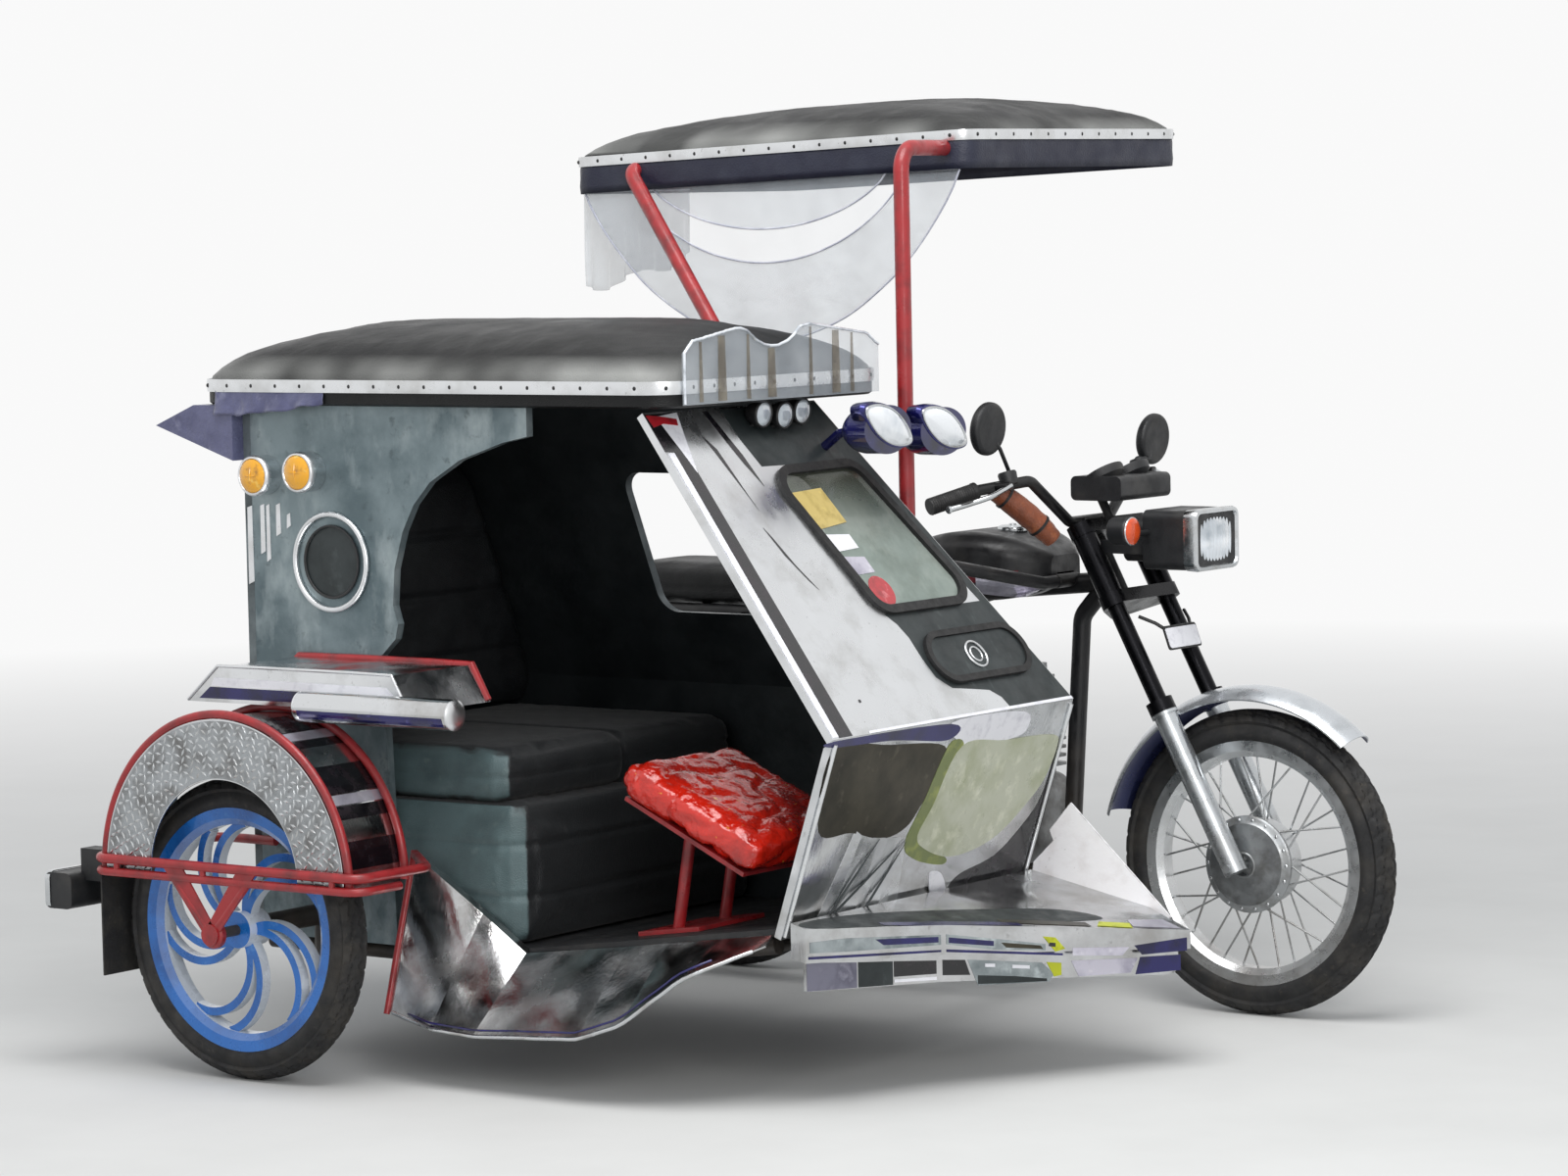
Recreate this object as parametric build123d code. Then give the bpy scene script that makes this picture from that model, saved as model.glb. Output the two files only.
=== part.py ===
from build123d import *
from math import atan2, cos, degrees, hypot, radians, sin, sqrt, tan
import os

# Motor tricycle: a motorcycle with a roofed passenger sidecar on its right side.
# Millimetres, +X forward, +Y to the motorcycle's left, +Z up, floor at Z = 0.
# Sizes below are measured from three datums: the front axle (X = 0), the motorcycle's
# mid plane (Y = 0) and the floor (Z = 0). save() moves every piece to the stored origin,
# the middle of the whole outline on the floor.

os.makedirs("parts", exist_ok=True)

# Motorcycle wheels and steering
WHEELBASE = 1280.0
FRONT_TYRE_R = 298.5
FRONT_TYRE_W = 70.0
FRONT_TYRE_WALL = 59.5
FRONT_RIM_R = FRONT_TYRE_R - FRONT_TYRE_WALL
REAR_TYRE_R = 292.0
REAR_TYRE_W = 80.0
REAR_TYRE_WALL = 66.0
REAR_RIM_R = REAR_TYRE_R - REAR_TYRE_WALL
RAKE = 27.5
FORK_OFFSET = 45.0
FORK_HALF = 95.0
FORK_TUBE_R = 17.0
FORK_SLIDER_R = 23.0
FENDER_LUG_S = FRONT_TYRE_R + 24.5
FORK_SLIDER_L = FENDER_LUG_S + 7.0
LOWER_CLAMP_S = 560.0
UPPER_CLAMP_S = 712.0
CLAMP_T = 26.0
HEAD_TUBE_R = 26.0
AXLE_R = 8.0
WHEEL_AXLE_PLAY = 0.06
SPOKES = 32
SPOKE_R = 2.0
HUB_DRUM_R = 84.0
BAR_R = 11.0
BAR_FWD = 12.0
BAR_RISE = 20.0
GRIP_R = 16.0
MIRROR_R = 52.0
RIM_W = 56.0
RIM_LIP_H = 10.0
RIM_LIP_T = 4.0
RIM_WELL = 16.0

# Motorcycle body
BACKBONE_Z = 812.0
SEAT_RAIL_Z = 756.0
SEAT_RAIL_HALF = 92.0
CRADLE_Z = 252.0
CRADLE_HALF = 62.0
DOWNTUBE_FOOT_X = -430.0
PIVOT_X = 445.0 - WHEELBASE
REAR_POST_X = PIVOT_X + 35.0
SEAT_END_X = -WHEELBASE - 200.0
PIVOT_Z = 345.0
SADDLE_TOP_Z = 842.0
TANK_TOP_Z = 932.0
TUNNEL_HALF = 30.0
SHOCK_Y = 126.0
SHOCK_TOP_X = 110.0 - WHEELBASE
PORT_X = -466.0
PORT_Y = -20.0
PORT_Z = 590.0
PEG_X = -690.0
PEG_Z = 234.0
REAR_GUARD_CROWN = 345.0
CASE_FRONT_R = 46.0
CASE_REAR_R = 84.0
CASE_Y = (54.0, 76.0)
CASE_T = 3.0

# Lugs on the motorcycle that carry the sidecar, and the side stand
LUG_X = -412.0
LUG_Y = -75.0
LUG_Z = 838.0
LINK_FRONT_X = -470.0
LINK_FRONT_Z = 224.0
LINK_REAR_Z = 305.0
LINK_Y = -130.0
LINK_END_Y = -440.0
STAND_PIVOT = (-750.0, 120.0, 270.0)
STAND_AXIS = (0.0, -0.9397, -0.342)
STAND_PIN_R = 6.0
STAND_L = 250.0
STAND_PLAY = 0.06

# Motorcycle roof
CANOPY_X = (-1330.0, -372.0)
CANOPY_Y = (-420.0, 350.0)
CANOPY_EDGE_Z = 1692.0
CANOPY_DOME_H = 96.0
CANOPY_SKIRT = 62.0
CANOPY_WALL = 12.0
CANOPY_TILT = 2.0
POST_R = 15.0
POST_X = -402.0
POST_Y = -596.0
REAR_BRACE_X = -806.0
POST_FOOT_Z = (985.0, 1125.0)
HOOP_R = 11.0
CURTAIN_T = 3.0

# Sidecar body
SIDE_Y = -1270.0
INNER_Y = -500.0
WALL = 18.0
BACK_X = -1463.0
NOSE_X = -100.0
NOSE_Z = 660.0
FRONT_FOOT_X = -221.8
FRONT_FOOT_Z = 300.0
SCREEN_TOP_X = -470.0
SCREEN_TOP_Z = 1178.0
INNER_LEAN = 0.44
SHEET = 15.0
FLOOR_Z = 225.0
FLOOR_T = 15.0
FLOOR_KNEE_X = -800.0
FLOOR_FRONT_X = -237.0
FLOOR_FRONT_Z = 303.0
ROOF_X = (-1561.0, -428.0)
ROOF_Y = (-1300.0, -615.0)
ROOF_Z = 1265.0
ROOF_DOME_H = 120.0
ROOF_EDGE = 32.0
WALL_SLANT = sqrt(1 + INNER_LEAN * INNER_LEAN)
SCREEN_RISE = (SCREEN_TOP_Z - NOSE_Z) / hypot(SCREEN_TOP_Z - NOSE_Z, NOSE_X - SCREEN_TOP_X)
SCREEN_END_Z = 1225.0
WINDOW_R = 45.0
GLASS_T = 5.0
OVAL_AT = (556.0, 123.0)
OVAL_L = 312.0
OVAL_H = 110.0
INNER_WINDOW_X = (-1000.0, -550.0)
INNER_WINDOW_Z = (800.0, 1080.0)
PLATE_Y = -885.0
PLATE_Z = 560.0
PLATE_HOLE_GAP = 150.0
PLATE_HOLE_R = 3.25
SEAT_Z = 500.0
CUSHION_Z = 600.0
JUMP_AT = (-450.0, -1080.0, 500.0)
JUMP_TILT = 25.0
JUMP_W = 350.0
JUMP_T = 70.0
BUMPER_T = 4.0
BUMPER_STEP = 16.0
SILL_T = 4.0
AMBER_AT = ((-1405.0, 1101.0), (-1293.0, 1109.0))

# Sill plate stations: X, flange Y, top Y, top Z, lower edge Y, lower edge Z
SILL_STATIONS = (
    (-1030.0, -1282.0, -1300.0, 400.0, -1390.0, 125.0),
    (-900.0, -1254.0, -1272.0, 300.0, -1430.0, 110.0),
    (-800.0, -1252.0, -1272.0, 234.0, -1430.0, 105.0),
    (-560.0, -1252.0, -1272.0, 264.0, -1430.0, 120.0),
    (-470.0, -1252.0, -1272.0, 277.0, -1420.0, 150.0),
    (-350.0, -1252.0, -1272.0, 293.0, -1390.0, 240.0),
    (-240.0, -1252.0, -1272.0, 308.0, -1292.0, 292.0),
)

# Sidecar wheel and its guard
SC_WHEEL_X = -1257.0
SC_WHEEL_Y = -1521.0
SC_TYRE_R = 281.0
SC_TYRE_W = 68.0
SC_TYRE_WALL = 55.0
SC_RIM_R = SC_TYRE_R - SC_TYRE_WALL
SC_AXLE_R = 10.0
GUARD_X = SC_WHEEL_X + 22.0
GUARD_Z = SC_TYRE_R + 104.0
GUARD_R = SC_TYRE_R + 11.0
GUARD_HOLE_R = 181.0
GUARD_T = 3.0
CHROME_BOX_H = 66.4
GUARD_OUT_Y = SC_WHEEL_Y - 85.0
GUARD_IN_Y = SC_WHEEL_Y + 81.0
RAIL_R = 9.0
RAIL_TUBE_R = 16.0
HOOP_TUBE_R = 8.0
HUB_BOSS_Y = GUARD_OUT_Y + 6.0
SEAT_GAP = 0.3
RAIL_Y = GUARD_OUT_Y - RAIL_R - SEAT_GAP
FRAME_OUT_Y = SIDE_Y + 32.0
FRAME_IN_Y = INNER_Y - 20.0
LUG_END_Y = FRAME_IN_Y + 38.0
RAIL_Z = (GUARD_Z + 20.0, GUARD_Z - 4.0)

# Whole outline, for the stored origin
TAIL_X = -1690.0
GRIP_END_Y = 392.0
X_MID = (FRONT_TYRE_R + TAIL_X) / 2
Y_MID = (RAIL_Y - RAIL_R + GRIP_END_Y) / 2


def save(node, *solids):
    """Write one node, moved from the datums to the stored origin."""
    flat = []
    for shape in solids:
        flat += list(shape.solids())
    whole = flat[0] if len(flat) == 1 else Compound(children=flat)
    export_step(whole.moved(Location((-X_MID, -Y_MID, 0))), f"parts/{node}.step")


def block(x, y, z):
    """Box from (low, high) pairs."""
    size = [abs(p[1] - p[0]) for p in (x, y, z)]
    mid = [(p[0] + p[1]) / 2 for p in (x, y, z)]
    return Pos(*mid) * Box(*size)


def bar(a, b, r):
    """Round bar between two points."""
    a, b = Vector(*a), Vector(*b)
    seat = Plane(origin=a, z_dir=b - a)
    return seat * Cylinder(r, (b - a).length, align=(Align.CENTER, Align.CENTER, Align.MIN))


def bent_bar(points, r, bend):
    """Round bar along straight runs joined by arcs of radius bend."""
    path = FilletPolyline(*points, radius=bend)
    return sweep(Plane(origin=path @ 0, z_dir=path % 0) * Circle(r), path=path)


def cross_bar(x, z, y0, y1, r):
    """Round bar across the vehicle."""
    return bar((x, y0, z), (x, y1, z), r)


def joined(shapes):
    """Union of a list of shapes in one step."""
    return shapes[0] + shapes[1:] if len(shapes) > 1 else shapes[0]


def added(shapes):
    """Union of a list of shapes, one after another."""
    whole = shapes[0]
    for shape in shapes[1:]:
        whole = whole + shape
    return whole


def side_plate(points, y0, y1):
    """Plate whose outline is drawn in X and Z, between two Y planes."""
    face = Plane.XZ * make_face(Polyline(*points, close=True))
    return Pos(0, max(y0, y1), 0) * extrude(face, amount=abs(y1 - y0))


def end_plate(points, x0, x1):
    """Plate whose outline is drawn in Y and Z, between two X planes."""
    face = Plane.YZ * make_face(Polyline(*points, close=True))
    return Pos(min(x0, x1), 0, 0) * extrude(face, amount=abs(x1 - x0))


def rounded_plan(x, y, r):
    """Rounded rectangle in plan between (low, high) pairs."""
    return Pos(sum(x) / 2, sum(y) / 2) * RectangleRounded(x[1] - x[0], y[1] - y[0], r)


# Wheels


def tyre(outer, width, lip, rim_w):
    """Tyre about Y: a foot between the rim's lips, two bulged walls and a rounded crown."""
    half = width / 2
    bead = lip - RIM_LIP_H
    wall = outer - lip
    foot = rim_w / 2 - RIM_LIP_T - 1.2
    neck = foot + 0.7
    shoulder = (outer - 0.3 * wall, 0.42 * width)
    right = ThreePointArc((lip + 1, neck), (lip + 0.35 * wall, half), shoulder)
    crown = ThreePointArc(shoulder, (outer, 0), (shoulder[0], -shoulder[1]))
    left = ThreePointArc((shoulder[0], -shoulder[1]), (lip + 0.35 * wall, -half), (lip + 1, -neck))
    base = Polyline((lip + 1, -neck), (bead, -foot), (bead, foot), (lip + 1, neck))
    return revolve(make_face([right, crown, left, base]), Axis.Y, 360)


def ring(outer, inner, y0, y1):
    """Flat ring about Y."""
    low, high = min(y0, y1), max(y0, y1)
    face = make_face(Polyline((inner, low), (outer, low), (outer, high), (inner, high), close=True))
    return revolve(face, Axis.Y, 360)


def rim(lip, width):
    """Rim about Y: a channel with two turned lips around a raised well."""
    half = width / 2
    bead = lip - RIM_LIP_H
    well = bead - RIM_WELL
    ledge = half - RIM_LIP_T
    points = [(well - 6, -0.28 * width), (well - 6, 0.28 * width), (bead - 10, half - 2), (lip, half),
              (lip, ledge), (bead - SEAT_GAP, ledge - 0.5), (well, 0.2 * width), (well, -0.2 * width),
              (bead - SEAT_GAP, 0.5 - ledge), (lip, -ledge), (lip, -half), (bead - 10, 2 - half)]
    return revolve(make_face(Polyline(*points, close=True)), Axis.Y, 360)


def wire_wheel(lip, width, drum_r, drum_half, flange_r, flange_half):
    """Rim, brake drum hub and crossed wire spokes about Y."""
    well = lip - RIM_LIP_H - RIM_WELL
    hub = ring(drum_r, AXLE_R + WHEEL_AXLE_PLAY, -drum_half, drum_half * 0.45)
    hub += ring(flange_r * 0.62, AXLE_R + WHEEL_AXLE_PLAY, 0, flange_half + 8)
    hub += ring(flange_r, AXLE_R + WHEEL_AXLE_PLAY, flange_half - 3, flange_half + 2)
    pieces = [rim(lip, width), hub]
    step = 360.0 / SPOKES
    for k in range(SPOKES):
        side = 1 if k % 2 else -1
        cross = 1 if (k // 2) % 2 else -1
        root_r = flange_r - 5 if side > 0 else drum_r - 2
        root_y = flange_half if side > 0 else -drum_half + 8
        at = radians(k * step)
        root = at + cross * radians(2.6 * step)
        tip_r = well - 3
        foot = (root_r * cos(root), root_y, root_r * sin(root))
        tip = (tip_r * cos(at), side * 4, tip_r * sin(at))
        pieces.append(bar(foot, tip, SPOKE_R))
    return joined(pieces)


def swirl_wheel():
    """Sidecar wheel about Y: five pairs of curved spokes from the hub to the rim."""
    hub_r = 34.0
    hub = ring(hub_r, SC_AXLE_R + WHEEL_AXLE_PLAY, -30, 30)
    pieces = [rim(SC_RIM_R, RIM_W), hub]
    reach = SC_RIM_R - RIM_LIP_H - RIM_WELL - 3
    spoke_w = 15.0
    for k in range(5):
        for twist, spread in ((-46.0, -9.0), (-46.0, 13.0)):
            a0 = radians(72 * k + spread * 0.4)
            a1 = radians(72 * k + twist + spread * 1.25)
            am = (a0 + a1) / 2 + radians(13)
            p0 = (hub_r * 0.7 * cos(a0), hub_r * 0.7 * sin(a0))
            p1 = (0.56 * reach * cos(am), 0.56 * reach * sin(am))
            p2 = (reach * cos(a1), reach * sin(a1))
            path = ThreePointArc(p0, p1, p2)
            blade = extrude(trace(path, line_width=spoke_w), amount=11, both=True)
            pieces.append(Rot(90, 0, 0) * blade)
    return joined(pieces)


def at_wheel(shape, x, y, z):
    return Pos(x, y, z) * shape


def wheels():
    front_rubber = tyre(FRONT_TYRE_R, FRONT_TYRE_W, FRONT_RIM_R, RIM_W)
    save("front_tyre", at_wheel(front_rubber, 0, 0, FRONT_TYRE_R))
    front = wire_wheel(FRONT_RIM_R, RIM_W, HUB_DRUM_R, 44, 38, 36)
    save("front_wheel", at_wheel(front, 0, 0, FRONT_TYRE_R))
    rear_rubber = tyre(REAR_TYRE_R, REAR_TYRE_W, REAR_RIM_R, RIM_W)
    save("rear_tyre", at_wheel(rear_rubber, -WHEELBASE, 0, REAR_TYRE_R))
    rear = wire_wheel(REAR_RIM_R, RIM_W, 76, 46, 40, 34)
    sprocket = ring(72, AXLE_R + WHEEL_AXLE_PLAY, 40, 48)
    save("rear_wheel", at_wheel(rear + sprocket, -WHEELBASE, 0, REAR_TYRE_R))
    sidecar_rubber = tyre(SC_TYRE_R, SC_TYRE_W, SC_RIM_R, RIM_W)
    save("sidecar_tyre", at_wheel(sidecar_rubber, SC_WHEEL_X, SC_WHEEL_Y, SC_TYRE_R))
    save("sidecar_wheel", at_wheel(swirl_wheel(), SC_WHEEL_X, SC_WHEEL_Y, SC_TYRE_R))


# Steering: points along the fork are s above the axle and f forward of the steering axis

UP = (-sin(radians(RAKE)), cos(radians(RAKE)))
FWD = (cos(radians(RAKE)), sin(radians(RAKE)))
STEER_X0 = -FORK_OFFSET * FWD[0]
STEER_Z0 = FRONT_TYRE_R - FORK_OFFSET * FWD[1]


def steer_point(s, f=0.0, y=0.0):
    return (STEER_X0 + s * UP[0] + f * FWD[0], y, STEER_Z0 + s * UP[1] + f * FWD[1])


def head_at(x, y, z):
    """Point measured from the foot of the upper clamp on the steering axis."""
    foot = steer_point(UPPER_CLAMP_S)
    return (foot[0] + x, y, foot[2] + z)


def head_block(x, y, z):
    """Box from (low, high) pairs measured as head_at does."""
    low, high = head_at(x[0], y[0], z[0]), head_at(x[1], y[1], z[1])
    return block((low[0], high[0]), (low[1], high[1]), (low[2], high[2]))


def steer_plane(s):
    """Plane across the steering axis, X forward and Y left."""
    return Plane(origin=steer_point(s), x_dir=(FWD[0], 0, FWD[1]), z_dir=(UP[0], 0, UP[1]))


def fork():
    legs = []
    for side in (-1, 1):
        y = side * FORK_HALF
        lower = steer_point(-12, FORK_OFFSET, y)
        middle = steer_point(FORK_SLIDER_L, FORK_OFFSET, y)
        upper = steer_point(UPPER_CLAMP_S + 14, FORK_OFFSET, y)
        legs.append(bar(lower, middle, FORK_SLIDER_R) + bar(middle, upper, FORK_TUBE_R))
        legs.append(bar(steer_point(FORK_SLIDER_L - 6, FORK_OFFSET, y),
                        steer_point(FORK_SLIDER_L + 26, FORK_OFFSET, y), FORK_SLIDER_R + 4))
        shroud = bar(steer_point(LOWER_CLAMP_S + CLAMP_T, FORK_OFFSET, y),
                     steer_point(UPPER_CLAMP_S, FORK_OFFSET, y), FORK_TUBE_R + 7)
        legs.append(shroud)
    clamps = []
    for s in (LOWER_CLAMP_S, UPPER_CLAMP_S):
        plan = make_hull(Sketch([Pos(FORK_OFFSET, FORK_HALF) * Circle(27),
                                 Pos(FORK_OFFSET, -FORK_HALF) * Circle(27), Circle(30)]).edges())
        clamps.append(extrude(steer_plane(s) * plan, amount=CLAMP_T))
    axle = cross_bar(0, FRONT_TYRE_R, -FORK_HALF - 30, FORK_HALF + 30, AXLE_R)
    return joined(legs + clamps + [axle])


def head_lamp():
    """Rectangular lamp shell with its glass face, carried on the fork's ears."""
    shell = head_block((164, 281), (-80, 80), (-42, 74))
    shell = fillet(shell.edges().filter_by(Axis.X), 16)
    bowl = head_block((107, 164), (-62, 62), (-29, 57))
    shell += fillet(bowl.edges().filter_by(Axis.X), 22)
    for side in (-1, 1):
        shell += head_block((37, 173), (side * 62, side * 70.7), (-13, 13))
    return shell


def front_fender():
    r_in, t, half = FRONT_TYRE_R + 20, 3.0, 52.0
    face = make_face([ThreePointArc((r_in, half), (r_in + 24, 0), (r_in, -half)),
                      Line((r_in, -half), (r_in + t, -half)),
                      ThreePointArc((r_in + t, -half), (r_in + 24 + t, 0), (r_in + t, half)),
                      Line((r_in + t, half), (r_in, half))])
    guard = revolve(face, Axis.Y, 118)
    guard = Pos(0, 0, FRONT_TYRE_R) * Rot(0, -166, 0) * guard
    for side in (-1, 1):
        lug = steer_point(FENDER_LUG_S, FORK_OFFSET, 0)
        reach = FORK_HALF - FORK_SLIDER_R - 4 - SEAT_GAP
        guard += cross_bar(lug[0], lug[2], side * (half - 2), side * reach, 6)
    return guard


def bar_points(side):
    """Where the handlebar bends down, where a grip starts and where it ends."""
    return (Vector(*head_at(-23.3, side * 190, 134.7)), Vector(*head_at(-77.3, side * 292, 120.7)),
            Vector(*head_at(-123.3, side * GRIP_END_Y, 93.7)))


def handlebar():
    """Bar, its two clamp risers, rubber grips and the brake and clutch levers."""
    clamp_top = UPPER_CLAMP_S + CLAMP_T
    bar_x, _, bar_z = steer_point(clamp_top + BAR_RISE, BAR_FWD)
    pieces = []
    for side in (-1, 1):
        rise, grip_in, grip_out = bar_points(side)
        line = [(bar_x, 0, bar_z), (bar_x, side * 70, bar_z), tuple(rise), tuple(grip_in), tuple(grip_out)]
        pieces.append(bent_bar(line, BAR_R, 24))
        pieces.append(bar(tuple(grip_in + (grip_out - grip_in) * 0.08), tuple(grip_out), GRIP_R))
        perch = grip_in + (rise - grip_in) * 0.3
        pieces.append(bar(tuple(perch), (perch.X + 42, perch.Y, perch.Z + 4), 9))
        lever = [(perch.X + 40, perch.Y, perch.Z + 4), (perch.X + 36, side * 318, grip_in.Z - 8),
                 (grip_in.X + 2, side * (GRIP_END_Y - 6), grip_out.Z - 3)]
        pieces.append(bent_bar(lever, 5, 14))
        foot = steer_point(clamp_top + SEAT_GAP, BAR_FWD, side * 34)
        pieces.append(bar(foot, (bar_x, side * 34, bar_z), 13))
    return joined(pieces)


def mirrors():
    """Two round mirrors on bent stems."""
    glass = []
    for side, z in ((-1, 241), (1, 191)):
        middle = head_at(-46.3, side * 300, z)
        head = Plane(origin=middle, z_dir=(-0.97, 0, 0.1)) * Cylinder(MIRROR_R, 22)
        head = fillet(head.edges().filter_by(GeomType.CIRCLE), 9)
        stem = bent_bar([head_at(-45.3, side * 232, 140.3), head_at(-45.3, side * 232, 157),
                         head_at(-39.3, side * 270, z - 40), head_at(-46.3, side * 300, z - 8)], 4, 8)
        glass.append(head + stem)
    return glass


def steering():
    save("fork", fork())
    save("front_fender", front_fender())
    save("headlamp", head_lamp())
    save("handlebar", handlebar())
    save("mirrors", *mirrors())
    cluster = head_block((7, 123), (-92, 92), (91, 139))
    cluster = fillet(cluster.edges().filter_by(Axis.Y), 12)
    foot = UPPER_CLAMP_S + CLAMP_T + SEAT_GAP
    bracket = bar(steer_point(foot, 58), steer_point(foot + 56, 58), 9)
    save("instruments", cluster + bracket)
    signals = []
    for side in (-1, 1):
        lamp = Pos(*head_at(165.7, side * 158, 38.7)) * Rot(0, 90, 0) * Cylinder(27, 46)
        lamp = fillet(lamp.edges().filter_by(GeomType.CIRCLE), 8)
        arm_x, _, arm_z = head_at(175, 0, 31)
        signals.append(lamp + cross_bar(arm_x, arm_z, side * (80 + SEAT_GAP), side * 150, 6))
    save("turn_signals", *signals)


# Motorcycle body, fixed to the frame


def moto_frame():
    """Steel tube frame: head, backbone, single downtube, twin cradle and seat rails."""
    head_low = steer_point(LOWER_CLAMP_S + CLAMP_T + SEAT_GAP)
    head_high = steer_point(UPPER_CLAMP_S - SEAT_GAP)
    tubes = [bar(head_low, head_high, HEAD_TUBE_R)]
    neck = steer_point(628)
    spine = [(neck[0] - 10, 0, neck[2]), (-600, 0, BACKBONE_Z), (REAR_POST_X, 0, SEAT_RAIL_Z)]
    down = [(neck[0] - 8, 0, neck[2] - 4), (-398, 0, 764), (DOWNTUBE_FOOT_X, 0, CRADLE_Z + 60)]
    tubes += [bent_bar(spine, 20, 60), bent_bar(down, 18, 40)]
    for x in (-500, -560):
        tubes.append(cross_bar(x, BACKBONE_Z + 6, 0.3 - TUNNEL_HALF, TUNNEL_HALF - 0.3, 8))
    tubes.append(cross_bar(LUG_X, LUG_Z, LUG_Y, 0, 14))
    for side in (-1, 1):
        y = side * CRADLE_HALF
        tubes.append(bent_bar([(DOWNTUBE_FOOT_X, 0, CRADLE_Z + 66), (DOWNTUBE_FOOT_X - 12, y, CRADLE_Z),
                               (PIVOT_X, y, CRADLE_Z)], 13, 20))
        tubes.append(bar((PIVOT_X, y, CRADLE_Z - 4), (PIVOT_X, y, PIVOT_Z + 20), 14))
        tubes.append(bar((PIVOT_X, y, PIVOT_Z), (REAR_POST_X, side * 40, SEAT_RAIL_Z - 8), 15))
        rail = side * SEAT_RAIL_HALF
        tubes.append(bent_bar([(REAR_POST_X + 20, 0, SEAT_RAIL_Z), (REAR_POST_X - 80, rail, SEAT_RAIL_Z),
                               (SEAT_END_X, rail, SEAT_RAIL_Z)], 13, 30))
        tubes.append(bar((PIVOT_X, y, PIVOT_Z + 10), (SHOCK_TOP_X, rail, SEAT_RAIL_Z), 11))
        tubes.append(cross_bar(SHOCK_TOP_X + 2, SEAT_RAIL_Z - 12, rail, side * SHOCK_Y, 9))
        tubes.append(cross_bar(PEG_X, PEG_Z, side * CRADLE_HALF, side * 210, 10))
    tubes.append(cross_bar(PIVOT_X, PIVOT_Z, -CRADLE_HALF - 14, CRADLE_HALF + 14, 16))
    for x in (-WHEELBASE, SEAT_END_X + 10):
        tubes.append(cross_bar(x, SEAT_RAIL_Z, -SEAT_RAIL_HALF, SEAT_RAIL_HALF, 11))
    guard_top = (-WHEELBASE, 0, REAR_TYRE_R + REAR_GUARD_CROWN + SEAT_GAP)
    tubes.append(bar((-WHEELBASE, 0, SEAT_RAIL_Z), guard_top, 10))
    tubes.append(cross_bar(STAND_PIVOT[0], CRADLE_Z, -CRADLE_HALF, CRADLE_HALF, 11))
    drop_end = (LINK_FRONT_X, -CRADLE_HALF, LINK_FRONT_Z - 8)
    tubes.append(bar((LINK_FRONT_X, -CRADLE_HALF, CRADLE_Z), drop_end, 14))
    tubes.append(cross_bar(LINK_FRONT_X, LINK_FRONT_Z, -CRADLE_HALF, LINK_Y, 12))
    tubes.append(cross_bar(PIVOT_X, LINK_REAR_Z, -CRADLE_HALF, LINK_Y, 12))
    tubes.append(bar(stand_point(-16), stand_point(64), STAND_PIN_R))
    return joined(tubes)


def engine():
    case = block((-770, -480), (-80, 80), (CRADLE_Z + 13 + SEAT_GAP, 440))
    case = fillet(case.edges().filter_by(Axis.Y), 42)
    right = Pos(-640, -104, 354) * Rot(90, 0, 0) * Cylinder(82, 48)
    left = Pos(-590, 100, 352) * Rot(90, 0, 0) * Cylinder(72, 40)
    clutch = fillet(right.edges().group_by(Axis.Y)[0], 14)
    dynamo = fillet(left.edges().group_by(Axis.Y)[-1], 12)
    kick = [bar((-700, -120, 352), (-700, -150, 352), 11), bar((-700, -146, 352), (-724, -152, 470), 8),
            bar((-724, -150, 466), (-724, -200, 470), 9)]
    save("engine_case", added([case + clutch + dynamo] + kick))
    base_z = 440.0
    pieces = [block((-620, -500), (-52, 52), (base_z + SEAT_GAP, 640))]
    fins = 9
    for k in range(fins):
        z = base_z + 18 + 17 * k
        grow = 22 if k < 7 else 26
        fin = Pos(-560, 0, z) * extrude(RectangleRounded(120 + 2 * grow, 104 + 2 * grow, 24), amount=5)
        pieces.append(fin)
    cap = block((-615, -505), (-44, 44), (630, 664))
    cap = fillet(cap.edges().filter_by(Axis.Z), 16)
    pieces.append(cap)
    pieces.append(bar((-505, PORT_Y, PORT_Z), (PORT_X, PORT_Y, PORT_Z), 21))
    pieces.append(bar((-612, 0, 575), (-705, 0, 570), 20))
    pieces.append(bar((-664, 0, 570), (-664, 0, 512), 25))
    save("engine_top", added([joined(pieces[:-2])] + pieces[-2:]))


def exhaust():
    line = [(PORT_X + SEAT_GAP, PORT_Y, PORT_Z), (-440, PORT_Y, PORT_Z), (-440, -104, 440),
            (-474, -138, 280), (-560, -150, 266), (-960, -176, 266)]
    pipe = bent_bar(line, 17, 16)
    muffler = bar((-958, -176, 266), (-1490, -186, 300), 36)
    return pipe + muffler + bar((-1480, -186, 299), (-1530, -187, 303), 18)


def tank():
    """Fuel tank: four rounded sections from the steering head back to the saddle."""
    stations = ((-436, 52, 826, 886), (-525, 128, 800, TANK_TOP_Z - 6), (-640, 134, 796, TANK_TOP_Z),
                (-790, 96, 790, 876))
    faces = []
    for x, half, low, high in stations:
        face = RectangleRounded(2 * half, high - low, min(half, (high - low) / 2) * 0.62)
        faces.append(Plane(origin=(x, 0, (low + high) / 2), x_dir=(0, 1, 0), z_dir=(1, 0, 0)) * face)
    return loft(faces) - block((-900, -380), (-TUNNEL_HALF, TUNNEL_HALF), (770, 852))


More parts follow.
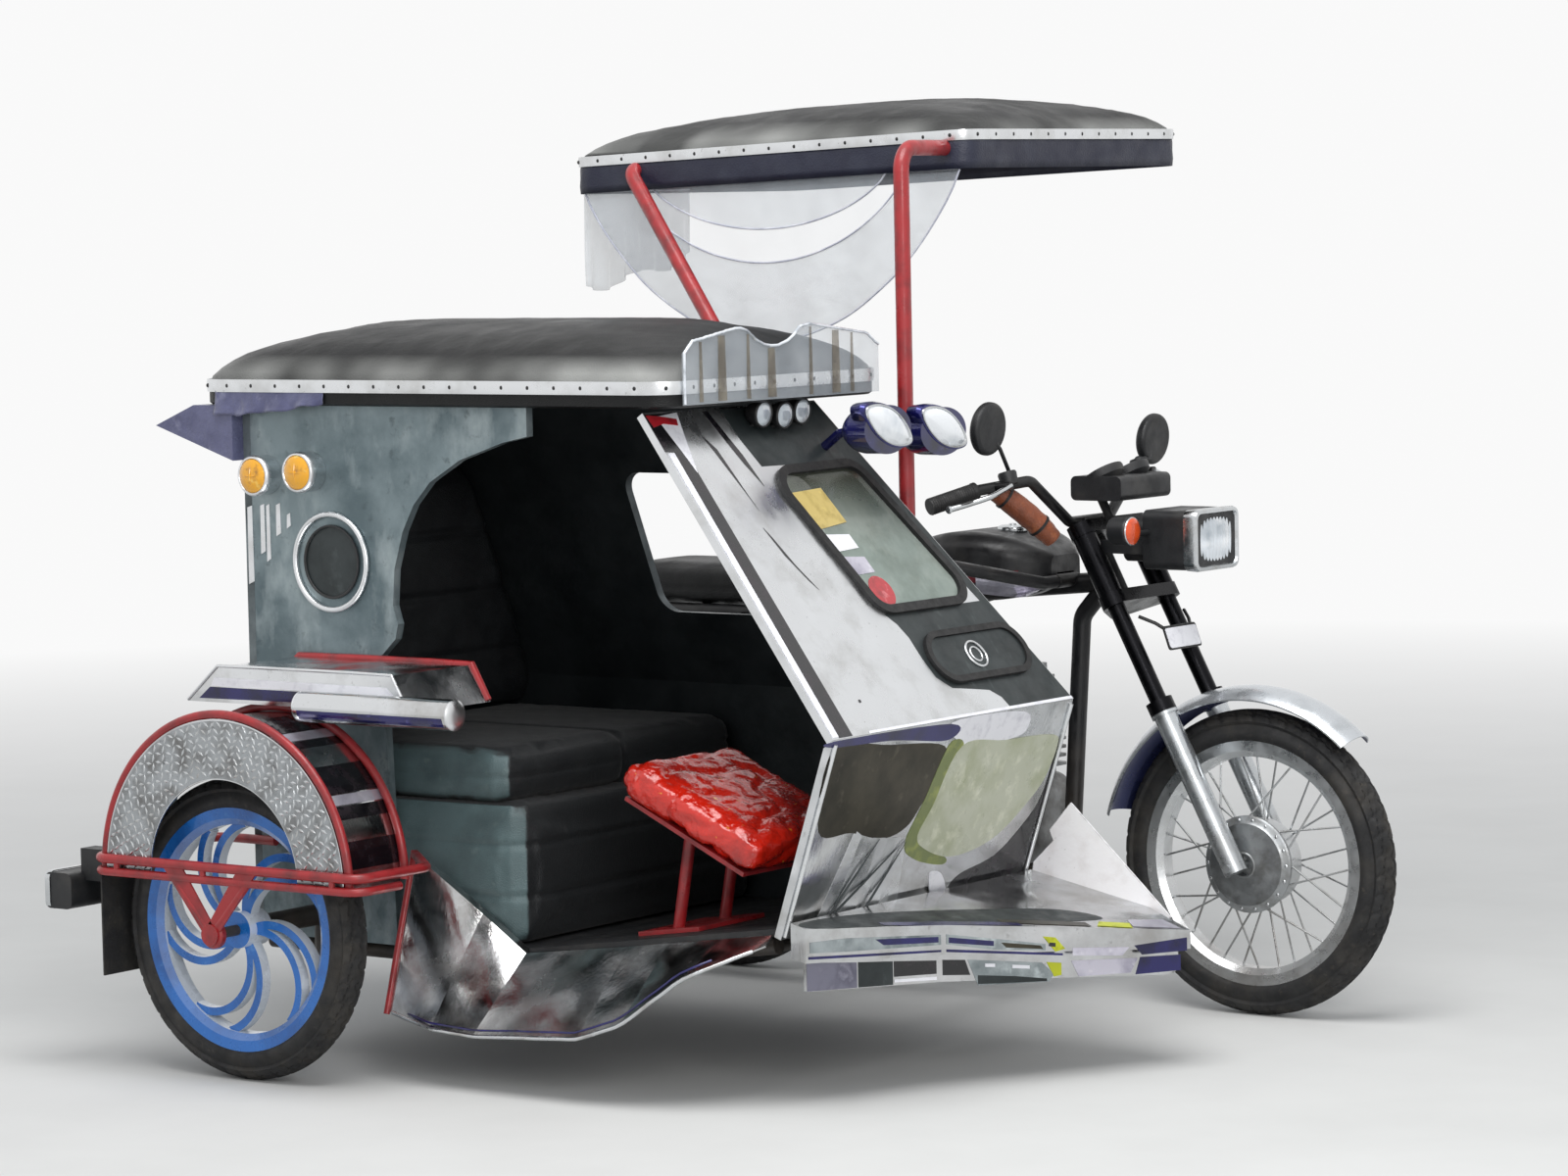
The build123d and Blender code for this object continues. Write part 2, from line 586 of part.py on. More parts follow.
def motorcycle_body():
    save("moto_frame", moto_frame())
    engine()
    save("exhaust", exhaust())
    save("fuel_tank", tank())
    low = SEAT_RAIL_Z + 13 + SEAT_GAP
    tail_x = SEAT_END_X - 4
    profile = [(tail_x + 14, low), (tail_x, SADDLE_TOP_Z - 14), (tail_x + 44, SADDLE_TOP_Z + 8),
               (-1150, SADDLE_TOP_Z), (-880, SADDLE_TOP_Z - 18), (-806, SADDLE_TOP_Z - 6), (-800, 796),
               (-826, low)]
    saddle = side_plate(profile, -118, 118)
    save("saddle", fillet(saddle.edges().group_by(Axis.Z)[-1], 14))
    covers = []
    for side in (-1, 1):
        plate = side_plate([(-900, 570), (-1080, 640), (-1120, 764), (-880, 764), (-860, 660)],
                           side * 112, side * 120)
        rail_side = side * (SEAT_RAIL_HALF + 13 + SEAT_GAP)
        covers.append(plate + cross_bar(-1000, SEAT_RAIL_Z, rail_side, side * 114, 8))
    save("side_covers", *covers)
    swing()
    rear_guard()


def case_outline(grow=0.0):
    """Outline of the chain case in X and Z: two circles and the hull round them."""
    front = Pos(PIVOT_X - 72, PIVOT_Z - 9) * Circle(CASE_FRONT_R + grow)
    rear = Pos(-WHEELBASE, REAR_TYRE_R) * Circle(CASE_REAR_R + grow)
    return make_hull(Sketch([front, rear]).edges())


def chain_case():
    """Cover over the drive chain, open towards the wheel."""
    depth = CASE_Y[1] - CASE_Y[0]
    outer = extrude(Plane.XZ * case_outline(), amount=depth)
    inner = Pos(0, -CASE_T, 0) * extrude(Plane.XZ * case_outline(-CASE_T), amount=depth)
    return Pos(0, CASE_Y[1], 0) * (outer - inner)


def swing():
    """Swingarm with its pivot sleeve, wheel axle and chain case, and the two shock absorbers."""
    pieces = []
    for side in (-1, 1):
        y = side * 98
        arm = [(PIVOT_X - 30, side * 50, PIVOT_Z - 2), (PIVOT_X - 105, side * 94, PIVOT_Z - 8),
               (-WHEELBASE - 46, y, REAR_TYRE_R)]
        pieces.append(bent_bar(arm, 15, 30))
        pieces.append(cross_bar(-WHEELBASE + 20, REAR_TYRE_R + 24, y, side * (SHOCK_Y + 6), 8))
    pieces.append(cross_bar(PIVOT_X - 33, PIVOT_Z - 2, -54, 54, 16))
    pieces.append(cross_bar(-WHEELBASE, REAR_TYRE_R, -128, 128, AXLE_R))
    pieces.append(chain_case())
    save("swingarm", added(pieces))
    shocks = []
    for side in (-1, 1):
        low = Vector(-WHEELBASE + 20, side * SHOCK_Y, REAR_TYRE_R + 24 + 8.3)
        high = Vector(SHOCK_TOP_X - 2, side * SHOCK_Y, SEAT_RAIL_Z - 12 - 9.3)
        spring = bar(tuple(low * 0.78 + high * 0.22), tuple(low * 0.12 + high * 0.88), 25)
        shocks.append(bar(tuple(low), tuple(high), 11) + spring)
    save("shock_absorbers", *shocks)


def rear_guard():
    """Rear mudguard of the motorcycle, an arched strip round the tyre."""
    rise, t, half = 26.0, 3.0, 58.0
    r_in = REAR_GUARD_CROWN - rise - t
    face = make_face([ThreePointArc((r_in, half), (r_in + rise, 0), (r_in, -half)),
                      Line((r_in, -half), (r_in + t, -half)),
                      ThreePointArc((r_in + t, -half), (r_in + rise + t, 0), (r_in + t, half)),
                      Line((r_in + t, half), (r_in, half))])
    guard = Rot(0, -196, 0) * revolve(face, Axis.Y, 128)
    save("rear_fender", Pos(-WHEELBASE, 0, REAR_TYRE_R) * guard)


def stand_point(along):
    """Point on the side stand's pin, measured outward along its axis from the pivot."""
    return tuple(STAND_PIVOT[i] + STAND_AXIS[i] * along for i in range(3))


def side_stand():
    barrel = bar(stand_point(-11), stand_point(11), 13)
    leg = bar(STAND_PIVOT, (STAND_PIVOT[0] - STAND_L, STAND_PIVOT[1] + 6, STAND_PIVOT[2]), 9)
    foot = block((STAND_PIVOT[0] - STAND_L - 8, STAND_PIVOT[0] - STAND_L + 4),
                 (STAND_PIVOT[1] - 16, STAND_PIVOT[1] + 30), (STAND_PIVOT[2] - 30, STAND_PIVOT[2] + 12))
    return barrel + leg + foot - bar(stand_point(-20), stand_point(20), STAND_PIN_R + STAND_PLAY)


# Roof over the rider


def canopy_ceiling(x):
    """Height of the rider's ceiling, which rises forward."""
    return CANOPY_EDGE_Z + (x - sum(CANOPY_X) / 2) * tan(radians(CANOPY_TILT))


def post_runs():
    """Centre lines of the two posts that carry the rider's roof."""
    y_end = CANOPY_Y[0] + 36
    drop = HOOP_R + SEAT_GAP + 4
    front_z = canopy_ceiling(-440) - drop
    rear_z = canopy_ceiling(-1170) - drop
    front = [(POST_X, POST_Y, POST_FOOT_Z[0] - 25), (POST_X, POST_Y, front_z), (POST_X - 26, y_end, front_z)]
    rear = [(REAR_BRACE_X, POST_Y, POST_FOOT_Z[1] - 25), (REAR_BRACE_X, POST_Y, 1292), (-1170, -440, rear_z),
            (-1170, y_end, rear_z)]
    return front, rear


def canopy():
    """Padded roof over the rider: a low dome with a hanging skirt."""
    x, y = CANOPY_X, CANOPY_Y
    outer = extrude(rounded_plan(x, y, 40), amount=CANOPY_DOME_H + CANOPY_SKIRT)
    outer = fillet(outer.edges().group_by(Axis.Z)[-1], 84)
    w = CANOPY_WALL
    inner = extrude(rounded_plan((x[0] + w, x[1] - w), (y[0] + w, y[1] - w), 6), amount=CANOPY_SKIRT)
    shell = Pos(0, 0, CANOPY_EDGE_Z - CANOPY_SKIRT) * (outer - inner)
    middle = (sum(x) / 2, sum(y) / 2)
    turn = Location((middle[0], middle[1], CANOPY_EDGE_Z)) * Location((0, 0, 0), (0, -CANOPY_TILT, 0))
    shell = turn * Location((-middle[0], -middle[1], -CANOPY_EDGE_Z)) * shell
    for line in post_runs():
        px, _, pz = line[-1]
        shell -= block((px - 20, px + 20), (y[0] - 60, y[0] + 30), (pz - 90, pz + POST_R + 1))
    return shell


def canopy_frame():
    """Red posts from the sidecar and the hoop that the rider's roof lies on."""
    x0, x1 = CANOPY_X[0] + 40, CANOPY_X[1] - 40
    y0, y1 = CANOPY_Y[0] + 36, CANOPY_Y[1] - 36
    drop = HOOP_R + SEAT_GAP
    tubes = []
    for y in (y0, y1):
        tubes.append(bar((x0, y, canopy_ceiling(x0) - drop), (x1, y, canopy_ceiling(x1) - drop), HOOP_R))
    for x in (x0 + 4, sum(CANOPY_X) / 2, x1 - 4):
        z = canopy_ceiling(x) - drop - 1
        tubes.append(bar((x, y0, z), (x, y1, z), HOOP_R - 2))
    for line, foot_z in zip(post_runs(), POST_FOOT_Z):
        tubes.append(bent_bar(line, POST_R, 44))
        foot = Vector(line[0][0], POST_Y, foot_z)
        reach = (POST_Y - wall_y(foot_z)) / WALL_SLANT - SEAT_GAP
        normal = Vector(0, 1 / WALL_SLANT, INNER_LEAN / WALL_SLANT)
        tubes.append(bar(tuple(foot), tuple(foot - normal * reach), 22))
    return joined(tubes)


def curtain():
    """Clear rain curtain hanging in a swag from the near edge of the rider's roof."""
    y = CANOPY_Y[0] + CANOPY_WALL + SEAT_GAP
    arc = ThreePointArc((-1310, 1632), (-841, 1323), (-395, 1652))
    face = Plane.XZ * make_face([arc, Line((-395, 1652), (-1310, 1632))])
    sheet = Pos(0, y + CURTAIN_T, 0) * extrude(face, amount=CURTAIN_T)
    return sheet


# Sidecar body


def wall_y(z):
    """Outer face of the inner side wall at a height: upright, then leaning outward."""
    return INNER_Y - INNER_LEAN * max(z - NOSE_Z, 0)


def floor_top(x):
    """Height of the floor's upper face."""
    slope = (FLOOR_FRONT_Z - FLOOR_Z) / (FLOOR_FRONT_X - FLOOR_KNEE_X)
    return FLOOR_Z + FLOOR_T + max(x - FLOOR_KNEE_X, 0) * slope


def screen_plane(out=0.0):
    """Plane of the sloping front: x inboard from the outer side, y up the slope from the nose."""
    n = Vector(SCREEN_TOP_Z - NOSE_Z, 0, NOSE_X - SCREEN_TOP_X).normalized()
    origin = Vector(NOSE_X, SIDE_Y, NOSE_Z) + n * out
    return Plane(origin=origin, x_dir=(0, 1, 0), z_dir=n)


def screen_point(u, w, out=0.0):
    """Point on or above the sloping front."""
    return tuple(screen_plane(out).from_local_coords((u, w, 0)))


def behind_screen(z, depth):
    """X on the sloping front's back at a height, a given depth inside its outer face."""
    run = (NOSE_X - SCREEN_TOP_X) / (SCREEN_TOP_Z - NOSE_Z)
    return NOSE_X - (z - NOSE_Z) * run - depth * hypot(1, run)


def behind_front(z, depth):
    """X behind the panel below the nose at a height, a given depth inside its outer face."""
    run = (NOSE_X - FRONT_FOOT_X) / (NOSE_Z - FRONT_FOOT_Z)
    return NOSE_X - (NOSE_Z - z) * run - depth * hypot(1, run)


def window_outline(grow=0.0):
    """Rounded windscreen opening on the sloping front."""
    corners = [(256, 547), (524, 550), (651, 235), (346, 235)]
    face = make_face(Polyline(*corners, close=True))
    face = fillet(face.vertices(), WINDOW_R)
    return offset(face, amount=grow) if grow else face


def sloping_front():
    width = INNER_Y - SIDE_Y
    top_w = (SCREEN_END_Z - NOSE_Z) / SCREEN_RISE
    top_u = width - INNER_LEAN * (SCREEN_END_Z - NOSE_Z)
    face = make_face(Polyline((0, 0), (width, 0), (top_u, top_w), (0, top_w), close=True))
    panel = extrude(screen_plane() * (face - window_outline()), amount=-SHEET)
    save("windscreen_panel", panel)
    glass = extrude(screen_plane() * window_outline(-SEAT_GAP), amount=-GLASS_T)
    save("windscreen_glass", glass)
    seal = extrude(screen_plane(0.2) * (window_outline(9) - window_outline(-9)), amount=8)
    oval = Pos(*OVAL_AT) * SlotOverall(OVAL_L, OVAL_H)
    slot = Pos(*OVAL_AT) * SlotOverall(OVAL_L - 26, OVAL_H - 26)
    frame = extrude(screen_plane(0.2) * (oval - slot), amount=9)
    save("window_gaskets", seal, frame)
    cover = Pos(*OVAL_AT) * SlotOverall(OVAL_L - 27, OVAL_H - 27)
    save("lower_plate", extrude(screen_plane(0.2) * cover, amount=5))


def front_face():
    """Panel below the nose, leaning back to the floor's front edge."""
    foot_z = FRONT_FOOT_Z + 4.8
    outline = [(NOSE_X - 0.2, NOSE_Z - 0.4), (NOSE_X - 21, NOSE_Z - 15.2), (behind_front(foot_z, SHEET), foot_z),
               (FRONT_FOOT_X, FRONT_FOOT_Z)]
    save("front_panel", side_plate(outline, SIDE_Y, INNER_Y))


def inner_wall():
    """Side wall next to the motorcycle, upright below and leaning above, with a window."""
    top = ROOF_Z - ROOF_EDGE
    slant = WALL * WALL_SLANT
    knee_z = NOSE_Z - (slant - WALL) / INNER_LEAN
    outline = [(INNER_Y, FLOOR_Z), (INNER_Y, NOSE_Z), (wall_y(top), top), (wall_y(top) - slant, top),
               (INNER_Y - WALL, knee_z), (INNER_Y - WALL, FLOOR_Z)]
    rear = BACK_X + WALL + SEAT_GAP
    wall = end_plate(outline, rear, NOSE_X + 10)
    gap = SHEET + SEAT_GAP
    low, knee, high = FRONT_FOOT_Z + 4, NOSE_Z - 16, NOSE_Z - 5
    sides = [(rear, FLOOR_Z), (FLOOR_KNEE_X, FLOOR_Z), (behind_front(low, gap), low), (behind_front(knee, gap), knee),
             (behind_screen(high, gap), high), (behind_screen(top, gap), top), (rear, top)]
    wall &= side_plate(sides, wall_y(top) - 150, INNER_Y + 100)
    window = block(INNER_WINDOW_X, (wall_y(top) - 150, INNER_Y + 100), INNER_WINDOW_Z)
    window = fillet(window.edges().filter_by(Axis.Y), 40)
    save("inner_side_panel", wall - window)


def outer_walls():
    """Back panel and the short outer side panel behind the doorway."""
    top = ROOF_Z - ROOF_EDGE
    outline = [(SIDE_Y, FLOOR_Z), (INNER_Y, FLOOR_Z), (INNER_Y, NOSE_Z), (wall_y(top), top), (SIDE_Y, top)]
    back = end_plate(outline, BACK_X, BACK_X + WALL)
    for step in (-0.5, 0.5):
        y = PLATE_Y + step * PLATE_HOLE_GAP
        back -= bar((BACK_X - 5, y, PLATE_Z), (BACK_X + WALL + 5, y, PLATE_Z), PLATE_HOLE_R)
    save("back_panel", back)
    rear = BACK_X + WALL + SEAT_GAP
    edge = [(-1110, FLOOR_Z), (-1131, 768), (-1096, 800), (-1089, 828), (-1100, 862), (-1094, 930),
            (-1072, 1000), (-1044, 1050), (-1003, 1093), (-930, 1135), (-828, 1168), (-770, 1180)]
    panel = side_plate([(rear, FLOOR_Z)] + edge + [(-770, top), (rear, top)], SIDE_Y, SIDE_Y + WALL)
    save("rear_side_panel", panel)


def floor_pan():
    front_top = FLOOR_FRONT_Z + FLOOR_T
    rear = BACK_X + WALL + SEAT_GAP
    outline = [(rear, FLOOR_Z), (FLOOR_KNEE_X, FLOOR_Z), (FLOOR_FRONT_X, FLOOR_FRONT_Z),
               (FLOOR_FRONT_X + 5, front_top), (FLOOR_KNEE_X, FLOOR_Z + FLOOR_T), (rear, FLOOR_Z + FLOOR_T)]
    save("sidecar_floor", side_plate(outline, SIDE_Y + WALL + SEAT_GAP, INNER_Y - WALL - SEAT_GAP))


def sill():
    """Polished plate below the doorway, flared out at the wheel and swept up to the nose."""
    faces = []
    for x, y_in, y_top, z_top, y_low, z_low in SILL_STATIONS:
        section = Polyline((y_in, z_top), (y_top, z_top), (y_low, z_low), (y_low + 3, z_low - 3),
                           (y_top + 3, z_top - SILL_T), (y_in, z_top - SILL_T), close=True)
        faces.append((Pos(x, 0, 0) * (Plane.YZ * make_face(section))).faces()[0])
    save("sill_skirt", loft(faces, ruled=True))


def bumper():
    """Polished nose bumper, a shell open underneath, with the pale fin on its inboard side."""
    upper = [(-215, 335), (190, 252), (190, 218), (-215, 270)]
    lower = [(-215, 300), (190, 230), (190, 206), (150, 172), (-215, 215)]
    plan = [(-200, SIDE_Y), (-165, SIDE_Y - 5), (-60, -1000), (60, -780), (185, -560), (60, INNER_Y),
            (-200, INNER_Y)]
    face = make_face(Polyline(*plan, close=True))
    low_face = offset(face, amount=-BUMPER_STEP, kind=Kind.INTERSECTION)
    shell = side_plate(upper, -1290, -480) & extrude(face, amount=400)
    shell += side_plate(lower, -1290, -480) & extrude(low_face, amount=400)
    core = offset(face, amount=-BUMPER_STEP - BUMPER_T, kind=Kind.INTERSECTION)
    low = side_plate([(-215, 331), (190, 248), (190, 100), (-215, 100)], -1290, -480)
    save("bumper", shell - (low & extrude(core, amount=400)))
    fin = [(-204, 300), (-195, 347), (-150, 390), (-158, 410), (-110, 464), (106, 263), (60, 235),
           (-190, 240)]
    save("bumper_fin", side_plate(fin, INNER_Y + SEAT_GAP, INNER_Y + SEAT_GAP + 4))


def seats():
    rear = BACK_X + WALL + 0.6
    low = FLOOR_Z + FLOOR_T + SEAT_GAP
    wide = (SIDE_Y + WALL + 0.6, INNER_Y - WALL - 0.6)
    base = side_plate([(rear, low), (-822, low), (-838, 440), (-843, SEAT_Z), (rear, SEAT_Z)], *wide)
    save("seat_base", base)
    cushion = block((rear, -850), wide, (SEAT_Z + SEAT_GAP, CUSHION_Z))
    front = cushion.edges().filter_by(Axis.Y).group_by(Axis.X)[-1].group_by(Axis.Z)[-1]
    save("seat_cushion", fillet(front, 58))
    low = CUSHION_Z + SEAT_GAP
    back = [(wide[0], low), (wide[1], low), (wide[1], 655), (wall_y(1096) - WALL * WALL_SLANT - 1, 1096),
            (wide[0], 1096)]
    save("seat_back", end_plate(back, rear, -1345))
    tilt = Location((JUMP_AT[0], JUMP_AT[1], JUMP_AT[2]), (0, JUMP_TILT, 0))
    pad = Box(JUMP_W, JUMP_W, JUMP_T)
    pad = fillet(pad.edges(), 14)
    save("jump_cushion", tilt * pad)
    pan = tilt * Pos(0, 0, -JUMP_T / 2 - SEAT_GAP - 4) * Box(JUMP_W - 60, JUMP_W - 60, 8)
    foot_x = JUMP_AT[0] - 90
    slope = degrees(atan2(FLOOR_FRONT_Z - FLOOR_Z, FLOOR_FRONT_X - FLOOR_KNEE_X))
    foot = Location((foot_x, JUMP_AT[1], floor_top(foot_x) + SEAT_GAP), (0, -slope, 0))
    legs = [pan, foot * Pos(0, 0, 4) * Box(140, 200, 8)]
    for side in (-1, 1):
        top = tilt * Pos(-40, side * 70, -JUMP_T / 2 - 6) * Vertex(0, 0, 0)
        legs.append(bar((foot_x, JUMP_AT[1] + side * 70, floor_top(foot_x) + 5), tuple(top.center()), 11))
    save("jump_seat_frame", joined(legs))


def roof():
    """Padded sidecar roof with a hollow ceiling, the rear visor and the clear deflector."""
    x, y = ROOF_X, ROOF_Y
    low = ROOF_Z - ROOF_EDGE + SEAT_GAP
    dome = extrude(rounded_plan(x, y, 70), amount=ROOF_DOME_H + ROOF_EDGE)
    dome = Pos(0, 0, low) * fillet(dome.edges().group_by(Axis.Z)[-1], 104)
    hollow = block((-1430, -560), (-1240, -800), (low - 5, low + 100))
    save("sidecar_roof", dome - fillet(hollow.edges().group_by(Axis.Z)[-1], 40))
    under = low - 2 * SEAT_GAP
    visor = [(BACK_X - SEAT_GAP, under), (x[0], under), (x[0] - 99, 1193), (x[0] + 61, 1140),
             (BACK_X - SEAT_GAP, 1128)]
    save("rear_visor", side_plate(visor, y[0], y[1] - 5))
    x0 = ROOF_X[1] + SEAT_GAP
    wing = [Polyline((-1060, 1366), (-1090, 1372), (-1225, 1352), (-1250, 1330), (-1250, 1238), (-650, 1238),
                     (-650, 1326), (-690, 1350), (-870, 1372), (-900, 1368)),
            ThreePointArc((-900, 1368), (-982, 1336), (-1060, 1366))]
    save("roof_deflector", Pos(x0, 0, 0) * extrude(Plane.YZ * make_face(wing), amount=4))


def body_lamps():
    lamps = []
    for x, z in AMBER_AT:
        cup = Pos(x, SIDE_Y - SEAT_GAP - 19, z) * Rot(90, 0, 0) * Cylinder(38, 38)
        lamps.append(fillet(cup.edges().group_by(Axis.Y)[0], 10))
    save("amber_lamps", *lamps)
    ovals = []
    for y, z in ((-800, 1175), (-620, 1163)):
        bowl = Pos(-362, y, z) * Rot(0, 90, 0) * extrude(Ellipse(45, 75), amount=62)
        ovals.append(fillet(bowl.edges().group_by(Axis.X)[0], 24))
    stalk = screen_point(470, 592, 44)
    ovals[0] += bar(screen_point(470, 592, SEAT_GAP), stalk, 9) + bar(stalk, (-336, -800, 1180), 8)
    clamp = bar((POST_X, POST_Y, 1150), (POST_X, POST_Y, 1176), POST_R + 6)
    clamp += bar((POST_X + 16, POST_Y - 4, 1163), (-330, -612, 1163), 8)
    ovals[1] += clamp - bar((POST_X, POST_Y, 1100), (POST_X, POST_Y, 1200), POST_R + SEAT_GAP)
    save("oval_lamps", *ovals)


# Sidecar frame, wheel guard and their rails


def sidecar_frame():
    """Red tube frame under the floor with the stub axle and the lugs for the motorcycle."""
    r = RAIL_TUBE_R
    rail_z = FLOOR_Z - SEAT_GAP - r
    slope = (FLOOR_FRONT_Z - FLOOR_Z) / (FLOOR_FRONT_X - FLOOR_KNEE_X)
    rise = (r + SEAT_GAP) * (hypot(1, slope) - 1)
    nose_z = rail_z - rise + slope * (-250 - FLOOR_KNEE_X)
    tubes = []
    for y in (FRAME_OUT_Y, FRAME_IN_Y):
        tubes.append(bent_bar([(-1450, y, rail_z), (FLOOR_KNEE_X, y, rail_z), (-250, y, nose_z)], r, 60))
    for x in (-1430, SC_WHEEL_X, PIVOT_X, -460, -262):
        z = rail_z + slope * max(x - FLOOR_KNEE_X, 0) - 2
        tubes.append(cross_bar(x, z, FRAME_OUT_Y, FRAME_IN_Y, 12))
    for y in (-1080, -720):
        tubes.append(bar((-262, y, nose_z - 4), (-200 - SEAT_GAP, y, nose_z - 4), 10))
    link_z = rail_z + slope * (LINK_FRONT_X - FLOOR_KNEE_X)
    for x, z, base in ((LINK_FRONT_X, LINK_FRONT_Z, link_z), (PIVOT_X, LINK_REAR_Z, rail_z)):
        tubes.append(cross_bar(x, base, FRAME_IN_Y, LUG_END_Y, 11))
        tubes.append(bar((x, LUG_END_Y, min(base, z) - 18), (x, LUG_END_Y, max(base, z) + 16), 13))
        tubes.append(cross_bar(x, z, LUG_END_Y, LINK_END_Y, 12))
    carrier_y = SIDE_Y - 40
    tubes.append(cross_bar(SC_WHEEL_X, rail_z, FRAME_OUT_Y, carrier_y, 13))
    tubes.append(bar((SC_WHEEL_X, carrier_y, rail_z - 14), (SC_WHEEL_X, carrier_y, SC_TYRE_R + 18), 18))
    tubes.append(cross_bar(SC_WHEEL_X, SC_TYRE_R, carrier_y, SC_WHEEL_Y + 34, 20))
    tubes.append(cross_bar(SC_WHEEL_X, SC_TYRE_R, carrier_y, HUB_BOSS_Y + SEAT_GAP, SC_AXLE_R))
    save("sidecar_frame", added(tubes))
    ties = []
    for x, z in ((LINK_FRONT_X, LINK_FRONT_Z), (PIVOT_X, LINK_REAR_Z)):
        ties.append(cross_bar(x, z, LINK_Y - SEAT_GAP, LINK_END_Y + SEAT_GAP, 14))
    end = Vector(-480, -588, 928)
    reach = (end.Y - wall_y(end.Z)) / WALL_SLANT - SEAT_GAP
    normal = Vector(0, 1 / WALL_SLANT, INNER_LEAN / WALL_SLANT)
    strut = bent_bar([(LUG_X, LUG_Y - SEAT_GAP, LUG_Z), (LUG_X, -118, LUG_Z), tuple(end)], 13, 14)
    save("tie_strut", strut + bar(tuple(end + normal * 8), tuple(end - normal * reach), 22))
    save("tie_links", *ties)


def wheel_guard():
    """Half-round guard over the sidecar wheel: ring face plate and crown, open to the road."""
    low = GUARD_Z - 4
    out, inner = GUARD_OUT_Y, GUARD_IN_Y
    face = ring(GUARD_R, GUARD_HOLE_R, out, out + GUARD_T)
    crown = ring(GUARD_R, GUARD_R - GUARD_T, out, inner)
    shell = Pos(GUARD_X, 0, GUARD_Z) * (face + crown)
    reach = GUARD_R + 10
    shell &= block((GUARD_X - reach, GUARD_X + reach), (out - 10, inner + 10), (low, GUARD_Z + reach))
    save("sidecar_fender", shell)


def arc_tube(y, r_path, r, x, z):
    """Half hoop standing in the XZ plane."""
    path = ThreePointArc((x - r_path, y, z), (x, y, z + r_path), (x + r_path, y, z))
    return sweep(Plane(origin=path @ 0, z_dir=path % 0) * Circle(r), path=path)


def rails():
    """Red hoops on the guard, double side rail, hub brace and the sill's edge tube."""
    hoop = GUARD_R + SEAT_GAP + HOOP_TUBE_R
    front_x, rear_x = GUARD_X + hoop + 32, GUARD_X - hoop - 18
    pieces = [arc_tube(GUARD_OUT_Y + 6, hoop, HOOP_TUBE_R, GUARD_X, GUARD_Z)]
    body_y = SIDE_Y - SEAT_GAP - RAIL_R
    upper, lower = RAIL_Z
    top_run = [(-1400, body_y, upper), (rear_x, body_y, upper), (rear_x, RAIL_Y, upper),
               (front_x, RAIL_Y, upper), (front_x, -1424, upper), (-1034, SIDE_Y - 32, upper)]
    low_run = [(rear_x, -1480, lower), (rear_x, RAIL_Y, lower), (front_x, RAIL_Y, lower),
               (front_x, -1500, lower)]
    pieces += [bent_bar(top_run, RAIL_R, 34), bent_bar(low_run, RAIL_R - 1, 34)]
    for x in (rear_x + 60, SC_WHEEL_X - 20, front_x - 60):
        pieces.append(bar((x, RAIL_Y, lower), (x, RAIL_Y, upper), 6))
    pieces.append(bar((rear_x, -1490, lower), (rear_x, -1490, upper), 6))
    for x in (SC_WHEEL_X - 92, SC_WHEEL_X + 92):
        pieces.append(bar((x, RAIL_Y, lower), (SC_WHEEL_X, RAIL_Y, SC_TYRE_R), 7))
    pieces.append(cross_bar(SC_WHEEL_X, SC_TYRE_R, HUB_BOSS_Y, RAIL_Y - RAIL_R, 20))
    pieces.append(bar((-1036.5, -1302, 412), (-1036.5, -1392, 120), 6))
    inner_hoop = arc_tube(GUARD_IN_Y - 8, hoop, HOOP_TUBE_R, GUARD_X, GUARD_Z)
    save("fender_rails", joined(pieces), inner_hoop)
    box_low = GUARD_Z + hoop + HOOP_TUBE_R + SEAT_GAP
    box_top = box_low + CHROME_BOX_H
    outline = [(-1410, box_low), (-870, box_low), (-910, box_top), (-1330, box_top)]
    box = side_plate(outline, -1500, SIDE_Y - SEAT_GAP)
    tube = bar((-1095, -1534, box_low + 6.4), (-735, -1534, box_low + 6.4), 28)
    for x in (-1060, -930):
        tube += cross_bar(x, box_low + 18.4, -1534, -1490, 7)
    save("fender_chrome", box + tube)


def motorcycle_tail():
    """Tail lamp and rear turn signals of the motorcycle, on a stalk from the seat rails."""
    x, z = SEAT_END_X - 48, SEAT_RAIL_Z - 40
    lamp = block((x - 28, x + 28), (-52, 52), (z - 26, z + 26))
    lamp = fillet(lamp.edges().filter_by(Axis.X), 12)
    away = 11 + SEAT_GAP
    pieces = [lamp, bar((x, 0, z + 10), (SEAT_END_X + 10 - 0.87 * away, 0, SEAT_RAIL_Z - 0.5 * away), 8)]
    pieces.append(cross_bar(x, z, -110, 110, 6))
    for side in (-1, 1):
        signal = Pos(x, side * 118, z) * Rot(0, 90, 0) * Cylinder(23, 44)
        pieces.append(fillet(signal.edges().filter_by(GeomType.CIRCLE), 7))
    return added(pieces)


def tail():
    lamp = block((TAIL_X, -1622), (-1606, -1500), (300, 368))
    lamp = fillet(lamp.edges().filter_by(Axis.Y), 14)
    rear_x = GUARD_X - (GUARD_R + SEAT_GAP + HOOP_TUBE_R) - 18
    lamp += block((-1630, rear_x - RAIL_R - SEAT_GAP), (-1570, -1530), (352, 412))
    save("tail_lamps", lamp, motorcycle_tail())
    top = RAIL_Z[1] - RAIL_R + 1 - SEAT_GAP
    save("mud_flap", block((rear_x - 2, rear_x + 2), (-1596, -1500), (180, top)))


wheels()
steering()
motorcycle_body()
save("side_stand", side_stand())
save("canopy_top", canopy())
save("canopy_frame", canopy_frame())
save("rain_curtain", curtain())
sloping_front()
front_face()
inner_wall()
outer_walls()
floor_pan()
sill()
bumper()
seats()
roof()
body_lamps()
sidecar_frame()
wheel_guard()
rails()
tail()
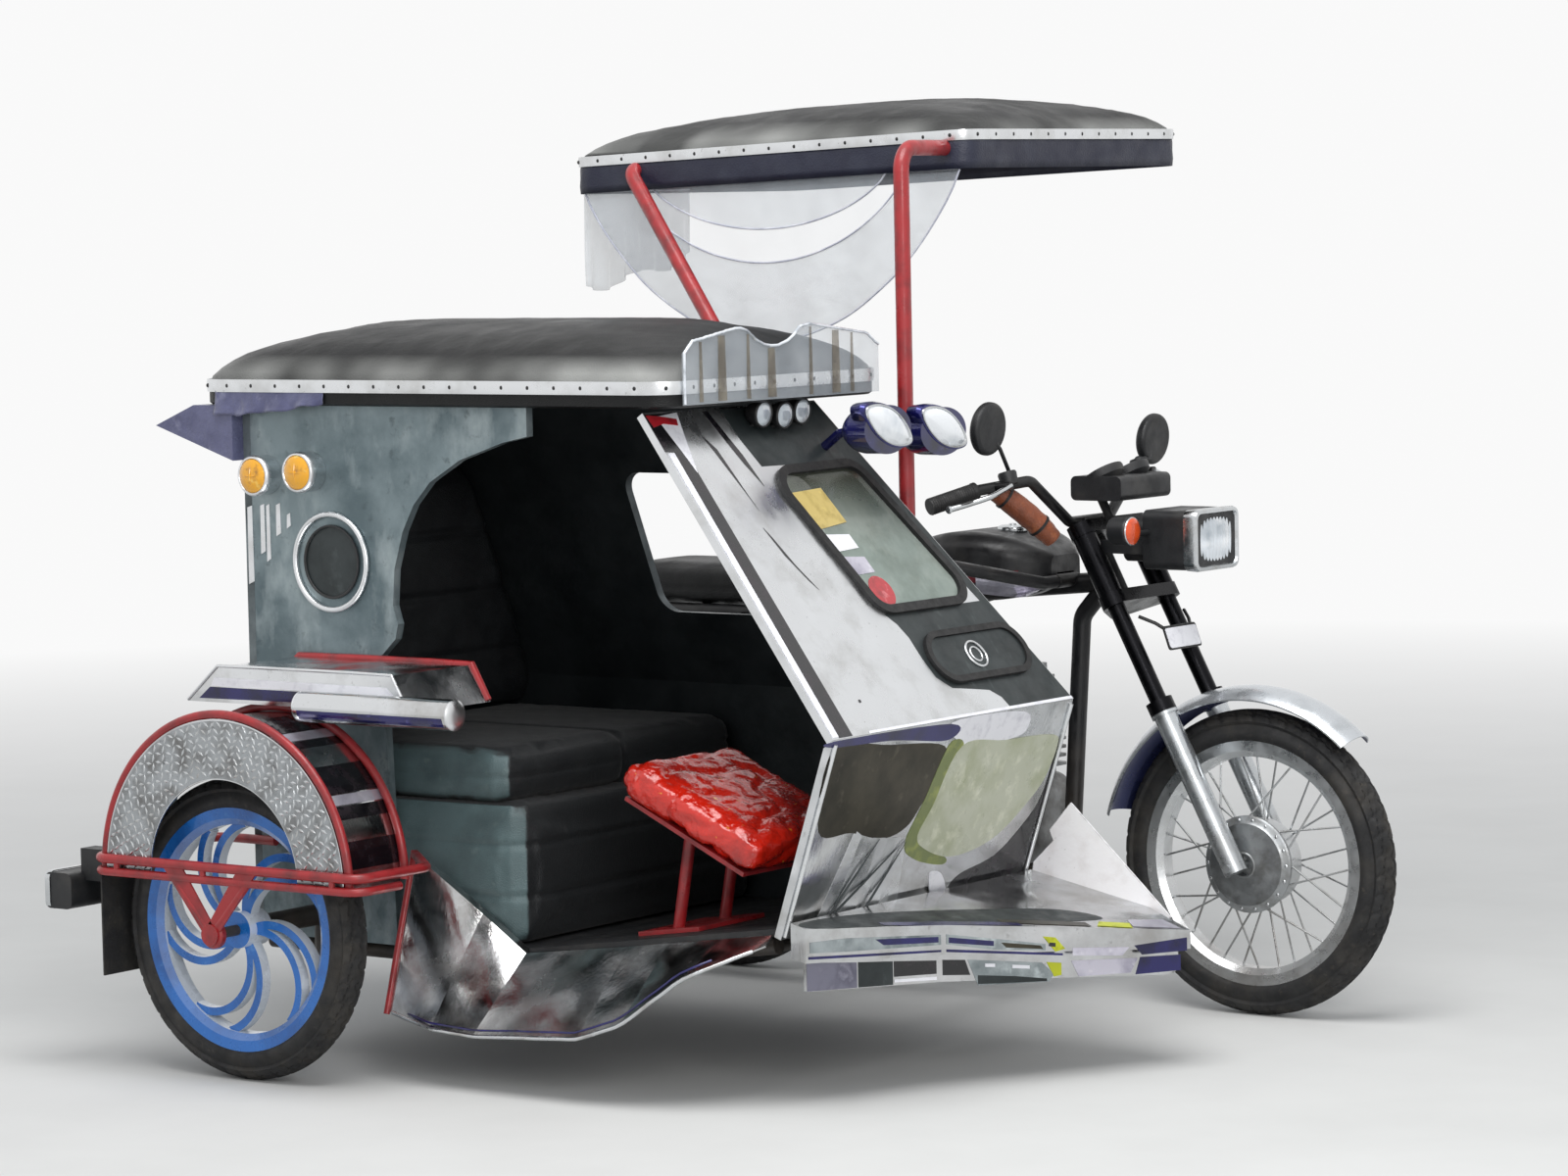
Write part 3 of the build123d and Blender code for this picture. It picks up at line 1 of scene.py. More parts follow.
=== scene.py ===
# %% [markdown]
# # A motor tricycle with a passenger sidecar
# The hard parts of this vehicle come from a CAD model as a fixed frame: every tube, wheel and
# panel already stands in its place, in metres. This lesson dresses that frame. It gives each part
# its finish, builds the soft parts (roofs, seats, curtain) and the small fittings (rivets, trim,
# lenses, treads), and sets up a plain studio. The first cell loads the frame and measures its box.

# %% Load the frame
import math
import bmesh
import bpy
from mathutils import Matrix, Vector, noise
from mathutils.bvhtree import BVHTree


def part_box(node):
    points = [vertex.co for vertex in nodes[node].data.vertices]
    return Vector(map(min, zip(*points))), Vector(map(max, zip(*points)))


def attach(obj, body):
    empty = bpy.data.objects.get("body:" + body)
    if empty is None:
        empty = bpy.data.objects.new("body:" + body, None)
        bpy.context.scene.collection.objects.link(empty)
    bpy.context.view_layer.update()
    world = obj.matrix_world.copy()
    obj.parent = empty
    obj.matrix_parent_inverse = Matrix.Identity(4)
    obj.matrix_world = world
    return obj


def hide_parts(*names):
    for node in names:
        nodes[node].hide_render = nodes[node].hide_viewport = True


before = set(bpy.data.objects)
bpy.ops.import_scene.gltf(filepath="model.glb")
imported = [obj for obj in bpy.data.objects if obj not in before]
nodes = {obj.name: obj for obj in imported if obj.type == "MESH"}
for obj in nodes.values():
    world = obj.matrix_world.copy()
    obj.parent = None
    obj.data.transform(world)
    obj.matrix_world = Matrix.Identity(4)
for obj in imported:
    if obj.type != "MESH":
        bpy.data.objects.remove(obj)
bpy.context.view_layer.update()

# %% [markdown]
# The maker's drawing measures everything from three datums: the front axle, the motorcycle's mid
# plane and the floor, in millimetres. Measuring the front tyre's box finds those datums in the
# frame, so that a fitting can be placed with the drawing's own numbers.

# %% Datums of the drawing
MM = 0.001


def corners_of(box):
    """The low and high corner of a box, in the frame's metres."""
    return [Vector(corner) for corner in box]


tyre_low, tyre_high = corners_of(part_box("front_tyre"))
DATUM = Vector(((tyre_low.x + tyre_high.x) / 2, (tyre_low.y + tyre_high.y) / 2, 0.0))


def at(x, y, z):
    """A point of the drawing, in millimetres, as a point of the frame, in metres."""
    return DATUM + Vector((x, y, z)) * MM


def drawing(point):
    """A point of the frame as the drawing's millimetres."""
    return (Vector(point) - DATUM) / MM


def drawn_corners_of(box):
    """The low and high corner of a box, in the drawing's millimetres."""
    return [drawing(corner) for corner in box]


print("datums at", [round(v, 4) for v in DATUM])

# %% [markdown]
# The camera stands where the photographer stood, a little over nine metres away, at head height.
# It is found from the vehicle's own lines in the picture. The long lens crops the view to the
# vehicle, and the small roll is the slope of the road.

# %% Camera
CAMERA_AT = Vector((5.470, -7.433, 1.589))
AIM = Vector((-0.58967, 0.80379, -0.07902)).normalized()
ROLL = math.radians(1.18)
LENS_MM, SENSOR_MM, FARTHEST_M = 110.94, 36.0, 200.0
level = AIM.cross(Vector((0, 0, 1))).normalized()
upright = level.cross(AIM)
picture_right = level * math.cos(ROLL) - upright * math.sin(ROLL)
picture_up = upright * math.cos(ROLL) + level * math.sin(ROLL)
camera_data = bpy.data.cameras.new("camera")
camera_data.lens = LENS_MM
camera_data.sensor_width = SENSOR_MM
camera_data.clip_end = FARTHEST_M
camera = bpy.data.objects.new("camera", camera_data)
camera.matrix_world = Matrix((picture_right, picture_up, -AIM)).transposed().to_4x4()
camera.location = CAMERA_AT
bpy.context.scene.collection.objects.link(camera)
bpy.context.scene.camera = camera
bpy.context.scene.view_settings.view_transform = "Standard"
print("camera aims along", [round(v, 3) for v in AIM])

# %% [markdown]
# ## Finishes
# Each finish is one Principled shader. What is the same all over the surface, such as how metallic
# it is, is set on the shader's own socket. What varies is added by the helpers below: `mottle`
# mixes in a second colour by noise, `uneven` varies the roughness, `grain` adds bump,
# `worn_edges` shows another colour where an edge is rubbed, and `low_dirt` adds road dirt. A
# `coated` finish takes its patches, its spread of roughness and its bumps as short tables.
# All patterns read Object coordinates. Every piece sits at the origin, so they are metres.


# %% Helpers for finishes
def tint(code):
    """A display colour such as 'a3262b' as the linear colour that a shader needs."""
    values = [int(code[i:i + 2], 16) / 255 for i in (0, 2, 4)]
    return [v / 12.92 if v < 0.04045 else ((v + 0.055) / 1.055) ** 2.4 for v in values] + [1.0]


def shader_of(material):
    return material.node_tree.nodes["Principled BSDF"]


def finish(name, colour, roughness, metallic=0.0, **sockets):
    """A new finish; other uniform values go on the shader's sockets by name."""
    material = bpy.data.materials.new(name)
    material.use_nodes = True
    shader = shader_of(material)
    shader.inputs["Base Color"].default_value = tint(colour)
    shader.inputs["Roughness"].default_value = roughness
    shader.inputs["Metallic"].default_value = metallic
    for socket, value in sockets.items():
        shader.inputs[socket.replace("_", " ")].default_value = value
    return material


def part_of(material, kind, **sockets):
    """A new node in a finish, with its input values by name."""
    node = material.node_tree.nodes.new(kind)
    for socket, value in sockets.items():
        node.inputs[socket.replace("_", " ")].default_value = value
    return node


def wire(material, source, target):
    material.node_tree.links.new(source, target)


def object_place(material):
    return part_of(material, "ShaderNodeTexCoord").outputs["Object"]


def place_of(material, stretch=(1, 1, 1)):
    """Object coordinates, stretched along the axes."""
    mapping = part_of(material, "ShaderNodeMapping", Scale=stretch)
    wire(material, object_place(material), mapping.inputs["Vector"])
    return mapping.outputs["Vector"]


def height_in(material):
    """Height above the floor, in metres."""
    split = part_of(material, "ShaderNodeSeparateXYZ")
    wire(material, object_place(material), split.inputs["Vector"])
    return split.outputs["Z"]


def times(material, *values):
    """The product of some values."""
    product = values[0]
    for value in values[1:]:
        step = part_of(material, "ShaderNodeMath")
        step.operation = "MULTIPLY"
        wire(material, product, step.inputs[0])
        wire(material, value, step.inputs[1])
        product = step.outputs["Value"]
    return product


def vector_math(material, operation, first, second=None):
    """A vector operation; the second operand may be another output or a fixed vector."""
    tool = part_of(material, "ShaderNodeVectorMath")
    tool.operation = operation
    wire(material, first, tool.inputs[0])
    if isinstance(second, bpy.types.NodeSocket):
        wire(material, second, tool.inputs[1])
    elif second is not None:
        tool.inputs[1].default_value = second
    return tool.outputs["Value" if operation in ("LENGTH", "DOT_PRODUCT") else "Vector"]


def noise_of(material, scale, detail=5.0, stretch=(1, 1, 1)):
    texture = part_of(material, "ShaderNodeTexNoise", Scale=scale, Detail=detail, Roughness=0.6)
    wire(material, place_of(material, stretch), texture.inputs["Vector"])
    return texture.outputs["Fac"]


def between(material, value, low, high, to_low=0.0, to_high=1.0):
    """Spread the part of a value from low to high over to_low to to_high."""
    spread = part_of(material, "ShaderNodeMapRange", From_Min=low, From_Max=high, To_Min=to_low,
                     To_Max=to_high)
    wire(material, value, spread.inputs["Value"])
    return spread.outputs["Result"]


def mix_in(material, factor, colour):
    """Mix a colour over the finish by a factor."""
    mix = part_of(material, "ShaderNodeMix")
    mix.data_type = "RGBA"
    base = shader_of(material).inputs["Base Color"]
    if base.is_linked:
        wire(material, base.links[0].from_socket, mix.inputs[6])
    else:
        mix.inputs[6].default_value = base.default_value
    mix.inputs[7].default_value = tint(colour)
    wire(material, factor, mix.inputs[0])
    wire(material, mix.outputs[2], base)


def mottle(material, colour, scale, low=0.45, high=0.65, most=1.0, stretch=(1, 1, 1), detail=5.0):
    """Patches of a second colour."""
    mask = noise_of(material, scale, detail=detail, stretch=stretch)
    mix_in(material, between(material, mask, low, high, 0.0, most), colour)
    return material


def uneven(material, scale, low, high, stretch=(1, 1, 1)):
    """Roughness that varies from low to high."""
    mask = noise_of(material, scale, stretch=stretch)
    spread = between(material, mask, 0.35, 0.65, low, high)
    wire(material, spread, shader_of(material).inputs["Roughness"])
    return material


def raise_by(material, height, depth):
    """Bump from a height, on top of the bump that the finish already has."""
    normal = shader_of(material).inputs["Normal"]
    bump = part_of(material, "ShaderNodeBump", Distance=depth)
    if normal.is_linked:
        wire(material, normal.links[0].from_socket, bump.inputs["Normal"])
    wire(material, height, bump.inputs["Height"])
    wire(material, bump.outputs["Normal"], normal)


def grain(material, scale, depth, cells=False, stretch=(1, 1, 1), detail=4.0):
    """Fine bump: leather-like cells, or plain noise."""
    if cells:
        texture = part_of(material, "ShaderNodeTexVoronoi", Scale=scale)
        wire(material, place_of(material, stretch), texture.inputs["Vector"])
        raise_by(material, texture.outputs["Distance"], depth)
    else:
        raise_by(material, noise_of(material, scale, detail=detail, stretch=stretch), depth)
    return material


def worn_edges(material, colour, width, most=0.8, break_up=60.0):
    """Where a small bevel would turn the surface, the edge is rubbed."""
    bevel = part_of(material, "ShaderNodeBevel", Radius=width)
    real = part_of(material, "ShaderNodeNewGeometry")
    turn = vector_math(material, "DOT_PRODUCT", bevel.outputs["Normal"], real.outputs["Normal"])
    edge = between(material, turn, 0.97, 0.8, 0.0, 1.0)
    patch = between(material, noise_of(material, break_up), 0.42, 0.6, 0.0, most)
    mix_in(material, times(material, edge, patch), colour)
    return material


def low_dirt(material, colour, low_z, high_z, most=0.8, scale=14.0):
    """Road dirt that thins out with height above the floor, in patches."""
    height = between(material, height_in(material), high_z, low_z, 0.0, 1.0)
    patch = between(material, noise_of(material, scale), 0.3, 0.65, 0.15, most)
    mix_in(material, times(material, height, patch), colour)
    return material


def coated(name, colour, roughness, metallic=0.0, patches=(), spread=None, bumps=(), cells=None, **sockets):
    """A finish with patches as mottle takes them, its spread of roughness, bumps and leather cells."""
    material = finish(name, colour, roughness, metallic, **sockets)
    for patch in patches:
        mottle(material, *patch)
    if spread:
        uneven(material, *spread)
    if cells:
        grain(material, *cells, cells=True)
    for bump in bumps:
        grain(material, *bump)
    return material


print("finish helpers ready")

# %% [markdown]
# The sidecar is clad in polished stainless sheet that was bent by hand. It mirrors the street, but
# its waves break the reflections up. The waves are a broad, shallow bump; fine long scratches and
# patches of road dust lie on top. The painted tubes have chips where hands and feet rub them.

# %% Metals and paints
chrome = coated("polished_sheet", "d9dbdd", 0.1, 1.0, (("8f8a82", 7.0, 0.5, 0.72, 0.5),
                ("5d5852", 60.0, 0.62, 0.78, 0.5)), (9.0, 0.06, 0.3))
grain(chrome, 3.2, 0.03, detail=2.0)
grain(chrome, 160.0, 0.00025, stretch=(1, 1, 0.06))
low_dirt(chrome, "6b6258", 0.1, 0.5, 0.55)

bright_steel = coated("bright_steel", "dfe1e3", 0.28, 1.0, (("a9a8a4", 11.0, 0.5, 0.75, 0.5),
                      ("5a5752", 90.0, 0.66, 0.8, 0.6)), (14.0, 0.2, 0.42))
grain(bright_steel, 4.0, 0.012, detail=2.0)

red_paint = coated("red_tube_paint", "9d2226", 0.36, 0.0, (("5f1c1f", 18.0, 0.45, 0.7, 0.8),
                   ("4a3a35", 75.0, 0.66, 0.8, 0.7)), (24.0, 0.25, 0.6), bumps=((90.0, 0.0004),),
                   Coat_Weight=0.25)
worn_edges(red_paint, "6d5a55", 0.002)

black_paint = coated("black_frame_paint", "141416", 0.38, 0.0, (("3b3835", 16.0, 0.52, 0.75, 0.45),),
                     (20.0, 0.28, 0.6), bumps=((120.0, 0.0003),))
worn_edges(black_paint, "6e6b68", 0.0015, 0.6)
low_dirt(black_paint, "5b5146", 0.1, 0.55, 0.7)

silver_paint = coated("silver_paint", "b9bec2", 0.3, 0.65, (("8b8d8d", 12.0, 0.5, 0.75, 0.6),
                      ("4f4a44", 55.0, 0.68, 0.82, 0.6)), (15.0, 0.22, 0.45), bumps=((200.0, 0.0001),),
                      Coat_Weight=0.3)

fin_paint = coated("chalky_white_paint", "f3f1f3", 0.5, 0.0, (("dcd6d6", 16.0, 0.5, 0.74, 0.8),
                   ("6f6660", 50.0, 0.66, 0.78, 0.7)), bumps=((70.0, 0.0006),))
worn_edges(fin_paint, "3c3733", 0.003, 1.0, 40.0)

alloy = coated("cast_alloy", "8d8f90", 0.45, 0.9, (("4a4743", 20.0, 0.42, 0.7, 0.8),), (30.0, 0.35, 0.62),
               bumps=((260.0, 0.0005),))
low_dirt(alloy, "4d443b", 0.1, 0.5, 0.8)

hub_alloy = coated("hub_alloy", "9fa2a4", 0.34, 0.95, (("6b6965", 26.0, 0.45, 0.7, 0.7),),
                   (40.0, 0.28, 0.5), bumps=((220.0, 0.0002),))

grey_panel = coated("grey_panel", "7d8b8f", 0.42, 0.55, spread=(12.0, 0.3, 0.55), bumps=((30.0, 0.0012),))
mottle(grey_panel, "56656a", 5.0, 0.42, 0.62, 0.9, detail=8.0)
mottle(grey_panel, "a6b1b3", 13.0, 0.5, 0.72, 0.7, stretch=(1.0, 1.0, 0.5))
mottle(grey_panel, "3a4245", 34.0, 0.6, 0.76, 0.7)

rim_steel = coated("rim_steel", "c9ccce", 0.2, 1.0, (("8a8278", 18.0, 0.5, 0.74, 0.6),), (30.0, 0.12, 0.34),
                   bumps=((220.0, 0.0001),))
print("metals and paints ready")

# %% [markdown]
# Vinyl is a printed film on cloth: small leather-like cells, a soft gloss, and creases. Rubber is
# dull and dusty. The lenses are tinted plastic over a bright bowl, so they keep some of their own
# colour, and the clear sheets are thin, milky at folds, and let most of the light through.

# %% Soft and clear finishes
def roof_vinyl(name, rim):
    """Black vinyl; where a height is given, a broad, broken band of painted sheen lies over that rim."""
    vinyl = finish(name, "0c0d0e", 0.42, 0.0, Specular_IOR_Level=0.28)
    mottle(vinyl, "1c1d1f", 4.0, 0.5, 0.72, 0.7)
    mottle(vinyl, "33332f", 36.0, 0.62, 0.8, 0.3)
    # Painted sheen: pale grey in broken patches, fading out upwards from just above the trim.
    if rim:
        height = height_in(vinyl)
        painted_sheen_fade = between(vinyl, height, rim + 0.052, rim + 0.02, 0.0, 1.0)
        patch = between(vinyl, noise_of(vinyl, 3.4, detail=2.0, stretch=(1, 1, 0.4)), 0.4, 0.62, 0.12, 0.85)
        above = between(vinyl, height, rim - 0.004, rim + 0.002)
        mix_in(vinyl, times(vinyl, painted_sheen_fade, patch, above), "9a9b98")
    uneven(vinyl, 8.0, 0.36, 0.5)
    grain(vinyl, 420.0, 0.0006, cells=True)
    grain(vinyl, 9.0, 0.006, detail=3.0)
    return vinyl


black_vinyl = roof_vinyl("black_vinyl", None)
rider_vinyl = roof_vinyl("rider_roof_vinyl", 1.70)
car_vinyl = roof_vinyl("sidecar_roof_vinyl", 1.276)

grey_vinyl = coated("teal_grey_vinyl", "566a6c", 0.42, 0.0, (("3c4c4e", 7.0, 0.45, 0.68, 0.8),
                    ("7b8a88", 26.0, 0.6, 0.78, 0.5)), (12.0, 0.34, 0.55), cells=(420.0, 0.0006),
                    Sheen_Weight=0.1)

red_vinyl = coated("red_glossy_vinyl", "c8200f", 0.2, 0.0, (("8a120b", 9.0, 0.45, 0.65, 0.9),),
                   (20.0, 0.12, 0.3), Coat_Weight=0.6)
mottle(red_vinyl, "e0a02a", 55.0, 0.69, 0.74, 0.9, detail=2.0)
grain(red_vinyl, 16.0, 0.012, detail=4.0)

navy_vinyl = coated("navy_vinyl", "171a2e", 0.45, 0.0, (("2c3040", 12.0, 0.48, 0.7, 0.7),),
                    (16.0, 0.35, 0.6), cells=(300.0, 0.0005))

tyre_rubber = coated("tyre_rubber", "1a1a1b", 0.72, 0.0, (("3d3933", 14.0, 0.45, 0.72, 0.7),
                     ("5a5146", 70.0, 0.6, 0.78, 0.4)), (30.0, 0.6, 0.88), bumps=((240.0, 0.0005),))

rubber = coated("black_rubber", "121213", 0.55, 0.0, (("2d2b29", 40.0, 0.5, 0.75, 0.5),), (50.0, 0.45, 0.7),
                bumps=((320.0, 0.0003),))

dark_plastic = coated("dark_plastic", "1b1c1e", 0.48, 0.0, (("3a3835", 18.0, 0.5, 0.74, 0.55),),
                      (25.0, 0.38, 0.62), bumps=((380.0, 0.0003),))

clear_sheet = coated("clear_sheet", "c9d0d6", 0.12, 0.0, (("9aa2aa", 10.0, 0.46, 0.72, 0.7),),
                     (14.0, 0.06, 0.3), Alpha=0.3)
grain(clear_sheet, 12.0, 0.006, detail=2.0)

# The pale patches on the pane are painted reflection.
pane = coated("window_pane", "8f9c94", 0.07, 0.0, (("b9c2b8", 6.0, 0.42, 0.66, 0.8),), (18.0, 0.04, 0.22),
              Alpha=0.72)

# Painted shade: the oval lamps' body is navy, the shade under their bright faces.
navy_painted_shade = coated("navy_gloss_shell", "1c1d55", 0.14, 0.3, (("0a0b22", 16.0, 0.42, 0.66, 0.9),
                    ("6d70a8", 44.0, 0.66, 0.8, 0.5)), Coat_Weight=0.6)

charcoal_vinyl = coated("charcoal_vinyl", "17191b", 0.5, 0.0, (("2b2f31", 9.0, 0.48, 0.72, 0.6),),
                        (14.0, 0.4, 0.62), cells=(420.0, 0.0006))

visor_vinyl = coated("lavender_visor_vinyl", "5b5d7d", 0.34, 0.0, (("35375a", 8.0, 0.42, 0.66, 0.9),),
                     (12.0, 0.22, 0.45), bumps=((24.0, 0.004),), Sheen_Weight=0.2)
mottle(visor_vinyl, "9495ae", 14.0, 0.58, 0.76, 0.8, stretch=(1.0, 0.4, 1.0))

amber_lens = coated("amber_lens", "e8a400", 0.12, 0.0, spread=(40.0, 0.08, 0.22), Coat_Weight=0.9)
mottle(amber_lens, "7a4400", 42.0, 0.58, 0.72, 0.7, detail=3.0)
mottle(amber_lens, "ffe27a", 30.0, 0.6, 0.7, 0.8, detail=2.0)

signal_lens = coated("orange_signal_lens", "dd4e14", 0.18, 0.0, (("a8330d", 70.0, 0.45, 0.7, 0.7),),
                     bumps=((240.0, 0.0006),), Coat_Weight=0.6)

tail_red = coated("tail_red_lens", "8e0f12", 0.16, 0.0, (("4f080a", 60.0, 0.45, 0.7, 0.7),),
                  Coat_Weight=0.7)
print("soft and clear finishes ready")

# %% [markdown]
# Some parts are painted in two ways, although they are one piece of metal. A finish can tell where
# it is: how far from the axle, how high along the fork, or which way a face looks. That measure
# then mixes in the second colour.

# %% Finishes that follow the shape
def spot_of(material, centre, keep=(1.0, 1.0, 1.0)):
    """Place on the part, measured from a centre, with some axes dropped."""
    away = vector_math(material, "SUBTRACT", object_place(material), centre)
    return vector_math(material, "MULTIPLY", away, keep)


def facing(material, direction=None, centre=None):
    """How much a face looks along a direction, or away from a centre seen from the side."""
    normal = part_of(material, "ShaderNodeTexCoord").outputs["Normal"]
    if centre is None:
        return vector_math(material, "DOT_PRODUCT", normal, direction)
    outward = vector_math(material, "NORMALIZE", spot_of(material, centre, ACROSS_THE_AXLE))
    return vector_math(material, "DOT_PRODUCT", normal, outward)


ACROSS_THE_AXLE = (1.0, 0.0, 1.0)
FORK_UP = Vector((-0.46175, 0.0, 0.88701))
fork_metal = finish("fork_metal", "c4c8cb", 0.26, 0.85)
mottle(fork_metal, "8d8a84", 20.0, 0.5, 0.74, 0.5)
AXLE_CLAMP, SLIDER_LONG = at(-39.9, 0, 277.7), 0.33
slider_top = AXLE_CLAMP.dot(FORK_UP) + SLIDER_LONG
climb = vector_math(fork_metal, "DOT_PRODUCT", spot_of(fork_metal, (0, 0, 0)), FORK_UP)
mix_in(fork_metal, between(fork_metal, climb, slider_top - 0.001, slider_top + 0.001), "17171a")
uneven(fork_metal, 26.0, 0.18, 0.4)
grain(fork_metal, 180.0, 0.0002)
low_dirt(fork_metal, "5b5146", 0.1, 0.5, 0.6)

wheel_metals = []
for name, node in (("front_wheel_metal", "front_tyre"), ("rear_wheel_metal", "rear_tyre")):
    low, high = corners_of(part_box(node))
    metal = finish(name, "b4b7b9", 0.3, 0.95)
    mottle(metal, "77746e", 22.0, 0.45, 0.7, 0.6)
    reach = vector_math(metal, "LENGTH", spot_of(metal, (low + high) / 2, ACROSS_THE_AXLE))
    mix_in(metal, between(metal, reach, 0.2, 0.203), "d7dadc")
    mix_in(metal, between(metal, reach, 0.096, 0.092), "c2c5c7")
    uneven(metal, 34.0, 0.2, 0.44)
    grain(metal, 200.0, 0.0002)
    low_dirt(metal, "6b5f52", 0.05, 0.5, 0.6)
    wheel_metals.append(metal)

swirl_paint = finish("swirl_wheel_paint", "1a6cc0", 0.26, 0.1, Coat_Weight=0.5)
mottle(swirl_paint, "0f4486", 9.0, 0.45, 0.68, 0.8)
mottle(swirl_paint, "7fb4e4", 26.0, 0.62, 0.76, 0.5)
look_out = facing(swirl_paint, (0.0, -1.0, 0.0))
mix_in(swirl_paint, between(swirl_paint, look_out, 0.8, 0.5, 0.0, 0.9), "dfe5ea")
mottle(swirl_paint, "6d7a84", 60.0, 0.66, 0.8, 0.6)
uneven(swirl_paint, 26.0, 0.18, 0.45)
grain(swirl_paint, 130.0, 0.0002)

low, high = corners_of(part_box("front_tyre"))
fender_silver = finish("fender_silver", "c3c7cb", 0.24, 0.7, Coat_Weight=0.4)
mottle(fender_silver, "8f9496", 12.0, 0.5, 0.75, 0.5)
# Painted shade: the fender's inner face, which looks towards the tyre, turns navy.
inner_side = between(fender_silver, facing(fender_silver, centre=(low + high) / 2), -0.3, -0.5)
mix_in(fender_silver, inner_side, "232a55")
mottle(fender_silver, "4f4a44", 55.0, 0.68, 0.82, 0.6)
uneven(fender_silver, 15.0, 0.16, 0.38)
grain(fender_silver, 200.0, 0.0001)

low, high = corners_of(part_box("windscreen_glass"))
# Painted reflection: the pane darkens to olive towards its top and carries dark patches.
rise = vector_math(pane, "DOT_PRODUCT", spot_of(pane, (0, 0, 0)), (0.0, 0.0, 1.0))
mix_in(pane, between(pane, rise, low.z + 0.45 * (high.z - low.z), high.z - 0.02, 0.0, 0.92), "2f2f22")
mottle(pane, "525a4c", 9.0, 0.5, 0.7, 0.5)

look_side = facing(grey_vinyl, (0.0, -1.0, 0.0))
mix_in(grey_vinyl, between(grey_vinyl, look_side, 0.62, 0.4, 0.0, 1.0), "181b1d")


def wall_metal(name, colour, light, light_scale, dark, inward):
    """Grey painted sheet with large light and dark clouds; its inner face is darkened as painted shade."""
    sheet = finish(name, colour, 0.42, 0.45)
    mottle(sheet, light, light_scale, 0.5, 0.72, 0.6)
    # Painted shade: the face that looks into the sidecar turns dark grey.
    mix_in(sheet, between(sheet, facing(sheet, inward), 0.2, 0.5), "33383a")
    mottle(sheet, dark, 6.0, 0.42, 0.65, 0.8)
    uneven(sheet, 16.0, 0.34, 0.6)
    grain(sheet, 45.0, 0.0008)
    return sheet


wall_sheet = wall_metal("inner_wall_sheet", "6f777a", "8f989a", 11.0, "1f2426", (0.0, -0.92, -0.3))
back_sheet = wall_metal("back_wall_sheet", "767f82", "95a0a3", 9.0, "23292b", (1.0, 0.0, 0.0))

# Besides the dark skin of the lower plate and round the window, this finish makes the painted shadows along
# the front panel's creases and on the bumper's top, and dark painted reflections on the bumper.
dark_skin_and_shade = finish("dark_brushed_skin", "33393a", 0.4, 0.35)
mottle(dark_skin_and_shade, "1e2324", 9.0, 0.42, 0.66, 0.9)
mottle(dark_skin_and_shade, "5c6464", 34.0, 0.6, 0.78, 0.6, stretch=(0.4, 1.0, 0.4))
uneven(dark_skin_and_shade, 22.0, 0.28, 0.55)
grain(dark_skin_and_shade, 180.0, 0.0002, stretch=(1, 0.1, 1))
print("finishes that follow the shape ready")

# %% [markdown]
# A CAD part keeps its mesh and only takes a finish. The list goes from finish to parts, the way a
# paint shop would sort them.

# %% Finish the CAD parts
FINISHES = (
    (black_paint, "moto_frame fuel_tank side_covers swingarm side_stand handlebar shock_absorbers"),
    (fork_metal, "fork"),
    (alloy, "engine_case engine_top"),
    (rim_steel, "exhaust"),
    (navy_painted_shade, "oval_lamps"),
    (silver_paint, "rear_fender"),
    (fender_silver, "front_fender"),
    (wheel_metals[0], "front_wheel"),
    (wheel_metals[1], "rear_wheel"),
    (swirl_paint, "sidecar_wheel"),
    (tyre_rubber, "front_tyre rear_tyre sidecar_tyre mud_flap"),
    (red_paint, "canopy_frame jump_seat_frame fender_rails"),
    (black_paint, "sidecar_frame tie_strut tie_links"),
    (bright_steel, "windscreen_panel"),
    (pane, "windscreen_glass"),
    (rubber, "window_gaskets"),
    (dark_skin_and_shade, "lower_plate"),
    (wall_sheet, "inner_side_panel"),
    (back_sheet, "back_panel"),
    (chrome, "front_panel sill_skirt bumper sidecar_fender fender_chrome amber_lamps"),
    (grey_panel, "rear_side_panel"),
    (fin_paint, "bumper_fin"),
    (dark_plastic, "sidecar_floor headlamp mirrors instruments turn_signals tail_lamps"),
    (visor_vinyl, "rear_visor"),
    (clear_sheet, "roof_deflector rain_curtain"),
    (black_vinyl, "canopy_top sidecar_roof saddle"),
    (grey_vinyl, "seat_base seat_cushion seat_back"),
    (red_vinyl, "jump_cushion"),
)
# The plain slot that stands for a finish where a piece names no other.
SLOTS = {
    "polished_steel": (bright_steel, rim_steel),
    "dark_plastic": (rubber, dark_plastic),
    "black_paint": (black_paint,),
    "red_paint": (red_paint,),
    "engine_alloy": (hub_alloy,),
    "amber_lens": (amber_lens, signal_lens),
    "clear_sheet": (clear_sheet,),
    "tyre_rubber": (tyre_rubber,),
}
SLOT_OF = {material: slot for slot, materials in SLOTS.items() for material in materials}
for material, names in FINISHES:
    for name in names.split():
        mesh = nodes[name].data
        mesh.materials.clear()
        mesh.materials.append(material)
print("finished", sum(len(names.split()) for _, names in FINISHES), "CAD parts")

# %% [markdown]
# ## Workshop helpers
# Four ways of making a shape cover most fittings here. `loft` skins a row of loops, like ribs of a
# boat. `tube` runs a round section along a path. `turned` spins a profile, like a lathe. `plate`
# cuts a flat sheet to an outline. `stand` then gives a mesh its finish and the body it rides on.


# %% Helpers for shapes
SIDES = ((-1, "right"), (1, "left"))


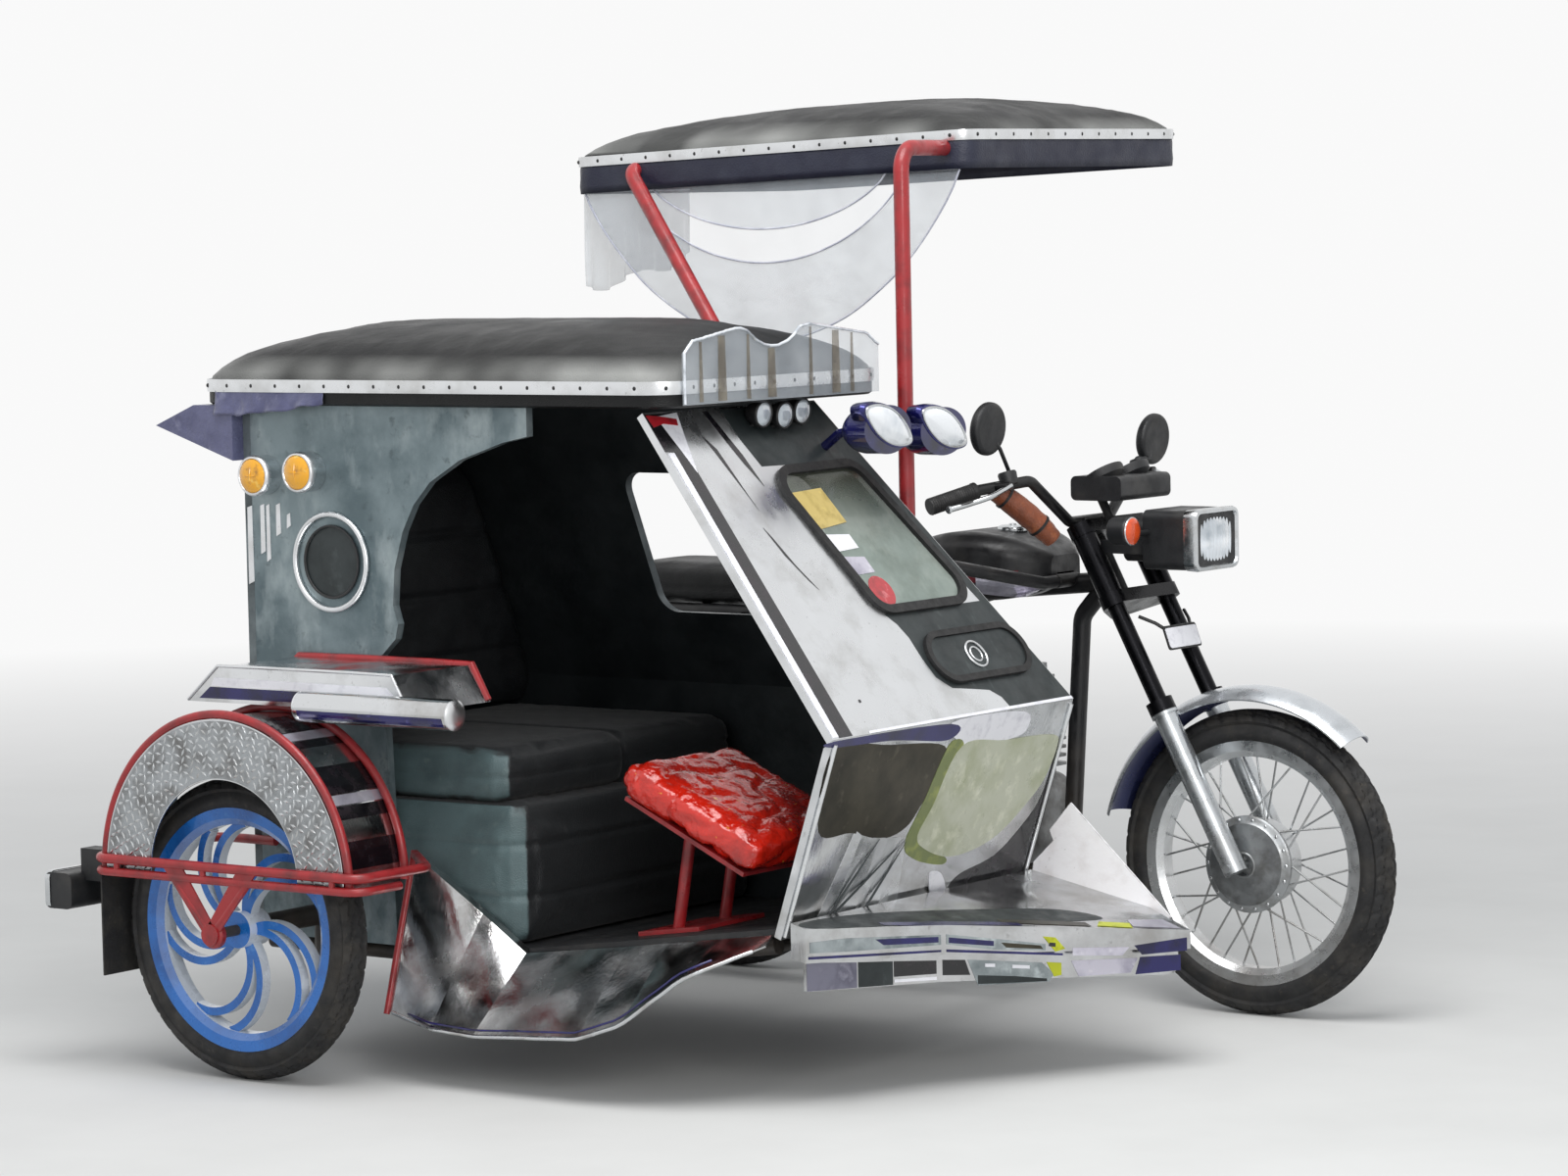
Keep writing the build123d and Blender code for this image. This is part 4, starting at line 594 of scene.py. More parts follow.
def stand(name, mesh_maker, material, body="vehicle_body", smooth=True, slot=None):
    """Make an object from a bmesh, merge its doubles, turn its faces outwards and fix it."""
    mesh = bpy.data.meshes.new(name)
    bmesh.ops.remove_doubles(mesh_maker, verts=mesh_maker.verts, dist=1e-6)
    bmesh.ops.recalc_face_normals(mesh_maker, faces=mesh_maker.faces)
    mesh_maker.to_mesh(mesh)
    mesh_maker.free()
    materials = material if isinstance(material, list) else [material]
    for finish_of in materials:
        mesh.materials.append(finish_of)
    if smooth:
        mesh.shade_smooth()
        mesh.set_sharp_from_angle(angle=math.radians(38))
    piece = bpy.data.objects.new(name, mesh)
    bpy.context.scene.collection.objects.link(piece)
    slot = slot or SLOT_OF[materials[0]]
    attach(piece, body)
    return piece


def loft(loops, caps=True, closed=True, maker=None):
    """Skin a row of loops that have the same number of points."""
    maker = maker or bmesh.new()
    rows = [[maker.verts.new(point) for point in loop] for loop in loops]
    count = len(rows[0])
    for low, high in zip(rows, rows[1:]):
        for i in range(count if closed else count - 1):
            j = (i + 1) % count
            maker.faces.new((low[i], low[j], high[j], high[i]))
    if caps:
        maker.faces.new(rows[0])
        maker.faces.new(rows[-1])
    return maker


def angles(count):
    """Evenly spaced angles round a circle."""
    return [2 * math.pi * k / count for k in range(count)]


def hoop(centre, radius, across, up, count=36):
    """A circle about a point of the frame, in the plane of two directions; the radius is in mm."""
    across, up = Vector(across), Vector(up)
    return [centre + (across * math.cos(a) + up * math.sin(a)) * (radius * MM) for a in angles(count)]


def frames_along(points, closed=False):
    """Points with two cross directions each, turned as little as possible from one to the next."""
    points = [Vector(p) for p in points]
    count = len(points)
    found = []
    normal = None
    for i, point in enumerate(points):
        before = points[(i - 1) % count] if closed or i else point
        after = points[(i + 1) % count] if closed or i < count - 1 else point
        along = (after - before).normalized()
        if normal is None:
            normal = along.orthogonal().normalized()
        normal = (normal - along * normal.dot(along)).normalized()
        found.append((point, normal.copy(), along.cross(normal)))
    return found


def tube(points, radius, sides=12, closed=False, maker=None):
    """A round section along a path; radius may be one value or one for each point."""
    rows = []
    for i, (point, normal, cross) in enumerate(frames_along(points, closed)):
        r = (radius[i] if isinstance(radius, (list, tuple)) else radius) * MM
        rows.append([point + (normal * math.cos(a) + cross * math.sin(a)) * r for a in angles(sides)])
    if closed:
        rows.append(rows[0])
    return loft(rows, caps=not closed, maker=maker)


def turned(centre, axis, profile, segments=32, caps=True):
    """Spin (along, radius) pairs, in millimetres, about an axis through a point of the frame."""
    axis = Vector(axis).normalized()
    normal = axis.orthogonal().normalized()
    cross = axis.cross(normal)
    rows = [hoop(centre + axis * (along * MM), max(radius, 0.01), normal, cross, segments)
            for along, radius in profile]
    return loft(rows, caps=caps)


def rod(name, path, radius, sides, material, body="vehicle_body", slot=None, closed=False):
    """A tube along a path, as a finished piece."""
    return stand(name, tube(path, radius, sides, closed), material, body, slot=slot)


def smooth_path(points, steps=8, closed=False):
    """A smooth line through points of the frame."""
    points = [Vector(p) for p in points]
    count = len(points)
    line = []
    last = count if closed else count - 1
    for i in range(last):
        a = points[(i - 1) % count] if closed or i else points[0]
        b, c = points[i], points[(i + 1) % count]
        d = points[(i + 2) % count] if closed or i + 2 < count else points[-1]
        for k in range(steps):
            t = k / steps
            line.append(0.5 * (2 * b + (c - a) * t + (2 * a - 5 * b + 4 * c - d) * t * t
                               + (3 * b - a - 3 * c + d) * t * t * t))
    if not closed:
        line.append(points[-1])
    return line


def plate(outline, lift, thickness, holes=()):
    """A flat plate from a closed outline; lift(u, v, out) gives a point above the surface."""
    maker = bmesh.new()
    rings = []
    for ring in (outline,) + tuple(holes):
        low = [maker.verts.new(lift(u, v, 0.0)) for u, v in ring]
        high = [maker.verts.new(lift(u, v, thickness)) for u, v in ring]
        for k in range(len(ring)):
            j = (k + 1) % len(ring)
            maker.faces.new((low[k], low[j], high[j], high[k]))
        rings.append((low, high))
    for face in (0, 1):
        edges = []
        for ring in rings:
            verts = ring[face]
            edges += [maker.edges.get((verts[k - 1], verts[k])) for k in range(len(verts))]
        bmesh.ops.triangle_fill(maker, use_beauty=True, use_dissolve=False, edges=edges)
    return maker


def rounded_box_outline(x, y, r, per_corner=8):
    """Closed rounded rectangle between (low, high) pairs, anticlockwise from the lower right."""
    points = []
    for cx, cy, start in ((x[1] - r, y[0] + r, -90), (x[1] - r, y[1] - r, 0),
                          (x[0] + r, y[1] - r, 90), (x[0] + r, y[0] + r, 180)):
        for k in range(per_corner + 1):
            a = math.radians(start + 90 * k / per_corner)
            points.append((cx + r * math.cos(a), cy + r * math.sin(a)))
    return points


def resampled(points, count):
    """The same closed outline with evenly spaced points."""
    points = [Vector(p) for p in points]
    total = sum((points[k] - points[k - 1]).length for k in range(len(points)))
    step, found, walked = total / count, [], 0.0
    for k in range(len(points)):
        a, b = points[k], points[(k + 1) % len(points)]
        run = (b - a).length
        while len(found) < count and len(found) * step <= walked + run + 1e-9:
            t = (len(found) * step - walked) / run if run else 0.0
            found.append(a.lerp(b, min(max(t, 0.0), 1.0)))
        walked += run
    return found


def inset_outline(x, y, inset, radius, count):
    """A rounded rectangle drawn in by an inset, with evenly spaced points."""
    box = rounded_box_outline((x[0] + inset, x[1] - inset), (y[0] + inset, y[1] - inset), radius)
    return resampled(box, count)


def pushed_out(outline, k, push):
    """Point k of an outline, moved outwards in its plane."""
    along = (outline[(k + 1) % len(outline)] - outline[k - 1]).normalized()
    return outline[k].x + along.y * push, outline[k].y - along.x * push


def surface_of(node):
    """A tree for asking where a line meets a CAD part."""
    maker = bmesh.new()
    maker.from_mesh(nodes[node].data)
    tree = BVHTree.FromBMesh(maker)
    maker.free()
    return tree


def meet(tree, start, direction):
    """First (point, normal) where a line from start meets the part, or None."""
    point, normal, *_ = tree.ray_cast(start, Vector(direction).normalized())
    return (point, normal) if point is not None else None


print("shape helpers ready")

# %% [markdown]
# ## Geometry Nodes for what repeats
# A rivet or a screw is one small shape repeated along a path. A Geometry Nodes tree does this well:
# it spaces points evenly on a curve, puts the shape on each, and makes the result real. The tree has
# named inputs, so the same one serves rivets and screws.


# %% A tree that sets fasteners along a path
def fastener_tree():
    tree = bpy.data.node_groups.new("fasteners_on_path", "GeometryNodeTree")
    for name, kind in (("Path", "Geometry"), ("Fastener", "Object"), ("Spacing", "Float"),
                       ("Finish", "Material")):
        tree.interface.new_socket(name, in_out="INPUT", socket_type="NodeSocket" + kind)
    tree.interface.new_socket("Fitted", in_out="OUTPUT", socket_type="NodeSocketGeometry")
    new = tree.nodes.new
    inputs, output = new("NodeGroupInput"), new("NodeGroupOutput")
    to_points = new("GeometryNodeCurveToPoints")
    to_points.mode = "LENGTH"
    info = new("GeometryNodeObjectInfo")
    on_points = new("GeometryNodeInstanceOnPoints")
    real = new("GeometryNodeRealizeInstances")
    dress = new("GeometryNodeSetMaterial")
    for source, name, target, socket in ((inputs, "Path", to_points, "Curve"),
                                         (inputs, "Spacing", to_points, "Length"),
                                         (inputs, "Fastener", info, "Object"),
                                         (to_points, "Points", on_points, "Points"),
                                         (to_points, "Rotation", on_points, "Rotation"),
                                         (info, "Geometry", on_points, "Instance"),
                                         (on_points, "Instances", real, "Geometry"),
                                         (real, "Geometry", dress, "Geometry"),
                                         (inputs, "Finish", dress, "Material"),
                                         (dress, "Geometry", output, "Fitted")):
        tree.links.new(source.outputs[name], target.inputs[socket])
    return tree


FASTENERS = fastener_tree()


def socket_of(tree, name):
    """The identifier of a tree's input, by its name."""
    return next(item.identifier for item in tree.interface.items_tree
                if item.name == name and item.in_out == "INPUT")


def fastener(name, profile, sides=8):
    """A small turned head whose axis is Z, kept out of the render."""
    maker = turned(Vector((0, 0, 0)), (0, 0, 1), profile, sides)
    mesh = bpy.data.meshes.new(name)
    bmesh.ops.recalc_face_normals(maker, faces=maker.faces)
    maker.to_mesh(mesh)
    maker.free()
    mesh.shade_smooth()
    head = bpy.data.objects.new(name, mesh)
    head.hide_render = True
    bpy.context.scene.collection.objects.link(head)
    return head


def on_path(name, points, outward, head, spacing, material, body="vehicle_body", closed=False):
    """Heads every `spacing` mm along a path, each facing `outward` (a direction or a function)."""
    curve = bpy.data.curves.new(name + "_path", "CURVE")
    curve.dimensions = "3D"
    curve.twist_mode = "MINIMUM"
    spline = curve.splines.new("POLY")
    spline.points.add(len(points) - 1)
    for place, point in zip(spline.points, points):
        place.co = (*point, 1.0)
    spline.use_cyclic_u = closed
    line = bpy.data.objects.new(name + "_path", curve)
    bpy.context.scene.collection.objects.link(line)
    change = line.modifiers.new("fasteners", "NODES")
    change.node_group = FASTENERS
    change[socket_of(FASTENERS, "Fastener")] = head
    change[socket_of(FASTENERS, "Spacing")] = spacing * MM
    change[socket_of(FASTENERS, "Finish")] = material
    bpy.context.view_layer.update()
    made = bpy.data.meshes.new_from_object(line.evaluated_get(bpy.context.evaluated_depsgraph_get()))
    bpy.data.objects.remove(line)
    per_head = len(head.data.vertices)
    rest = [v.co.copy() for v in head.data.vertices]
    for k in range(len(made.vertices) // per_head):
        block = made.vertices[k * per_head:(k + 1) * per_head]
        middle = sum((v.co for v in block), Vector()) / per_head
        axis = outward(middle) if callable(outward) else Vector(outward)
        turn = Vector((0, 0, 1)).rotation_difference(axis)
        drop = turn @ (sum(rest, Vector()) / per_head)
        for v, own in zip(block, rest):
            v.co = middle - drop + turn @ own
    piece = bpy.data.objects.new(name, made)
    bpy.context.scene.collection.objects.link(piece)
    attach(piece, body)
    return piece


RIVET = fastener("rivet_head", ((0.0, 4.2), (1.1, 3.9), (2.2, 2.4), (2.6, 0.0)))
SCREW = fastener("screw_head", ((0.0, 6.5), (2.6, 6.5), (3.4, 5.6), (3.4, 3.0), (1.6, 2.6), (1.6, 0.0)), 6)
print("fastener tree ready")

# %% [markdown]
# ## Tyres
# A tyre is rubber moulded in a ring: rounded walls and a crown cut by grooves. Each one is a profile
# spun about the axle, with the grooves pressed in by a rule that repeats round the wheel, so the
# outer size stays that of the CAD tyre.


# %% Tyres with tread
TREAD_MM = 3.6


def tread_depth(around, across, repeat):
    """How deep the tread is at a place, 0 to 1: two wavy ribs and slanting cuts."""
    if abs(across) > 0.93:
        return 0.0
    wave = 0.10 * math.sin(2 * math.pi * around * repeat)
    if abs(across - wave) < 0.07 or abs(abs(across) - 0.52 - wave * 0.5) < 0.06:
        return 1.0
    cut = (around * repeat + (0.35 if across > 0 else 0.85) + 0.5 * abs(across)) % 1.0
    return 1.0 if cut < 0.17 and 0.2 < abs(across) else 0.0


def tyre(name, node, body, lip, width, repeat, segments):
    """A treaded tyre from its lip's radius and its width, in mm; the tread repeats round the wheel."""
    low, high = corners_of(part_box(node))
    centre = (low + high) / 2
    outer = (high.z - low.z) / 2 / MM
    wall = outer - lip
    half = width / 2
    profile = [(lip - 9, -22.8)]
    shoulder = 0.36 * wall
    for k in range(7):
        a = math.radians(-8 + 70 * k / 6)
        bulge = 0.8 + 0.2 * math.sin(math.pi * k / 6)
        profile.append((lip + shoulder - shoulder * math.cos(a) + 0.34 * wall * k / 6, -half * bulge))
    crown, crown_turn = 26, math.radians(64)
    for k in range(crown + 1):
        a = (-1 + 2 * k / crown) * crown_turn
        drop = shoulder * (1 - math.cos(a)) / (1 - math.cos(crown_turn))
        profile.append((outer - drop, half * 0.9 * math.sin(a) / math.sin(crown_turn)))
    profile += [(r, -y) for r, y in reversed(profile[:8])]
    first, last = 8, 8 + crown
    rows = []
    for s, angle in enumerate(angles(segments)):
        row = []
        for k, (r, y) in enumerate(profile):
            if first <= k <= last:
                across = -1 + 2 * (k - first) / crown
                r -= TREAD_MM * tread_depth(s / segments, across, repeat)
            row.append(centre + Vector((r * math.cos(angle), y, r * math.sin(angle))) * MM)
        rows.append(row)
    piece = stand(name, loft(rows + rows[:1], caps=False), tyre_rubber, body)
    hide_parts(node)
    return piece


treads = [tyre(word + "_tyre_tread", word + "_tyre", word + "_wheel_body", lip, width, repeat, 8 * repeat)
          for word, lip, width, repeat in (("front", 239, 70, 48), ("rear", 226, 80, 44),
                                           ("sidecar", 226, 68, 44))]
print("tyres:", [len(tread.data.polygons) for tread in treads], "faces")

# %% [markdown]
# ## Soft goods
# The seats, the saddle and the red cushion are vinyl over foam. Foam is modelled by starting a
# little small, remeshing to even faces and letting Blender's Cloth blow the cover up for twenty
# frames; a cap keeps it within the space that the seat has. Seams are then pressed in where they
# were sewn. The two roofs are pulled tight over their foam, so they are lofted.


# %% Helper that stuffs a cover
COVER_PRESSURE, COVER_GRID, COVER_FRAMES = 4.0, 0.006, 20


def stuffed(piece, cap):
    """Blow a closed cover up, but move no point more than cap metres from where it was."""
    remesh = piece.modifiers.new("even", "REMESH")
    remesh.mode = "VOXEL"
    remesh.voxel_size = COVER_GRID
    bpy.context.view_layer.update()
    even = bpy.data.meshes.new_from_object(piece.evaluated_get(bpy.context.evaluated_depsgraph_get()))
    piece.modifiers.clear()
    finishes = list(piece.data.materials)
    piece.data = even
    even.materials.clear()
    for material in finishes:
        even.materials.append(material)
    start = [v.co.copy() for v in even.vertices]
    cloth = piece.modifiers.new("cover", "CLOTH")
    cloth.settings.use_pressure = True
    cloth.settings.uniform_pressure_force = COVER_PRESSURE
    cloth.settings.effector_weights.gravity = 0.0
    cloth.settings.quality = 4
    scene = bpy.context.scene
    for step in range(1, COVER_FRAMES + 1):
        scene.frame_set(step)
    blown = piece.evaluated_get(bpy.context.evaluated_depsgraph_get()).data
    moved = [v.co.copy() for v in blown.vertices]
    piece.modifiers.clear()
    scene.frame_set(1)
    for vertex, a, b in zip(even.vertices, start, moved):
        step = b - a
        if step.length > cap:
            step = step.normalized() * cap
        vertex.co = a + step
    even.shade_smooth()
    return piece


def pressed(piece, depth_at):
    """Move points inwards along their normals by a depth, in mm, that depends on place."""
    mesh = piece.data
    normals = [v.normal.copy() for v in mesh.vertices]
    for vertex, normal in zip(mesh.vertices, normals):
        vertex.co -= normal * depth_at(drawing(vertex.co), normal) * MM
    mesh.update()
    return piece


def groove(distance, width, depth):
    """A sewn seam: deepest on its line, gone at its width."""
    t = min(abs(distance) / width, 1.0)
    return depth * (1 - t) ** 2 * (1 + 2 * t)


print("stuffing helper ready")

# %% [markdown]
# ### The rider's roof
# A sheet of plywood, foam on top and black vinyl pulled over it and stapled under a metal strip.
# The dome is a row of shrinking rounded outlines, lifted along a curve that rises fast at the rim
# and flattens on top. The whole roof tips up 2 degrees towards the front.

# %% Rider's roof
ROOF_X, ROOF_Y, ROOF_EDGE = (-1330.0, -372.0), (-420.0, 350.0), 1692.0
TIP = math.tan(math.radians(2.0))
ROOF_CORNER, ROOF_POINTS, PUCKER_MM = 40, 160, 4.8


def tipped(x, y, z):
    """A point of the rider's roof, with z as at the roof's middle."""
    return at(x, y, z + (x - sum(ROOF_X) / 2) * TIP)


def dome_loops(x, y, corner, base, height, place, count):
    """Shrinking outlines of a padded roof, from the rim to the ridge."""
    steps = 16
    deepest = min(x[1] - x[0], y[1] - y[0]) / 2 - 2
    loops = []
    for k in range(steps + 1):
        t = (k / steps) ** 1.5
        inset = t * deepest
        radius = max(min(corner + 0.9 * inset, deepest - inset + 2), 1.9)
        rise = height * (1 - (1 - t) ** 2.6) ** (1 / 1.75)
        loop = []
        for point in inset_outline(x, y, inset, radius, count):
            pull = noise.noise(Vector((point.x * 0.02, point.y * 0.02, 3.1)))
            loop.append(place(point.x, point.y, base + rise + pull * PUCKER_MM * (1 - t) * min(t * 8, 1)))
        loops.append(loop)
    return loops


under = inset_outline(ROOF_X, ROOF_Y, 3, ROOF_CORNER, ROOF_POINTS)
loops = [[tipped(p.x, p.y, ROOF_EDGE + 0.4) for p in under]]
loops += dome_loops(ROOF_X, ROOF_Y, ROOF_CORNER, ROOF_EDGE + 6, 90, tipped, ROOF_POINTS)
rider_roof = stand("rider_roof_cover", loft(loops), rider_vinyl, slot="black_vinyl")
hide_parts("canopy_top")

edge_line = inset_outline(ROOF_X, ROOF_Y, 0, ROOF_CORNER, 220)
skirt_loops = []
for depth, out in ((0.0, -1.0), (-14.0, 0.5), (-30.0, 0.0), (-46.0, 1.0), (-61.0, -0.5)):
    row = []
    for k, point in enumerate(edge_line):
        ripple = out + 1.6 * noise.noise(Vector((point.x * 0.012, point.y * 0.012, depth * 0.01)))
        row.append(tipped(*pushed_out(edge_line, k, ripple), ROOF_EDGE + 4 + depth))
    skirt_loops.append(row)
rider_skirt = stand("rider_roof_skirt", loft(skirt_loops, caps=False), navy_vinyl, slot="black_vinyl")
rider_skirt.modifiers.new("vinyl", "SOLIDIFY").thickness = 0.002
print("rider's roof:", len(rider_roof.data.polygons), "faces")

# %% [markdown]
# ### Riveted trim
# A bright strip hides the staples, and black rivets hold it. The strip is a flat section along the
# rim; the rivets come from the Geometry Nodes tree.

# %% Trim strips and rivets
def band(outline, place, low, high, out):
    """A flat strip standing on a closed outline, between two heights."""
    section = ((low, 0.0), (low - 1.0, out), ((low + high) / 2, out + 1.2), (high + 1.0, out), (high, 0.0))
    loops = [[place(*pushed_out(outline, k, push), z) for k in range(len(outline))] for z, push in section]
    return loft(loops + loops[:1], caps=False)


def outward_of(x, y):
    """Direction away from a roof's middle line, for rivets on its rim."""
    def away(point):
        p = drawing(point)
        dx, dy = (p.x - sum(x) / 2) / (x[1] - x[0]), (p.y - sum(y) / 2) / (y[1] - y[0])
        if abs(dx) > abs(dy):
            return Vector((math.copysign(1, dx), 0, 0))
        return Vector((0, math.copysign(1, dy), 0))
    return away


RIVET_STEP = 62
stand("rider_roof_trim", band(edge_line, tipped, ROOF_EDGE - 2, ROOF_EDGE + 16, 2.5), bright_steel)
rim_line = inset_outline(ROOF_X, ROOF_Y, -3.6, ROOF_CORNER + 2, 260)
on_path("rider_roof_rivets", [tipped(p.x, p.y, ROOF_EDGE + 7) for p in rim_line], outward_of(ROOF_X, ROOF_Y),
        RIVET, RIVET_STEP, rubber, closed=True)
print("rider's trim done")

# %% [markdown]
# ### The sidecar's roof
# The same padding over the passenger, with a dark band below the trim and a ceiling that is
# hollowed for the passenger's head. The loops start on the ceiling, go out under the rim, up the
# dark band and over the dome, so that one closed skin makes the whole roof.

# %% Sidecar roof
CAR_X, CAR_Y = (-1561.0, -428.0), (-1300.0, -615.0)
CAR_LOW, CAR_TRIM, CAR_TOP, CAR_CORNER = 1233.3, 1265.0, 1385.0, 70
CAR_POINTS = 176
ceiling = inset_outline((-1430, -560), (-1240, -800), 0, 30, CAR_POINTS)
lower_rim = inset_outline(CAR_X, CAR_Y, 8, CAR_CORNER - 8, CAR_POINTS)
dark_band = inset_outline(CAR_X, CAR_Y, 2, CAR_CORNER - 2, CAR_POINTS)
loops = [[at(p.x, p.y, z) for p in outline] for outline, z in
         ((ceiling, CAR_LOW + 92), (ceiling, CAR_LOW + 30), (ceiling, CAR_LOW + 1), (lower_rim, CAR_LOW),
          (dark_band, CAR_LOW + 4), (dark_band, CAR_TRIM - 2))]
loops += dome_loops(CAR_X, CAR_Y, CAR_CORNER, CAR_TRIM + 4, CAR_TOP - CAR_TRIM - 4, at, CAR_POINTS)
car_roof = stand("sidecar_roof_cover", loft(loops), car_vinyl, slot="black_vinyl")
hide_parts("sidecar_roof")
car_edge = inset_outline(CAR_X, CAR_Y, 0, CAR_CORNER, 240)
stand("sidecar_roof_trim", band(car_edge, at, CAR_TRIM - 6, CAR_TRIM + 16, 2.0), bright_steel)
car_rim = inset_outline(CAR_X, CAR_Y, -3.2, CAR_CORNER + 2, 300)
on_path("sidecar_roof_rivets", [at(p.x, p.y, CAR_TRIM + 5) for p in car_rim], outward_of(CAR_X, CAR_Y), RIVET,
        RIVET_STEP, rubber, closed=True)
print("sidecar roof:", len(car_roof.data.polygons), "faces")

# %% [markdown]
# At the roof's rear outer corner the visor's vinyl is turned round and hangs below the trim as a
# short flap. Its folds are broad, and its lower edge is uneven.

# %% Corner flap
FLAP_LONG, FLAP_DROP = 272, 46
columns = []
for i in range(57):
    t = i / 56
    drop = FLAP_DROP * (1 - 0.5 * t ** 2) + 5 * noise.noise(Vector((i * 0.12, 0.0, 4.0)))
    column = []
    for fall in (j / 10 for j in range(11)):
        fold = 7.5 * fall * abs(math.sin(i * 0.21 + fall))
        fold += 2.0 * noise.noise(Vector((i * 0.3, fall * 2, 1.0)))
        push = max((3.0 + fold) * (0.25 + 0.75 * fall), 0.6)
        column.append(at(CAR_X[0] + 58 + FLAP_LONG * t, CAR_Y[0] - push, CAR_TRIM - 4 - drop * fall))
    columns.append(column)
flap = stand("roof_corner_flap", loft(columns, caps=False, closed=False), visor_vinyl, slot="black_vinyl")
flap.modifiers.new("vinyl", "SOLIDIFY").thickness = 0.0014
print("corner flap:", len(flap.data.polygons), "faces")

# %% [markdown]
# ### Seats
# The bench is a box of foam in grey vinyl with a rolled front edge. Covers pull in along their
# seams, so the seams are pressed in after the stuffing.


# %% Bench, back rest and base
def pad_loops(x, y, z, edge_radius):
    """Outlines of a block of foam that bulges in the middle of every side."""
    rows, count = 14, 72
    loops = []
    for k in range(rows + 1):
        t = k / rows
        lift = z[0] + (z[1] - z[0]) * t
        bulge = math.sin(math.pi * t) ** 0.35 if 0 < t < 1 else 0.0
        inset = edge_radius * (1 - bulge)
        outline = inset_outline(x, y, inset, max(edge_radius - inset, 0) + 16, count)
        loops.append([(p.x, p.y, lift) for p in outline])
    return loops


def pad(name, x, y, z, edge_radius, material, slot, cap=0.008, place=at):
    """A stuffed block of foam between (low, high) pairs of the drawing."""
    maker = loft([[place(*p) for p in row] for row in pad_loops(x, y, z, edge_radius)])
    bmesh.ops.triangulate(maker, faces=[f for f in maker.faces if len(f.verts) > 4])
    return stuffed(stand(name, maker, material, slot=slot), cap)


cushion = pad("bench_cushion", (-1440, -856), (-1246, -524), (504, 594), 24, grey_vinyl, "grey_vinyl")
pressed(cushion, lambda p, n: max(groove(p.y + 885, 14, 5), groove(p.z - 548, 8, 4)))
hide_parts("seat_cushion")
back_rest = pad("bench_back", (-1440, -1350), (-1246, -620), (604, 1092), 22, charcoal_vinyl, "grey_vinyl")


WALL_Y, WALL_LEAN, KNEE_Z = -524.0, 0.44, 655.0
BACK_OUTER, BACK_INNER = -1246, -620


def lean_in(piece):
    """The back rest follows the wall, which leans in above the knee."""
    for vertex in piece.data.vertices:
        p = drawing(vertex.co)
        wall = WALL_Y - WALL_LEAN * max(p.z - KNEE_Z, 0.0)
        t = (p.y - BACK_OUTER) / (BACK_INNER - BACK_OUTER)
        vertex.co = at(p.x, BACK_OUTER + t * (wall - BACK_OUTER), p.z)


lean_in(back_rest)
pressed(back_rest, lambda p, n: max(groove(p.z - k, 12, 6) for k in (720, 840, 960)))
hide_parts("seat_back")
base_cover = pad("bench_base", (-1440, -826), (-1248, -522), (242, 499), 12, grey_vinyl, "grey_vinyl",
                 cap=0.004)
pressed(base_cover, lambda p, n: max(groove(p.z - k, 9, 5) for k in (330, 425)) if p.y <= -560 else 0)
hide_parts("seat_base")
print("bench:", len(cushion.data.polygons), "faces")

# %% [markdown]
# The saddle is a long foam block under black vinyl. It is a loft of upright sections along the
# motorcycle: narrow at the tank, wide for the pillion, with a small step between the two places.

# %% Saddle
# x, half width, height of the top
SADDLE_STATIONS = ((-802, 70, 838), (-830, 92, 834), (-900, 108, 826), (-1000, 114, 830), (-1120, 116, 842),
                   (-1180, 117, 849), (-1300, 117, 850), (-1420, 114, 850), (-1466, 104, 842),
                   (-1482, 84, 826))
SADDLE_LOW = 770.0
loops = []
for x, half, top in SADDLE_STATIONS:
    row = []
    for a in angles(40):
        c, s = math.cos(a), math.sin(a)
        y = half * math.copysign(abs(c) ** 0.45, c)
        z = (top + SADDLE_LOW) / 2 + (top - SADDLE_LOW) / 2 * math.copysign(abs(s) ** 0.5, s)
        row.append(at(x, y, z))
    loops.append(row)
maker = loft(loops)
bmesh.ops.triangulate(maker, faces=[f for f in maker.faces if len(f.verts) > 4])
saddle = stuffed(stand("saddle_cover", maker, black_vinyl, slot="black_vinyl"), 0.005)
pressed(saddle, lambda p, n: max(groove(p.x + 1150, 16, 5) if n.z > 0 else 0, groove(p.z - 800, 6, 3)))
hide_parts("saddle")
print("saddle:", len(saddle.data.polygons), "faces")

# %% [markdown]
# The red folding seat's cushion is glossy, thin and creased all over. It tilts 25 degrees with its
# frame. The creases are a sum of folded noise, pressed in after the stuffing.

# %% Red cushion
TILT = Matrix.Rotation(math.radians(25.0), 4, "Y")
RED_AT = Vector((-450.0, -1080.0, 500.0))


def red_place(x, y, z):
    """A point of the cushion, from its own middle and level, as a point of the frame."""
    return at(*(TILT @ Vector((x, y, z)) + RED_AT))


red_cushion = pad("red_cushion", (-170, 170), (-170, 170), (-31, 31), 20, red_vinyl, "red_vinyl", 0.007,
                  red_place)


def crease(p, _):
    """Depth of the creases at a place of the drawing."""
    ridge = abs(noise.noise(Vector((p.x * 0.014, p.y * 0.009, p.z * 0.014))))
    fine = abs(noise.noise(Vector((p.x * 0.035, p.y * 0.02, p.z * 0.03 + 5))))
    return 6 * max(0.25 - ridge, 0) * 4 + 2.5 * max(0.2 - fine, 0) * 4


pressed(red_cushion, crease)
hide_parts("jump_cushion")
print("red cushion:", len(red_cushion.data.polygons), "faces")

# %% [markdown]
# ### Rain curtain
# A clear plastic sheet hangs from the near edge of the rider's roof in a swag. It is a grid that
# follows the swag's arc below and the roof's edge above, with soft folds that grow downwards.

